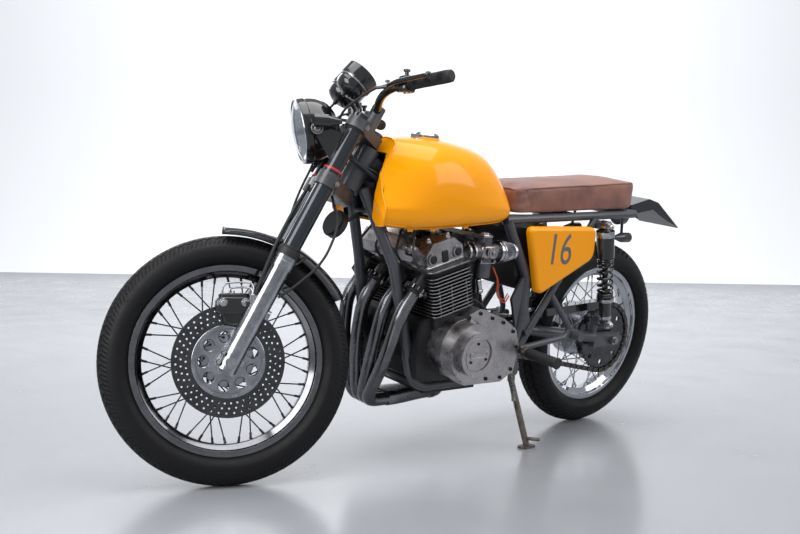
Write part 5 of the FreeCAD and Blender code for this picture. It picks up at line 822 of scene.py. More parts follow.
for x in (0.775, 0.905, 0.985):
    for side in (1, -1):
        low = float(np.interp(x, shell_half[:, 9, 0], shell_half[:, 9, 2]))
        half = float(np.interp(x, shell_half[:, 9, 0], shell_half[:, 9, 1]))
        tabs.append(box([x, side * (half - 0.004), low - 0.004], np.eye(3), (0.01, 0.0012, 0.006), 0.3))
make("tank_tabs", tabs, "chassis", tank_paint)
CAP_X = 0.862
crown = float(np.interp(CAP_X, shell_half[:, -1, 0], shell_half[:, -1, 2]))
neck = [(0.0405, -0.012), (0.0405, -0.001), (0.0375, 0.0035), (0.03, 0.0035), (0.03, -0.012)]
ring = turned_ring(rounded(neck, 0.0015, closed=True))
make("tank_neck", [aimed(ring, [CAP_X, 0, crown], [0, 0, 1])], "chassis", tank_paint)
print("tank", made["tank_skin"], "top at the cap", round(crown, 4))

# %% [markdown]
# ## Side covers
# A cover is a rounded outline moved inward ring by ring while it rises, like the edge
# of a pillow: at a distance d from the edge the height is sqrt(R² - (R - d)²).

# %% Side covers
COVER_SIDE = 0.125
COVER = [(0.524, 0.727), (0.2, 0.729), (0.194, 0.624), (0.43, 0.511), (0.452, 0.518)]
cover_line = [np.array([x, 0, z]) for x, z in COVER]
cover_ring = smooth_path([(cover_line[0] + cover_line[1]) / 2] + cover_line[1:]
                         + [cover_line[0], (cover_line[0] + cover_line[1]) / 2], 0.03, 0.005)[:-1]


def inward(ring, distance):
    """The ring moved inward by a distance, along its own normals."""
    tangent = np.roll(ring, -1, axis=0) - np.roll(ring, 1, axis=0)
    normal = np.stack([-tangent[:, 2], 0 * tangent[:, 0], tangent[:, 0]], 1)
    normal /= np.linalg.norm(normal, axis=1)[:, None]
    normal *= np.sign(((ring.mean(0) - ring) * normal).sum(1).mean())
    return ring + normal * distance


def pillow(side):
    """One cover, its rolled edge facing the rider's left or right, with a hollow back."""
    def layer(distance, height):
        """The outline moved inward by a distance and outward from the frame by a height."""
        return inward(cover_ring, distance) + [0, side * (COVER_SIDE + height), 0]

    soft, quarter = 0.013, np.linspace(0, math.pi / 2, 9)
    rolled = [layer(soft * (1 - math.cos(a)), 0.011 + soft * math.sin(a)) for a in quarter]
    rows = [layer(0.003, 0.0), layer(0.0, 0.0)] + rolled
    back = [layer(0.015, 0.0205), layer(0.003, 0.012)]
    middle = cover_ring.mean(0)
    front_cap = fan(rows[-1], middle + [0, side * 0.149, 0])
    sheet = grid(np.array(back + rows), close_columns=True)
    rear_cap = fan(back[0], middle + [0, side * 0.1455, 0], True)
    return [sheet, front_cap, rear_cap]


covers = make("side_cover_pair", [pillow(1), pillow(-1)], "chassis", tank_paint, sharp=40)
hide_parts("side_covers")


DIGIT_STRETCH = 1.18


def digits(text, size, origin, rightward, upward, lift):
    """Plain digits as a thin mesh: the built-in font's outline, laid on a plane."""
    curve = bpy.data.curves.new("digits", "FONT")
    curve.body, curve.size, curve.extrude, curve.align_x, curve.align_y = text, 1.0, 0.5, "CENTER", "CENTER"
    holder = bpy.data.objects.new("digits", curve)
    bpy.context.scene.collection.objects.link(holder)
    baked_mesh = holder.evaluated_get(bpy.context.evaluated_depsgraph_get()).to_mesh()
    points = np.zeros(len(baked_mesh.vertices) * 3)
    baked_mesh.vertices.foreach_get("co", points)
    points = points.reshape(-1, 3)
    faces = [list(polygon.vertices) for polygon in baked_mesh.polygons]
    holder.to_mesh_clear()
    bpy.data.objects.remove(holder)
    bpy.data.curves.remove(curve)
    across, upwards, outwards = points[:, :1], points[:, 1:2], points[:, 2:]
    placed = origin + across * size * rightward + upwards * size * DIGIT_STRETCH * upward + outwards * lift
    chunks = []
    for face in faces:
        corner = np.array(face)
        fans = np.array([[0, i, i + 1] for i in range(1, len(corner) - 1)])
        chunks.append((placed[corner], fans))
    return chunks


for side in (1, -1):
    across = np.array([-1.0, 0, 0]) * side
    number = digits("16", 0.122, np.array([0.374, side * 0.149, 0.652]), across, np.array([0, 0, 1.0]),
                    np.array([0, side * 0.0009, 0]))
    make("number_left" if side > 0 else "number_right", [number], "chassis", number_grey)
print("covers", made["side_cover_pair"], made["number_left"])

# %% [markdown]
# ## Seat
# The pad starts as a superellipsoid: a box whose corners are rounded by raising sine and
# cosine to a small power. It is remeshed evenly and blown up as cloth whose seams are
# held, so each panel swells between them. The movement is capped and fades at the base.

# %% Seat pad
SEAT_FRONT, SEAT_REAR, SEAT_HALF = 0.572, -0.026, 0.118


def seat_low(x):
    """Height of the pad's underside, a straight line along the rails."""
    return np.interp(x, [SEAT_REAR, SEAT_FRONT], [0.786, 0.7576])


def seat_top(x):
    """Height of the pad's upper seam along its sides."""
    return np.interp(x, [SEAT_REAR, SEAT_FRONT], [0.886, 0.842])


def power(value, exponent):
    """Signed power: keeps the sign and raises the size."""
    return np.sign(value) * np.abs(value) ** exponent


phi = np.linspace(-math.pi / 2, math.pi / 2, 61)[1:-1, None]
theta = full_turn(120)[None]
SHRINK, ROUNDNESS = 0.0035, 0.16
size_x = (SEAT_FRONT - SEAT_REAR) / 2 - SHRINK
pad_x = (SEAT_FRONT + SEAT_REAR) / 2 + size_x * power(np.sin(phi), ROUNDNESS) + 0 * theta
ring = np.cos(phi) ** ROUNDNESS
pad_y = (SEAT_HALF - SHRINK) * ring * power(np.cos(theta), ROUNDNESS)
low, high = seat_low(pad_x) + SHRINK, seat_top(pad_x) - SHRINK
share = ring * power(np.sin(theta), ROUNDNESS)
pad_z = (low + high) / 2 + (high - low) / 2 * share
crown = np.clip(1 - (pad_y / SEAT_HALF) ** 2, 0, 1) * np.clip(share, 0, 1)
front_share = np.clip((SEAT_FRONT - pad_x) / 0.05, 0.2, 1)
rear_share = np.clip((pad_x - SEAT_REAR) / 0.08, 0, 1)
pad_z = pad_z + 0.01 * crown * front_share * rear_share
pad = np.stack([pad_x, pad_y, pad_z], -1)
ends = [fan(pad[0], pad[0].mean(0)), fan(pad[-1], pad[-1].mean(0), True)]
seat = make("seat_pad", [[grid(pad, close_columns=True)] + ends], "chassis", leather,
            sharp=180)


def baked(obj):
    """Replaces an object's mesh by what its modifiers make of it now, and drops them."""
    mesh = bpy.data.meshes.new_from_object(obj.evaluated_get(bpy.context.evaluated_depsgraph_get()))
    obj.modifiers.clear()
    obj.data = mesh


VOXEL_SIZE = 0.0052
remesh = seat.modifiers.new("remesh", "REMESH")
remesh.mode = "VOXEL"
remesh.voxel_size = VOXEL_SIZE
baked(seat)
seat.data.materials.clear()
seat.data.materials.append(leather)
count = len(seat.data.vertices)
rest = np.empty(count * 3)
seat.data.vertices.foreach_get("co", rest)
rest = rest.reshape(-1, 3)
drawn = (rest - base) @ turn.T
top_line, low_line = seat_top(drawn[:, 0]), seat_low(drawn[:, 0])
edge = SEAT_HALF - SHRINK
to_side = np.abs(np.abs(drawn[:, 1]) - edge)
to_rear, to_front = np.abs(drawn[:, 0] - SEAT_REAR - SHRINK), np.abs(drawn[:, 0] - SEAT_FRONT + SHRINK)
to_top = np.abs(drawn[:, 2] - top_line + SHRINK)
near = 0.0062
corner_seam = (to_side < 2.2 * near) & (np.minimum(to_rear, to_front) < 2.2 * near)
top_seam = (to_top < 1.5 * near) & (np.minimum(to_side, np.minimum(to_rear, to_front)) < 1.5 * near)
held = (drawn[:, 2] < low_line + 0.014) | top_seam | corner_seam
print("seat points", count, "held", int(held.sum()))
MOST_SWELL = 0.009
group = seat.vertex_groups.new(name="held")
group.add(np.flatnonzero(held).tolist(), 1.0, "REPLACE")
cloth = seat.modifiers.new("cloth", "CLOTH").settings
cloth.use_pressure = True
cloth.uniform_pressure_force = 4.0
cloth.effector_weights.gravity = 0
cloth.vertex_group_mass = "held"
cloth.quality = 5
cloth.mass = 0.3
cloth.tension_stiffness = cloth.compression_stiffness = 6
cloth.shear_stiffness = 3
cloth.bending_stiffness = 0.4
for number in range(1, 21):
    bpy.context.scene.frame_set(number)
shape = seat.evaluated_get(bpy.context.evaluated_depsgraph_get()).data
moved = np.empty(count * 3)
shape.vertices.foreach_get("co", moved)
moved = moved.reshape(-1, 3) - rest
seat.modifiers.clear()
bpy.context.scene.frame_set(1)
length = np.linalg.norm(moved, axis=1)[:, None]
print("pressure moved the pad by up to", round(float(length.max()) * 1000, 1), "mm")
moved *= np.minimum(1, MOST_SWELL / np.maximum(length, 1e-9))
rest = rest + moved * np.clip((drawn[:, 2] - low_line) / 0.03, 0, 1)[:, None]
drawn = (rest - base) @ turn.T
along, aside, above_floor = drawn.T
side_only = np.abs(aside)
crease = 0.0011 * np.sin(aside * 95 + 2.2 * np.sin(along * 31)) * np.exp(-((along - 0.53) / 0.035) ** 2)
crease += (0.0009 * np.sin(above_floor * 210 + along * 60) * np.exp(-((along - 0.535) / 0.03) ** 2)
           * (side_only > 0.09))
seam_place = along - 0.512 - 0.012 * np.sin(above_floor * 70)
crease -= 0.0016 * np.exp(-(seam_place / 0.0045) ** 2) * (side_only > 0.085)
crease += 0.0006 * np.sin(along * 23 + 3 * np.sin(aside * 17)) * np.sin(aside * 29 + 1.3)
fade = np.clip((above_floor - seat_low(along)) / 0.02, 0, 1)
normals = np.empty(count * 3)
seat.data.vertex_normals.foreach_get("vector", normals)
rest = rest + normals.reshape(-1, 3) * (crease * fade)[:, None]
seat.data.vertices.foreach_set("co", rest.astype(np.float32).ravel())
seat.data.update()
seat.data.shade_smooth()
smoother = seat.modifiers.new("smooth", "SUBSURF")
smoother.levels = smoother.render_levels = 1
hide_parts("seat")

# %% [markdown]
# The piping is a thin tube that follows the pad's upper seam. Its points come from the
# finished pad: the held vertices, sorted by their angle round the seat's middle.

# %% Seat seams
seam_points = drawn[top_seam]
middle = np.array([(SEAT_FRONT + SEAT_REAR) / 2, 0.0])
bearing = np.arctan2((seam_points[:, 1]) / SEAT_HALF, (seam_points[:, 0] - middle[0])
                     / ((SEAT_FRONT - SEAT_REAR) / 2))
path = []
for start in np.linspace(-math.pi, math.pi, 260, endpoint=False):
    inside = np.abs((bearing - start + math.pi) % math.tau - math.pi) < 0.045
    if inside.any():
        path.append(seam_points[inside].mean(0))
path = np.array(path)
for _ in range(3):
    path = (np.roll(path, 1, 0) + 2 * path + np.roll(path, -1, 0)) / 4
outwards = path - np.array([middle[0], 0, 0])
outwards[:, 2] = 0
path[:, :2] += outwards[:, :2] / np.linalg.norm(outwards[:, :2], axis=1)[:, None] * 0.0016
path[:, 2] += 0.0016
loop = np.vstack([path, path[:2]])
angle = full_turn(8)
tangent = np.gradient(loop, axis=0)[:-2]
tangent /= np.linalg.norm(tangent, axis=1)[:, None]
flat = np.cross(tangent, [0, 0, 1.0])
flat /= np.linalg.norm(flat, axis=1)[:, None]
third = np.cross(tangent, flat)
section = path[:, None] + 0.0021 * (np.cos(angle)[None, :, None] * flat[:, None]
                                    + np.sin(angle)[None, :, None] * third[:, None])
piping = finish("piping", (0.2, 0.075, 0.05), 0.5, vary=0.1)
make("seat_piping", [grid(section, close_rows=True, close_columns=True)], "chassis", piping)
print("piping points", len(path))

# %% [markdown]
# ## Exhaust
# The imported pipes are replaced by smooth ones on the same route. A pipe is a circle
# carried along its path. The gatherer is one lofted skin: its section is a superellipse
# whose width, height and squareness change along the way, from a flat box to a pipe.

# %% Exhaust
CRANK = np.array([0.807, 0, 0.375])
BORE_TILT = math.radians(15)
bore_axis = np.array([math.sin(BORE_TILT), 0, math.cos(BORE_TILT)])
bore_forward = np.array([math.cos(BORE_TILT), 0, -math.sin(BORE_TILT)])
CYLINDERS = (-0.127, -0.049, 0.049, 0.127)
PORT_ROOT = (0.234, 0.038)
PORT_FALL = BORE_TILT + math.radians(38)
port_aim = np.array([math.cos(PORT_FALL), 0, -math.sin(PORT_FALL)])
GATHER = np.array([0.9, -0.036, 0.172])
GATHER_HALF = 0.05
PIPE_RADIUS, TAIL_RADIUS = 0.02, 0.0265


def engine_point(along, forward=0.0, side=0.0):
    """A point in the cylinders' own directions, measured from the crankshaft."""
    return CRANK + bore_axis * along + bore_forward * forward + np.array([0, side, 0])


def port_face(place):
    """The middle of an exhaust port's face."""
    return engine_point(*PORT_ROOT, place) + port_aim * 0.0603


def header_route(place, share):
    """Port, first bend, front run, bottom bend and gatherer of one pipe."""
    first = port_face(place)
    down = first + port_aim * 0.085
    low = GATHER[1] + GATHER_HALF * share
    return [first, down, [1.004, place * 0.8 + low * 0.2, down[2] - 0.13], [0.978, low, GATHER[2]],
            [0.89, low, GATHER[2]]]


PIPE_SHARES = (-0.62, -0.22, 0.22, 0.62)
pipes = [hose(header_route(place, share), 0.078, PIPE_RADIUS, 32)
         for place, share in zip(CYLINDERS, PIPE_SHARES)]
t = np.linspace(0, 1, 30)[:, None]
ease = t * t * (3 - 2 * t)
wide = GATHER_HALF + 0.0005 + (TAIL_RADIUS - GATHER_HALF) * ease
tall = 0.0216 + (TAIL_RADIUS - 0.0216) * ease
exponent = 2 / (5 - 3 * ease)
a = full_turn(64)[None]
section = np.stack([GATHER[0] - 0.2 * t + 0 * a, GATHER[1] + wide * power(np.cos(a), exponent),
                    GATHER[2] + tall * power(np.sin(a), exponent)], -1)
skin = [grid(section, close_columns=True), fan(section[0], GATHER),
        fan(section[-1], GATHER - [0.2, 0, 0], True)]
tail_pipe = hose([[0.702, -0.036, 0.172], [0.672, -0.036, 0.172], [0.594, -0.121, 0.189]], 0.05,
                 TAIL_RADIUS, 40)
clamp = tube([[0.7, -0.036, 0.172], [0.688, -0.036, 0.172]], 0.0285, 40)
header = make("exhaust_pipes", pipes + [skin, tail_pipe, clamp], "chassis", graphite)
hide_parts("exhaust_headers")


def toothed_ring(inner, root, tip, teeth, length):
    """A finned collar about Z: its outer radius steps between root and tip with the angle."""
    a = full_turn(teeth * 12)
    wave = np.clip(np.cos(a * teeth) * 3.2, -1, 1) * 0.5 + 0.5
    outer = root + (tip - root) * wave
    rings = [(inner + 0 * a, 0), (outer - 0.001, 0), (outer, 0.001), (outer, length - 0.001),
             (outer - 0.001, length), (inner + 0 * a, length)]
    points = np.array([np.stack([r * np.cos(a), r * np.sin(a), h + 0 * a], 1) for r, h in rings])
    return grid(points, close_rows=True, close_columns=True)


COLLAR_FINS = 14
port_up = unit(np.cross([0.0, 1.0, 0.0], port_aim))
port_side = np.cross(port_aim, port_up)
collars, tips, nuts = [], [], []
for place in CYLINDERS:
    face = port_face(place)
    collars.append(aimed(toothed_ring(0.0203, 0.0305, 0.0368, COLLAR_FINS, 0.0135), face, port_aim))
    collars.append(lathed([(0, 0), (0.0245, 0), (0.0245, 0.004), (0.0206, 0.009), (0, 0.009)], 40,
                          face + port_aim * 0.0135, port_aim))
    for turned in full_turn(COLLAR_FINS):
        out = math.cos(turned) * port_up + math.sin(turned) * port_side
        side = np.cross(port_aim, out)
        tips.append(box(face + port_aim * 0.0068 + out * 0.0366, [port_aim, side, out],
                        (0.0052, 0.0014, 0.0006), 0.4))
    for sign in (-1, 1):
        stud = face + port_aim * 0.012 + np.array([0, sign * 0.0275, 0])
        nuts += hex_head(stud, port_aim, 0.0055, 0.006)
        nuts.append(bar(stud, stud + port_aim * 0.012, 0.003, 12))
make("exhaust_collars", collars, "chassis", engine_black)
make("collar_tips", tips, "chassis", worn_chrome)
make("collar_nuts", nuts, "chassis", steel)
print("exhaust", made["exhaust_pipes"])

# %% [markdown]
# ## Fin edges
# The fins are black, but their edges are bare metal. Each edge is a thin round strip
# along a rounded rectangle, left open where an exhaust port passes.

# %% Fin edges
FIN_HALF, FIN_FRONT, FIN_BACK, FIN_CORNER = 0.185, 0.075, 0.079, 0.016


def layer_outline(along, half=FIN_HALF, front=FIN_FRONT, back=FIN_BACK, corner=FIN_CORNER, count=12):
    """A rounded rectangle across the cylinders, as a closed ring of points."""
    points = []
    for forward, side, start in ((front - corner, half - corner, 0), (corner - back, half - corner, 90),
                                 (corner - back, corner - half, 180), (front - corner, corner - half, 270)):
        for angle in np.radians(np.linspace(start, start + 90, count)):
            points.append(engine_point(along, forward + corner * math.cos(angle),
                                       side + corner * math.sin(angle)))
    return np.array(points)


def open_runs(ring, clear=0.0405):
    """The stretches of a ring that stay clear of every exhaust port's line."""
    closed = np.vstack([ring, ring[:1]])
    far = np.concatenate([[0], np.cumsum(np.linalg.norm(np.diff(closed, axis=0), axis=1))])
    at = np.linspace(0, far[-1], 360, endpoint=False)
    fine = np.stack([np.interp(at, far, closed[:, k]) for k in range(3)], 1)
    free = np.ones(len(fine), bool)
    for place in CYLINDERS:
        arm = fine - engine_point(*PORT_ROOT, place)
        along = arm @ port_aim
        aside = np.linalg.norm(arm - along[:, None] * port_aim, axis=1)
        free &= ~((along > 0) & (aside < clear))
    if free.all():
        return [np.vstack([fine, fine[:2]])]
    first = int(np.argmin(free))
    fine, free = np.roll(fine, -first, axis=0), np.roll(free, -first)
    cuts = np.flatnonzero(np.diff(np.concatenate([[0], free.astype(int), [0]])))
    return [fine[a:b] for a, b in zip(cuts[::2], cuts[1::2]) if b - a > 2]


FIN_PITCH = 0.0103
edges = []
levels = [0.113 + i * FIN_PITCH for i in range(9)] + [0.206 + i * FIN_PITCH for i in range(3)]
for level in levels:
    for run in open_runs(layer_outline(level + 0.0016)):
        edges.append(tube(run[::3] if len(run) > 12 else run, 0.00165, 6))
for run in open_runs(layer_outline(0.2487)):
    edges.append(tube(run[::3], 0.0031, 8))
for forward in (-0.052, 0.006, 0.052):
    for side in (0.183, -0.183):
        edges.append(bar(engine_point(0.114, forward, side), engine_point(0.1985, forward, side), 0.0022, 10))
fin_edge = finish("fin_edge", (0.2, 0.2, 0.205), 0.38, metal=0.9, vary=0.12, scale=60, tone=0.5)
make("fin_edges", edges, "chassis", fin_edge)
print("fin edges", made["fin_edges"])

# %% [markdown]
# ## Engine dress
# Small parts are placed in the engine's own directions: along the bores, ahead of them
# and sideways. Bolts follow the edges of the covers, and nuts stand on the cam cover.

# %% Covers and bolts
bolts, dark_bolts = [], []
COVER_EDGE = [(0.8, 0.47), (0.756, 0.48), (0.704, 0.463), (0.655, 0.447), (0.607, 0.417),
              (0.586, 0.368), (0.597, 0.298), (0.64, 0.276), (0.7, 0.277)]
for x, z in COVER_EDGE:
    for side in (1, -1):
        place = (x, side * (0.207 if side > 0 else 0.195), z)
        if side > 0 or math.dist((x, z), (0.672, 0.392)) > 0.1:
            dark_bolts += socket_head(place, [0, side, 0], 0.0058, 0.005)
bolts.append(aimed(plain_ring(0.0485, 0.0515, 0, 0.0016, 0.0006, 96), CRANK + [0, 0.274, 0], [0, 1, 0]))
for angle in (80, 205, 325):
    turned = math.radians(angle)
    dark_bolts += socket_head(CRANK + [0.034 * math.cos(turned), 0.2712, 0.034 * math.sin(turned)],
                              [0, 1, 0], 0.0042, 0.003)
plate_corners = ((1, 1), (-1, 1), (-1, -1), (1, -1), (1, 1), (-1, 1))
plate = [CRANK + [sx * 0.033, 0.2722, sz * 0.0075] for sx, sz in plate_corners]
bolts.append(tube(smooth_path(plate, 0.006, 0.002), 0.0012, 8))
for angle in np.radians(np.arange(0, 360, 60) + 20):
    place = np.array([0.672 + 0.082 * math.cos(angle), -0.231, 0.392 + 0.082 * math.sin(angle)])
    dark_bolts += socket_head(place, [0, -1, 0], 0.0055, 0.005)
for angle in np.radians((90, 210, 330)):
    dark_bolts += socket_head(CRANK + [0.041 * math.cos(angle), -0.2138, 0.041 * math.sin(angle)],
                              [0, -1, 0], 0.0042, 0.003)

flange_steps = ((0, 0.01), (0, 0.0), (0.0045, 0.0), (0.0065, 0.0018), (0.0065, 0.01))
flange = [layer_outline(0.2525 + lift, 0.1625 - inset, 0.0725 - inset, 0.0765 - inset, 0.012)
          for lift, inset in flange_steps]
bolts.append(grid(np.array(flange), close_rows=True, close_columns=True))
for side in (-0.132, -0.066, 0.0, 0.066, 0.132):
    for forward in (0.0335, -0.0395):
        foot = engine_point(0.3215, forward, side)
        bolts += hex_head(foot, bore_axis, 0.0068, 0.006)
        bolts.append(lathed([(0.0052, 0), (0.0048, 0.004), (0.003, 0.0065), (0, 0.0072)], 18,
                            foot + bore_axis * 0.006, bore_axis))
for side in (-1, 1):
    for forward in (0.044, -0.05):
        at = engine_point(0.278, forward, side * 0.1608)
        dark_bolts.append(lathed([(0.0125, 0), (0.0125, 0.0012), (0.0105, 0.003), (0, 0.003)], 30, at,
                                 [0, side, 0]))
    dark_bolts.append(box(engine_point(0.276, -0.003, side * 0.1565), [bore_forward, [0, 1, 0], bore_axis],
                          (0.011, 0.0022, 0.017), 0.3))
drive = engine_point(0.3, 0.066, 0.096)
bolts.append(lathed([(0.0175, -0.02), (0.0175, 0.018), (0.0155, 0.0225), (0.0065, 0.024), (0.0065, 0.034),
                     (0, 0.034)], 40, drive, unit(bore_forward * 0.8 + bore_axis * 0.45)))
make("engine_trim", bolts, "chassis", cover_alloy)
make("engine_bolts", dark_bolts, "chassis", engine_black)
print("engine trim", made["engine_trim"], made["engine_bolts"])

# %% [markdown]
# Leads and fittings join the engine to the machine. Each lead is a tube along rounded
# corners, which is how a hose hangs. The turned fittings are a profile of radius and
# height: the plug caps, the clutch lever's shaft and the oil filter's housing.

# %% Leads and fittings
black_parts, silver_parts = [], []
for place in CYLINDERS:
    seat_at = engine_point(0.232, 0.052, place + 0.03)
    lift = unit(bore_axis * 0.62 + bore_forward * 0.78)
    black_parts.append(lathed([(0, 0), (0.0095, 0), (0.0105, 0.006), (0.0085, 0.012), (0.0085, 0.04),
                               (0.0065, 0.046), (0, 0.047)], 20, seat_at + lift * 0.012, lift))
    top = seat_at + lift * 0.058
    rise = top + lift * 0.03 + np.array([0, 0, 0.02])
    black_parts.append(hose([top - lift * 0.004, rise, [0.93, place * 0.55, 0.742],
                             [0.88, place * 0.25, 0.79]], 0.04, 0.0036, 10))
breather = [engine_point(0.312, 0.04, 0.06), engine_point(0.345, 0.052, 0.062),
            engine_point(0.372, 0.02, 0.05), [0.86, 0.03, 0.79]]
black_parts.append(hose(breather, 0.04, 0.0085, 16))
silver_parts.append(aimed(plain_ring(0.0087, 0.0105, 0, 0.008, 0.0008, 32),
                          engine_point(0.33, 0.046, 0.061), [0.42, 0, 0.9]))
motor = np.array([0.742, 0.0, 0.536])
silver_parts.append(bar(motor - [0, 0.06, 0], motor + [0, 0.085, 0], 0.033, 40))
black_parts.append(bar(motor + [0, 0.085, 0], motor + [0, 0.094, 0], 0.031, 40))
lever = np.array([0.664, 0.178, 0.448])
silver_parts.append(lathed([(0, 0), (0.017, 0), (0.014, 0.02), (0.012, 0.032), (0, 0.032)], 30, lever,
                           [0.1, 0, 1]))
silver_parts.append(box(lever + [0.016, 0, 0.034], np.eye(3), (0.026, 0.006, 0.0022), 0.4))
black_parts.append(hose([lever + [0.04, 0, 0.035], lever + [0.075, -0.004, 0.06], [0.86, 0.116, 0.545],
                         [0.93, 0.11, 0.62], [0.985, 0.07, 0.72]], 0.05, 0.0034, 10))
filter_at = np.array([0.934, 0.0, 0.345])
silver_parts.append(lathed([(0, 0), (0.041, 0), (0.041, 0.012), (0.038, 0.016), (0.038, 0.034),
                            (0.034, 0.038), (0.009, 0.038), (0.009, 0.044), (0, 0.044)], 48,
                           filter_at - [0.004, 0, 0], [1, 0, 0]))
for turned in np.arange(0, math.tau, math.tau / 12):
    out = np.array([0, math.cos(turned), math.sin(turned)])
    silver_parts.append(box(filter_at + [0.02, 0, 0] + out * 0.0385,
                            [[1, 0, 0], np.cross([1, 0, 0], out), out], (0.011, 0.0013, 0.003), 0.4))
make("engine_leads", black_parts, "chassis", rubber)
make("engine_fittings", silver_parts, "chassis", dark_alloy)
print("leads", made["engine_leads"], made["engine_fittings"])

# %% [markdown]
# ## Carburettors and filters
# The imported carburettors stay. Caps, flanges, screws and links sit on them. The filters
# are pleated cones: their radius is R + w cos(n a), a wave round the axis.

# %% Intake
caps, screws, brass = [], [], []
CARB_HEIGHT = 0.648
CARB_MIDDLE = np.array([0.694, 0, CARB_HEIGHT])
x_axis, y_axis, z_axis = np.eye(3)
for place in CYLINDERS:
    hub = CARB_MIDDLE + [0, place, 0]
    caps.append(lathed([(0.0226, 0), (0.0238, 0.0015), (0.0238, 0.006), (0.0215, 0.0085), (0.0115, 0.01),
                        (0.0105, 0.0135), (0, 0.0135)], 40, hub + [0, 0, 0.0445], z_axis))
    caps.append(box(hub - [0, 0, 0.03], np.eye(3), (0.0325, 0.0285, 0.0028), 0.35))
    caps.append(box(hub + [0, 0, 0.002], np.eye(3), (0.03, 0.0275, 0.0205), 0.35))
    brass.append(lathed([(0.0095, 0), (0.0095, 0.004), (0.006, 0.006), (0, 0.006)], 6, hub - [0, 0, 0.075],
                        -z_axis))
    brass.append(bar(hub + [0.012, 0.022, 0.014], hub + [0.012, 0.0325, 0.014], 0.0038, 14))
    for sx in (-1, 1):
        for sy in (-1, 1):
            screws += socket_head(hub + [sx * 0.0275, sy * 0.0235, -0.0275], z_axis, 0.0032, 0.0035)
        screws += socket_head(hub + [sx * 0.0165, 0, 0.051], z_axis, 0.003, 0.0035)
    for sx, sz in ((-1, 1), (1, 1), (1, -1), (-1, -1)):
        screws += socket_head(hub + [sx * 0.0235, 0.0268, sz * 0.0145 + 0.002], y_axis, 0.0028, 0.0028)
    for x, radius in ((0.7435, 0.0268), (0.766, 0.0278)):
        band = plain_ring(radius - 0.0016, radius, 0, 0.007, 0.0005, 48)
        caps.append(aimed(band, [x, place, CARB_HEIGHT], x_axis))
        ear = np.array([x + 0.0035, place, CARB_HEIGHT + radius + 0.002])
        screws.append(bar(ear + y_axis * 0.008, ear - y_axis * 0.008, 0.0024, 12))
left_hub = CARB_MIDDLE + [0, CYLINDERS[-1], 0]
caps.append(lathed([(0, 0), (0.017, 0), (0.0135, 0.003), (0.017, 0.006), (0.017, 0.008), (0, 0.008)], 32,
                   left_hub + [-0.004, 0.031, 0.002], y_axis))
screws += hex_head(left_hub + [-0.004, 0.0388, 0.002], y_axis, 0.0065, 0.005)
spring = np.linspace(0, math.tau * 6, 150)
helix = np.stack([0.0105 * np.cos(spring), 0.0002 * spring, 0.0105 * np.sin(spring)], 1)
brass.append(tube(left_hub + [-0.004, 0.029, 0.002] + helix, 0.0008, 6))
for lift in (0.0475, -0.0235):
    caps.append(box(CARB_MIDDLE + [0.032, 0, lift], np.eye(3), (0.0016, 0.155, 0.007), 0.3))
black_hose = [left_hub + [0.018, 0.012, -0.07], left_hub + [0.022, 0.012, -0.1], [0.7, 0.142, 0.52],
              [0.69, 0.144, 0.478]]
fuel_hose = hose(black_hose, 0.03, 0.0045, 12)
plug = [bar([0.716, 0.141, 0.566], [0.706, 0.143, 0.532], 0.0085, 20),
        bar([0.7075, 0.1425, 0.536], [0.7045, 0.143, 0.526], 0.0105, 20)]
make("carb_caps", caps, "chassis", cover_alloy)
make("carb_screws", screws, "chassis", steel)
make("carb_brass", brass, "chassis", gold)
make("carb_hose", [fuel_hose], "chassis", rubber)
make("hose_plug", plug, "chassis", worn_chrome)
orange_wire = finish("orange_wire", (0.62, 0.07, 0.01), 0.4)
thick_wire = [[0.64, 0.118, 0.6], [0.618, 0.128, 0.56], [0.622, 0.132, 0.515], [0.578, 0.128, 0.48],
              [0.53, 0.1, 0.5]]
thin_wire = [[0.63, 0.114, 0.596], [0.606, 0.122, 0.552], [0.608, 0.122, 0.512], [0.57, 0.118, 0.488],
             [0.53, 0.092, 0.505]]
wires = [hose(thick_wire, 0.05, 0.0022, 8), hose(thin_wire, 0.05, 0.0018, 8)]
make("orange_wires", wires, "chassis", orange_wire)

PLEATS = 36
shells, pleats, gaskets = [], [], []
for place in CYLINDERS:
    mouth = np.array([0.6457, place, CARB_HEIGHT])
    back = -x_axis
    shells.append(lathed(rounded([(0, 0), (0.035, 0), (0.035, 0.011), (0.0325, 0.013), (0, 0.013)],
                                 0.0012), 64, mouth, back))
    shells.append(aimed(plain_disc(0.0345, 0.005, 0.001, 64), mouth + back * 0.015, back))
    shells.append(lathed(rounded([(0, 0), (0.0268, 0), (0.0268, 0.01), (0.0235, 0.0135), (0.01, 0.0145),
                                  (0, 0.0145)], 0.0015), 64, mouth + back * 0.065, back))
    a = full_turn(PLEATS * 8)
    rows = []
    for depth in np.linspace(0.0185, 0.0665, 8):
        radius = 0.0335 - (depth - 0.0185) / 0.048 * 0.0085 + 0.0014 * np.cos(PLEATS * a)
        rows.append(np.stack([radius * np.cos(a), radius * np.sin(a), depth + 0 * a], 1))
    pleats.append([aimed(grid(np.array(rows), close_columns=True), mouth, back),
                   aimed(fan(rows[0], [0, 0, 0.0185]), mouth, back),
                   aimed(fan(rows[-1], [0, 0, 0.0665], True), mouth, back)])
    gaskets.append(aimed(plain_disc(0.0332, 0.003, 0.0008, 64), mouth + back * 0.0125, back))
shell = make("filter_shells", shells, "chassis", chrome)
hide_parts("air_filters")
pleat_finish = finish("pleats", (0.34, 0.34, 0.36), 0.3, metal=1.0, vary=0.1, scale=50, tone=0.4)
make("filter_pleats", pleats, "chassis", pleat_finish)
make("filter_gaskets", gaskets, "chassis", rubber)
print("intake", made["carb_caps"], made["filter_pleats"])

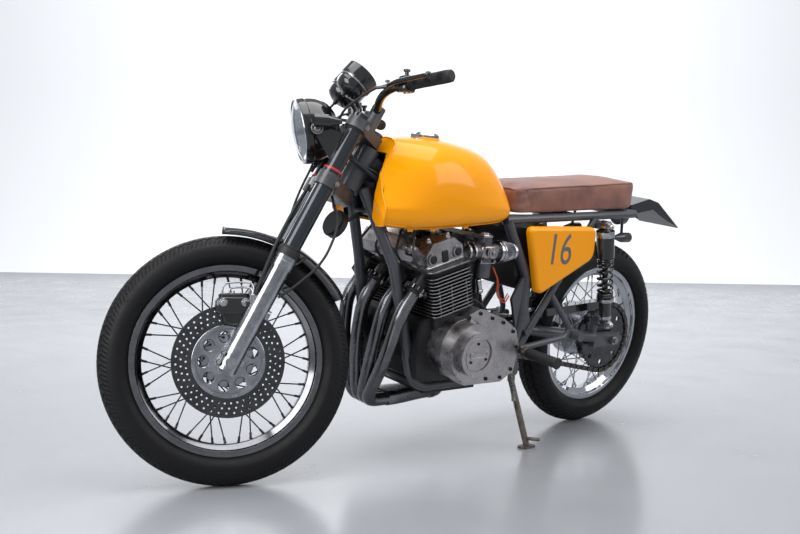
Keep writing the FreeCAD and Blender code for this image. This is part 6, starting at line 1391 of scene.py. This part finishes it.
# %% [markdown]
# ## Headlight and gauges
# Turned pieces about the lamp's beam and the dials' axes. The bowl follows
# r = R sqrt(1 - (d / D)^2.3), and the reflector is a paraboloid.

# %% Headlight
LAMP_AIM = math.radians(11.5)
beam = np.array([math.cos(LAMP_AIM), 0, -math.sin(LAMP_AIM)])
lamp_face = np.array([1.268, 0, 0.958])
deep = np.linspace(0, 1, 22)
bowl = [(0.0895 * math.sqrt(max(0.0, 1 - d ** 2.3)), -0.024 - 0.088 * d) for d in deep]
rim = rounded([(0.0835, -0.003), (0.0835, 0.0), (0.0905, -0.001), (0.092, -0.007), (0.092, -0.021),
               (0.0895, -0.024)], 0.0012)
inside = [(max(0.0, r - 0.0022), h + 0.002) for r, h in bowl[::-1]]
shell = [lathed(np.vstack([rim, bowl[1:], inside[:-1], [(0.0835, -0.003)]]), 128, lamp_face, beam)]
lamp = make("headlight_bowl", shell, "steering", black_paint)
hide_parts("headlight_shell")
bead_outline = [(0.085, -0.0005), (0.085, 0.0018), (0.0885, 0.0018), (0.0902, -0.0005)]
bead = turned_ring(rounded(bead_outline, 0.0009, closed=True), 128)
bright = [aimed(bead, lamp_face, beam)]
cup = [(0.0835 * t + 0.006, -0.058 + 0.052 * t * t) for t in np.linspace(0, 1, 16) ** 0.8]
cup = [(min(r, 0.0832), h) for r, h in cup]
cup += [(0.083, -0.0075), (0.0055, -0.0605), (0.006, -0.0605)]
bright.append(lathed(cup, 96, lamp_face, beam))
make("headlight_reflector", bright, "steering", chrome)
arc = np.linspace(0, 1, 18)
front_skin = [(0.0833 * (1 - t), 0.0005 + 0.0185 * math.sin(t * math.pi / 2)) for t in arc]
back_skin = [(r, h - 0.0032) for r, h in front_skin[::-1]]
lens = make("headlight_glass", [lathed(front_skin + back_skin[:-1] + [(0.0833, -0.0027)], 128,
                                       lamp_face - beam * 0.001, beam)], "steering", glass)
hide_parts("headlight_lens")
bulb = lathe([(0.0, -0.056), (0.008, -0.056), (0.0085, -0.046), (0.0075, -0.034), (0.004, -0.029),
              (0.0, -0.028)], 32)
make("headlight_bulb", [aimed(bulb, lamp_face, beam)], "steering", dial_white)
ear_bolts = []
for side in (1, -1):
    at = np.array([1.238, side * 0.1145, 0.95])
    ear_bolts += hex_head(at, [0, side, 0], 0.009, 0.0065)
    ear_bolts.append(aimed(plain_ring(0.0125, 0.0165, 0, 0.0035, 0.001, 40), at, [0, side, 0]))
make("ear_bolts", ear_bolts, "steering", steel)

# %% [markdown]
# The speedometer and the rev counter are two cups on one bracket. Each cup is a turned
# profile. The marks stand on a circle: the place of mark i is cos a_i ahead and sin a_i
# aside, with the angle a_i growing in equal steps.

# %% Gauges
GAUGE_TILT = math.radians(42)
GAUGE_X, GAUGE_SIDE, GAUGE_Z = 1.128, 0.058, 1.088
dial_axis = np.array([-math.sin(GAUGE_TILT), 0, math.cos(GAUGE_TILT)])
dial_ahead = np.array([math.cos(GAUGE_TILT), 0, math.sin(GAUGE_TILT)])
MARKS = 40
cups, chromes, faces, marks, panes = [], [], [], [], []
t = np.linspace(0, 1, 14)
for side in (1, -1):
    hub = np.array([GAUGE_X, side * GAUGE_SIDE, GAUGE_Z])
    nose = [(0.0, -0.039)] + [(0.006 + 0.0375 * math.sin(u * math.pi / 2),
                                -0.039 + 0.026 * (1 - math.cos(u * math.pi / 2))) for u in t]
    bezel = [(0.049, 0.0015), (0.0505, 0.004), (0.0505, 0.0375), (0.049, 0.039), (0.0465, 0.039),
             (0.0455, 0.034)]
    body = np.vstack([nose, [(0.0435, -0.01), (0.0435, 0.0), (0.0465, 0.0015)], rounded(bezel, 0.0008),
                      [(0.0, 0.034)]])
    cups.append(lathed(body, 96, hub, dial_axis))
    low_ring = [(0.046, -0.003), (0.0478, -0.001), (0.0478, 0.003), (0.043, 0.003), (0.043, -0.003)]
    chromes.append(aimed(turned_ring(rounded(low_ring, 0.0012, closed=True), 96), hub, dial_axis))
    chromes.append(aimed(plain_ring(0.0452, 0.0478, 0.0372, 0.0392, 0.0006, 96), hub, dial_axis))
    faces.append(lathed([(0, 0.0343), (0.0448, 0.0343), (0.0448, 0.0348), (0, 0.0348)], 64, hub, dial_axis))
    face = hub + dial_axis * 0.035
    for index in range(MARKS + 1):
        turned = math.radians(-135 + index * 270 / MARKS)
        out = math.cos(turned) * dial_ahead + math.sin(turned) * np.array([0, 1.0, 0])
        long = 0.004 if index % 5 == 0 else 0.0022
        marks.append(box(face + out * (0.0415 - long), [out, np.cross(dial_axis, out), dial_axis],
                         (long, 0.0005 if index % 5 else 0.0008, 0.0002), 0.3))
    way = unit(-0.72 * dial_ahead + 0.69 * np.array([0, -1.0, 0]))
    marks.append(box(face + way * 0.013 + dial_axis * 0.0012, [way, np.cross(dial_axis, way), dial_axis],
                     (0.02, 0.0007, 0.0003), 0.3))
    marks.append(lathed([(0, 0), (0.0045, 0), (0.0038, 0.0025), (0, 0.003)], 24, face, dial_axis))
    panes.append(lathed([(0, 0.0372), (0.0452, 0.0372), (0.0452, 0.038), (0, 0.0386)], 64, hub, dial_axis))
    cups.append(bar(hub - dial_axis * 0.038, hub - dial_axis * 0.046, 0.0065, 16))
cups.append(box([GAUGE_X, 0, 1.0755], [dial_ahead, [0, 1, 0], dial_axis], (0.016, 0.062, 0.0028), 0.3))
for side in (1, -1):
    foot = fork_point(0.7325, side * 0.024, 0.0)
    top = np.array([1.1365, side * 0.024, 1.0755])
    cups.append(hose([foot, foot + steer_axis * 0.045, top, top + dial_axis * 0.006], 0.02, 0.0058, 16))
gauge_cups = make("gauge_cups", cups, "steering", black_paint)
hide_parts("gauges")
make("gauge_rings", chromes, "steering", worn_chrome)
make("gauge_faces", faces, "steering", dial_black)
make("gauge_marks", marks, "steering", dial_white)
make("gauge_panes", panes, "steering", glass)
print("headlight", made["headlight_bowl"], "gauges", made["gauge_cups"])

# %% [markdown]
# ## Bar and grips
# The bar is one smooth tube. A grip is a tube whose radius follows two slanted waves,
# which leaves small diamonds.

# %% Bar, grips, switches
half_route = [(1.062, 0.0, 1.004), (1.062, 0.052, 1.01), (1.068, 0.118, 1.042), (1.056, 0.204, 1.052),
              (0.948, 0.352, 1.056)]
route = [np.array(p) * mirror for p in half_route[:0:-1]] + [np.array(p) for p in half_route[1:]]
bar_tube = make("bar_tube", [hose(route, 0.055, 0.0111, 32)], "steering", black_paint)
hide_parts("handlebar")
BAR_END, BAR_TURN = np.array(half_route[4]), np.array(half_route[3])
run = unit(BAR_TURN - BAR_END)


def on_bar(side, from_end):
    """A point on the straight run of one grip, measured inward from the bar's end."""
    return (BAR_END + run * from_end) * (mirror if side < 0 else 1)


rubbers, metal_black, silver_small = [], [], []
along = np.linspace(-0.004, 0.119, 92)
a = full_turn(72)
for side in (1, -1):
    aim = run * (mirror if side < 0 else 1)
    wave = np.cos(18 * a[None] + along[:, None] * 1200) * np.cos(18 * a[None] - along[:, None] * 1200)
    fade = np.clip(np.minimum(along + 0.002, 0.115 - along) / 0.004, 0, 1)[:, None]
    radius = 0.016 + 0.0009 * np.clip(wave * 2.5, -1, 1) * fade
    skin = np.stack([radius * np.cos(a), radius * np.sin(a), along[:, None] + 0 * a], -1)
    body = [grid(skin, close_columns=True), fan(skin[0], [0, 0, along[0]], True),
            fan(skin[-1], [0, 0, along[-1]])]
    rubbers.append([aimed(c, on_bar(side, 0.0), aim) for c in body])
    rubbers.append(aimed(plain_disc(0.0195, 0.004, 0.0012, 48), on_bar(side, 0.1175), aim))
    cap = lathe([(0, -0.005), (0.0135, -0.0048), (0.0158, -0.002), (0.0158, 0.001), (0, 0.001)], 48)
    rubbers.append(aimed(cap, on_bar(side, -0.003), aim))
    centre = on_bar(side, 0.136)
    bar_axes = [aim, np.cross([0, 0, 1.0], aim), [0, 0, 1.0]]
    metal_black.append(box(centre, bar_axes, (0.0135, 0.0215, 0.0215), 0.35))
    metal_black.append(bar(centre + [0, 0, 0.018], centre + [0, 0, 0.034], 0.0058, 20))
    metal_black.append(box(centre + [0, 0, 0.036], bar_axes, (0.0065, 0.0085, 0.0035), 0.4))
    metal_black.append(box(centre - aim * 0.002 + np.array([-0.018, 0, -0.004]),
                           [[0, 1, 0], [0, 0, 1], [1, 0, 0]], (0.006, 0.0035, 0.006), 0.4))
    for lift in (-0.012, 0.012):
        foot = centre - [0, 0, 0.0215] + aim * lift * 0.6
        silver_small += socket_head(foot, [0, 0, -1], 0.0026, 0.0025)
    perch = on_bar(side, 0.156)
    silver_small += hex_head(perch + np.array([0.035, 0, 0.0075]), [0, 0, 1], 0.0062, 0.005)
    adjuster = perch + aim * 0.03 + [0.022, 0, 0]
    metal_black.append(tube([perch + [0.012, 0, 0], adjuster], 0.0062, 16))
    metal_black.append(bar(adjuster, perch + aim * 0.046 + [0.027, 0, 0], 0.0048, 16))
grip_pair = make("grip_pair", rubbers, "steering", rubber)
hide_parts("grips")
make("switch_blocks", metal_black, "steering", black_paint)
make("switch_screws", silver_small, "steering", steel)
print("grips", made["grip_pair"])

# %% [markdown]
# ## Fork, caliper and fender
# Rings and seals are turned about the fork's legs, and bolts hold the yokes and the
# axle. Every height is measured along a leg, up from the axle.

# %% Fork trim
LEG_SIDE = 0.092
black_rings, bright_rings, red_rings, fork_bolts = [], [], [], []


def leg_ring(side, along, inner, outer, length, soft=0.001):
    """A ring round one fork leg, starting at a distance up from the axle."""
    return aimed(plain_ring(inner, outer, 0, length, soft, 48), fork_point(along, side * LEG_SIDE),
                 steer_axis)


for side in (1, -1):
    black_rings += [leg_ring(side, 0.3022, 0.0176, 0.0304, 0.03, 0.002),
                    leg_ring(side, 0.3325, 0.0176, 0.0268, 0.006, 0.002)]
    red_rings.append(leg_ring(side, 0.5655, 0.0247, 0.0276, 0.0115))
    bright_rings.append(leg_ring(side, 0.2945, 0.0312, 0.0322, 0.003, 0.0005))
    black_rings.append(leg_ring(side, 0.695, 0.0247, 0.0268, 0.0065))
    fork_bolts += hex_head(fork_point(0.7465, side * LEG_SIDE), steer_axis, 0.0125, 0.006)
    for along in (0.543, 0.717):
        fork_bolts += hex_head(fork_point(along, side * 0.112, -0.0245), [0, side, 0], 0.0066, 0.006)
    fork_bolts += socket_head(fork_point(0.01, side * 0.1205), [0, side, 0], 0.005, 0.0035)
    for along in (-0.014, 0.014):
        for aside in (-0.018, 0.018):
            place = fork_point(along, side * LEG_SIDE + aside, 0.0225)
            fork_bolts += hex_head(place, fork_forward, 0.0058, 0.005)
make("fork_seals", black_rings, "steering", rubber)
make("fork_bands", red_rings, "steering", red_paint)
make("fork_clips", bright_rings, "steering", worn_chrome)
make("fork_bolts", fork_bolts, "steering", steel)

# %% [markdown]
# The caliper grips the disc from both sides. It is built of softened blocks and turned
# caps. Ribs on the piston cap are cut to the circle: half a rib is sqrt(R² - d²) long
# at a distance d from the middle. Pipes and hoses start at its block.

# %% Brake caliper
CALIPER = np.array([1.444, 0.0, 0.4585])
caliper = [box(CALIPER + [0, 0.0785, 0.02], np.eye(3), (0.048, 0.014, 0.0235), 0.45),
           box(CALIPER + [0, 0.0405, 0.02], np.eye(3), (0.048, 0.007, 0.0235), 0.45),
           box(CALIPER + [0, 0.06, 0.0455], np.eye(3), (0.04, 0.027, 0.0085), 0.45),
           lathed(rounded([(0, 0.066), (0.0345, 0.066), (0.0345, 0.086), (0.031, 0.0915), (0.0275, 0.0915),
                           (0.0265, 0.088), (0, 0.088)], 0.0016), 96, CALIPER, y_axis),
           lathed(rounded([(0, 0.034), (0.03, 0.034), (0.033, 0.037), (0.033, 0.0475), (0, 0.0475)],
                          0.001), 64, CALIPER, y_axis)]
for offset in np.linspace(-0.021, 0.021, 9):
    tall = math.sqrt(max(1e-6, 0.0255 ** 2 - offset ** 2))
    caliper.append(box(CALIPER + [offset, 0.089, 0], np.eye(3), (0.0013, 0.0022, tall), 0.3))
arm_root = fork_point(0.15, 0.092, 0.02)
caliper.append(hose([CALIPER + [-0.03, 0.088, 0.026], CALIPER + [-0.055, 0.092, 0.026], arm_root], 0.02,
                    0.0125, 24))
caliper.append(hose([CALIPER + [-0.03, 0.088, 0.002], CALIPER + [-0.05, 0.09, -0.004],
                     fork_point(0.105, 0.092, 0.022)], 0.02, 0.009, 24))
caliper_obj = make("caliper_body", caliper, "steering", black_paint)
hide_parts("brake_caliper")
caliper_bolts = []
for offset in (-0.027, 0.03):
    at = CALIPER + [offset, 0.0925, 0.029]
    head = [(0, 0), (0.0105, 0), (0.0105, 0.0035), (0.0065, 0.0042), (0, 0.0042)]
    caliper_bolts.append(lathed(rounded(head, 0.0008), 32, at, y_axis))
    caliper_bolts += socket_head(at + [0, 0.004, 0], y_axis, 0.0052, 0.0022)
bleed = CALIPER + [0.002, 0.079, 0.0425]
caliper_bolts += hex_head(bleed, z_axis, 0.0055, 0.006)
caliper_bolts.append(bar(bleed, bleed + [0, 0, 0.017], 0.0026, 14))
long_pipe = [(0.031, 0.078, 0.042), (0.031, 0.078, 0.078), (-0.012, 0.082, 0.082), (-0.05, 0.088, 0.08)]
short_pipe = [(0.014, 0.078, 0.042), (0.014, 0.078, 0.066), (-0.02, 0.08, 0.069), (-0.048, 0.088, 0.066)]
pipe_paths = [[CALIPER + p for p in long_pipe] + [fork_point(0.178, 0.1, 0.03)],
              [CALIPER + p for p in short_pipe] + [fork_point(0.165, 0.1, 0.03)]]
caliper_bolts += [tube(smooth_path(path, 0.018, 0.003), 0.0023, 12) for path in pipe_paths]
block = fork_point(0.172, 0.104, 0.024)
caliper_bolts.append(box(block, np.eye(3), (0.011, 0.006, 0.012), 0.35))
make("caliper_metal", caliper_bolts, "steering", worn_chrome)
hose_route = [block + [-0.004, 0.002, 0.01], fork_point(0.235, 0.112, 0.034),
              fork_point(0.33, 0.098, 0.042), fork_point(0.44, 0.07, 0.04),
              fork_point(0.52, 0.03, 0.03)]
right_gauge = np.array([GAUGE_X, -GAUGE_SIDE, GAUGE_Z])
speedo_route = [right_gauge - dial_axis * 0.044, right_gauge - dial_axis * 0.085,
                fork_point(0.62, -0.05, 0.042), fork_point(0.48, -0.058, 0.038),
                fork_point(0.3, -0.122, -0.012), fork_point(0.12, -0.118, -0.05),
                fork_point(0.02, -0.072, -0.062)]
loop_route = [fork_point(0.52, 0.052, -0.035), fork_point(0.455, 0.09, -0.085),
              fork_point(0.34, 0.108, -0.092), fork_point(0.245, 0.104, -0.052),
              fork_point(0.205, 0.104, -0.03)]
steered_hoses = [hose(hose_route, 0.09, 0.0046, 14), hose(speedo_route, 0.09, 0.0034, 12),
                 hose(loop_route, 0.09, 0.0036, 12)]
master = on_bar(-1, 0.156) + np.array([0.022, 0.012, -0.004])
steered_hoses.append(hose([master, master + [0.03, 0.04, -0.02], [1.175, -0.045, 1.01],
                           [1.178, -0.03, 0.93], fork_point(0.562, 0.0, 0.04)], 0.06, 0.0046, 14))
make("steered_hoses", steered_hoses, "steering", rubber)

# %% [markdown]
# The fender is a thin arched blade over the tyre. Its radius falls off from the middle
# line with |v|^2.4, and it narrows at both ends. The same function gives the inner
# skin, a sheet's thickness below, so the blade is closed round its edge.

# %% Front fender
turn_at = np.radians(np.linspace(88, 152, 60))[:, None]
across = np.linspace(-1, 1, 33)[None]
to_end = np.minimum(turn_at - turn_at[0], turn_at[-1] - turn_at)
blade = 0.056 - 0.01 * np.clip(1 - to_end / 0.09, 0, 1) ** 2
arch = 0.359 - 0.016 * np.abs(across) ** 2.4


def fender_skin(inset):
    """Points of the fender: radius falls off towards the edges, over an arc of the wheel."""
    radius = arch - inset
    return np.stack([front_centre[0] + radius * np.cos(turn_at), blade * across,
                     front_centre[2] + radius * np.sin(turn_at)], -1)


outer_skin, inner_skin = fender_skin(0.0), fender_skin(0.0024)
whole = np.concatenate([outer_skin, inner_skin[:, ::-1]], 1)
guard = [grid(whole, close_columns=True), grid(np.stack([inner_skin[0], outer_skin[0]])),
         grid(np.stack([outer_skin[-1], inner_skin[-1]]))]
edge_line = np.concatenate([outer_skin[:, 0], outer_skin[-1, 1:-1], outer_skin[::-1, -1],
                            outer_skin[0, -2:0:-1], outer_skin[:1, 0]])
STAY_RADIUS = 0.343
stays = []
for side in (1, -1):
    foot = fork_point(0.3, side * LEG_SIDE, -0.03)
    for degrees in (122, 126):
        at = math.radians(degrees)
        tip = front_centre + [STAY_RADIUS * math.cos(at), side * 0.0545, STAY_RADIUS * math.sin(at)]
        stays.append(bar(foot, tip, 0.0045, 14))
fender = make("fender_blade", [guard, tube(edge_line - [0, 0, 0.0008], 0.0021, 8)] + stays, "steering",
              black_paint)
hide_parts("front_fender")
print("fender", made["fender_blade"], "caliper", made["caliper_body"])

# %% [markdown]
# ## Cables across the steering head
# These run from the turning bar to the frame.

# %% Crossing cables
def crossing(name, turned, fixed, radius):
    """A cable whose first points turn with the bar and whose last ones stay with the frame."""
    front_part, back_part = steered(np.array(turned)), upright(np.array(fixed))
    path = smooth_path(list(front_part) + list(back_part), 0.05)
    cable = make(name, [tube(path, radius, 12)], None, rubber, place=lambda points: points)
    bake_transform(cable)


CONTROL_CABLE = 0.0034
lever_out = on_bar(1, 0.156) + run * 0.046 + np.array([0.027, 0, 0])
clutch_turned = [lever_out, [1.12, 0.15, 1.04], [1.172, 0.085, 1.0], [1.172, 0.06, 0.93], [1.14, 0.056, 0.88]]
clutch_fixed = [[1.06, 0.052, 0.855], [1.02, 0.054, 0.8], [0.985, 0.07, 0.72]]
crossing("clutch_cable", clutch_turned, clutch_fixed, CONTROL_CABLE)
throttle_out = lever_out * mirror
crossing("throttle_cable", [throttle_out, [1.12, -0.15, 1.04], [1.176, -0.085, 0.99],
                            [1.17, -0.06, 0.93], [1.14, -0.056, 0.885]],
         [[1.06, -0.052, 0.865], [0.99, -0.046, 0.83], [0.86, -0.038, 0.77], [0.735, -0.03, 0.705]],
         CONTROL_CABLE)
crossing("wire_loom", [[1.166, 0.026, 0.972], [1.15, 0.046, 0.925], [1.128, 0.05, 0.88]],
         [[1.06, 0.054, 0.835], [1.01, 0.046, 0.81], [0.95, 0.04, 0.8]], 0.006)
print("cables", made["clutch_cable"], made["throttle_cable"])

# %% [markdown]
# ## Shocks, rear lamps, footpegs and stand
# A spring is a tube swept along a helix. Its pitch closes up at both ends, so the last
# turn lies flat on its seat, as a ground coil does.

# %% Shocks
SPRING_RADIUS, SPRING_WIRE, SPRING_TURNS = 0.025, 0.0036, 9
SPRING_ENDS = (0.1135, 0.2472)


def shock_frame(side):
    """Top eye of a shock and the direction from it to the low eye."""
    top_eye, low_eye = np.array([0.165, side * 0.15, 0.735]), np.array([0.092, side * 0.15, 0.399])
    return top_eye, unit(low_eye - top_eye), np.linalg.norm(low_eye - top_eye)


def coil(start, axis, length, radius, wire, turns):
    """Helix of r cos a, r sin a, and a height that eases in and out: s - 0.1 sin(2 pi s)."""
    share = np.linspace(0, 1, turns * 22 + 1)
    rise = length * (share - 0.1 * np.sin(2 * math.pi * share))
    angle = math.tau * turns * share
    line = np.stack([radius * np.cos(angle), radius * np.sin(angle), rise], -1)
    return tube(aimed((line, None), start, axis)[0], wire, 10)


springs, shock_bright, shock_nuts = [], [], []
for side in (1, -1):
    top_eye, down, span = shock_frame(side)
    springs.append(coil(top_eye + down * SPRING_ENDS[0], down, SPRING_ENDS[1] - SPRING_ENDS[0],
                        SPRING_RADIUS, SPRING_WIRE, SPRING_TURNS))
    for start, length, inner, outer in ((0.0168, 0.02, 0.029, 0.0312), (0.25, 0.0125, 0.0195, 0.03),
                                        (span - 0.03, 0.012, 0.0125, 0.0215)):
        ring = plain_ring(inner, outer, 0, length, 0.001, 48, 2)
        shock_bright.append(aimed(ring, top_eye + down * start, down))
    for along in (0.0, span):
        eye = top_eye + down * along
        shock_bright.append(aimed(plain_ring(0.016, 0.0178, -0.0145, 0.0145, 0.0008, 48), eye, [0, 1, 0]))
        face = eye + [0, side * 0.015, 0]
        shock_nuts.append(aimed(plain_ring(0.0082, 0.015, 0, 0.0028, 0.0005, 40), face, [0, side, 0]))
        shock_nuts += hex_head(face + [0, side * 0.003, 0], [0, side, 0], 0.0115, 0.0085)
        dome = [(0, 0.0085), (0.0085, 0.0085), (0.008, 0.012), (0.0058, 0.0148), (0.0028, 0.0162),
                (0, 0.0165)]
        shock_nuts.append(lathed(dome, 32, face + [0, side * 0.003, 0], [0, side, 0]))
spring_pair = make("spring_coils", springs, "chassis", black_paint)
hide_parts("shock_springs")
make("shock_collars", shock_bright, "chassis", worn_chrome)
make("shock_nuts", shock_nuts, "chassis", worn_chrome)

# %% [markdown]
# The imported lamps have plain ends. A domed lens is turned onto each: the red one of the
# tail lamp and the amber ones of the two indicators.

# %% Rear lamps
tail_face = np.array([-0.1118, 0.0, 0.752])
lens_profile = [(0, 0.0), (0.03, 0.0), (0.03, 0.003), (0.0275, 0.0052), (0.02, 0.0074),
                (0.01, 0.0086), (0, 0.009)]
make("tail_lens", [lathed(lens_profile, 64, tail_face, [-1, 0, 0])], "chassis", red_glass)
bullet_profile = [(0, 0.0), (0.015, 0.0), (0.015, 0.002), (0.012, 0.0042), (0.006, 0.0055), (0, 0.006)]
bullets = [lathed(bullet_profile, 40, [-0.0162, side * 0.112, 0.69], [-1, 0, 0]) for side in (1, -1)]
make("rear_bullet_lenses", bullets, "chassis", amber_glass)

# %% [markdown]
# Rubber ribs sit along each footpeg as rings at equal distances.

# %% Footpegs and stand
PEG_X, PEG_Z = 0.512, 0.338
peg_ribs, peg_joints = [], []
for side in (1, -1):
    for place in np.linspace(0.2, 0.306, 12):
        rib = plain_ring(0.0145, 0.0166, 0, 0.0055, 0.0009, 32, 2)
        peg_ribs.append(aimed(rib, [PEG_X, side * place, PEG_Z], [0, side, 0]))
    collar = plain_ring(0.012, 0.0175, 0, 0.015, 0.0015, 48)
    peg_joints.append(aimed(collar, [PEG_X, side * 0.1795, PEG_Z], [0, side, 0]))
    peg_joints += hex_head([PEG_X + 0.0175, side * 0.187, PEG_Z], [1, 0, 0], 0.0062, 0.005)
    peg_ribs.append(aimed(plain_disc(0.0182, 0.006, 0.0016, 48), [PEG_X, side * 0.3125, PEG_Z],
                          [0, side, 0]))
make("peg_ribs", peg_ribs, "chassis", rubber)
make("peg_joints", peg_joints, "chassis", rusty)
stand_pivot, stand_foot = np.array([0.514, 0.138, 0.268]), np.array([0.48, 0.214, 0.0])
leg_way = unit(stand_foot - stand_pivot)
spring_hook = stand_pivot + leg_way * 0.118 + np.array([0.0135, 0.0, 0.0])
spring_root = stand_pivot + np.array([0.0165, 0.004, 0.02])
pull = unit(spring_hook - spring_root)
pull_length = np.linalg.norm(spring_hook - spring_root)
stand_parts = [coil(spring_root + pull * 0.02, pull, pull_length - 0.04, 0.0058, 0.0011, 22),
               bar(spring_root, spring_root + pull * 0.022, 0.0013, 10),
               bar(spring_hook - pull * 0.022, spring_hook, 0.0013, 10)]
stand_spring = make("stand_spring", stand_parts, None, steel, place=upright)
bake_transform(stand_spring)
print("rear trim", made["spring_coils"], made["shock_collars"], made["peg_ribs"], made["stand_spring"])

# %% [markdown]
# ## Floor, light and camera
# A pale floor meets a pale wall in a soft curve. Large area lights stand at the sides
# and above, as in a photo studio.

# %% Studio
floor_finish = finish("floor", (0.3, 0.31, 0.33), 0.22, vary=0.07, scale=3)
wall_finish = finish("wall", (0.9, 0.91, 0.93), 0.7)
sweep = []
for u in np.linspace(0, 1, 40):
    if u < 0.5:
        sweep.append((4.5 - 12.0 * u * 2, 0.0))
    else:
        a = (u - 0.5) * math.pi
        sweep.append((-7.5 - 2.5 * math.sin(a), 2.5 - 2.5 * math.cos(a)))
sweep.append((-10.0, 9.0))
sweep = np.array(sweep)
look = np.array([math.cos(math.radians(230.5)), math.sin(math.radians(230.5))])
side_way = np.array([-look[1], look[0]])
across = np.linspace(-14, 14, 15)
studio = np.zeros((len(sweep), len(across), 3))
studio[..., 0] = -look[0] * sweep[:, 0][:, None] + side_way[0] * across[None]
studio[..., 1] = -look[1] * sweep[:, 0][:, None] + side_way[1] * across[None]
studio[..., 2] = sweep[:, 1][:, None]
mesh = bpy.data.meshes.new("floor")
mesh.from_pydata(studio.reshape(-1, 3).tolist(), [], quads(len(sweep), len(across)).tolist())
mesh.shade_smooth()
floor = bpy.data.objects.new("floor", mesh)
floor.data.materials.append(floor_finish)
floor.data.materials.append(wall_finish)
heights = studio[..., 2][:-1, :-1].ravel()
floor.data.polygons.foreach_set("material_index", (heights > 0.02).astype(np.int32))
bpy.context.scene.collection.objects.link(floor)


def area_light(name, place, target, size, power):
    """A soft rectangular light that faces a target."""
    data = bpy.data.lights.new(name, "AREA")
    data.shape = "RECTANGLE"
    data.size, data.size_y = size
    data.energy = power
    lamp = bpy.data.objects.new(name, data)
    lamp.location = place
    lamp.rotation_mode = "QUATERNION"
    lamp.rotation_quaternion = (Vector(target) - Vector(place)).to_track_quat("-Z", "Y")
    bpy.context.scene.collection.objects.link(lamp)


area_light("overhead", (0.2, 0.5, 4.2), (0, 0, 0.4), (4.6, 3.6), 165)
area_light("front_left", (3.8, 0.4, 2.2), (0.2, 0, 0.6), (2.2, 3.0), 105)
area_light("rear_left", (-2.6, 3.2, 2.4), (-0.2, 0, 0.6), (2.6, 2.6), 55)
area_light("far_side", (-0.5, -3.6, 2.6), (0, 0, 0.6), (4.0, 2.0), 60)
wall_light = np.append(look * 3.2, 5.5)
area_light("wall_wash", wall_light.tolist(), np.append(look * 9.0, 2.2).tolist(), (9.0, 2.0), 500)
world = bpy.data.worlds.new("studio")
bpy.context.scene.world = world
world.use_nodes = True
set_values(world.node_tree.nodes["Background"], {"Color": (0.86, 0.89, 0.94, 1), "Strength": 0.52})

# %% [markdown]
# The camera stands ahead of the machine on its left side, at tank height. Its place,
# aim and focal length were fitted to the wheels and the fork in the photograph.

# %% Camera
CAMERA_FROM_REAR = np.array([2.7624, 2.2536])
CAMERA_HEIGHT = 0.715
SENSOR_WIDTH, FOCAL_PIXELS, IMAGE_PIXELS = 36, 976.1, 800
YAW, PITCH, ROLL = math.radians(230.05), math.radians(-2.78), math.radians(0.96)
camera_data = bpy.data.cameras.new("camera")
camera_data.sensor_width = SENSOR_WIDTH
camera_data.lens = FOCAL_PIXELS / IMAGE_PIXELS * SENSOR_WIDTH
camera = bpy.data.objects.new("camera", camera_data)
camera.location = (rear_place[0] + CAMERA_FROM_REAR[0], rear_place[1] + CAMERA_FROM_REAR[1], CAMERA_HEIGHT)
gaze = np.array([math.cos(PITCH) * math.cos(YAW), math.cos(PITCH) * math.sin(YAW), math.sin(PITCH)])
right = unit(np.cross(gaze, [0, 0, 1]))
top = np.cross(right, gaze)
right, top = (math.cos(ROLL) * right + math.sin(ROLL) * top, math.cos(ROLL) * top - math.sin(ROLL) * right)
camera.rotation_mode = "QUATERNION"
camera.rotation_quaternion = Matrix(np.stack([right, top, -gaze], 1).tolist()).to_quaternion()
bpy.context.scene.collection.objects.link(camera)
bpy.context.scene.camera = camera
bpy.context.scene.view_settings.view_transform = "Standard"
print("camera", tuple(round(v, 3) for v in camera.location))

# %% [markdown]
# ## Print the triangle counts and finish

# %% Finish
print("triangles by piece", made, "in all", sum(made.values()))
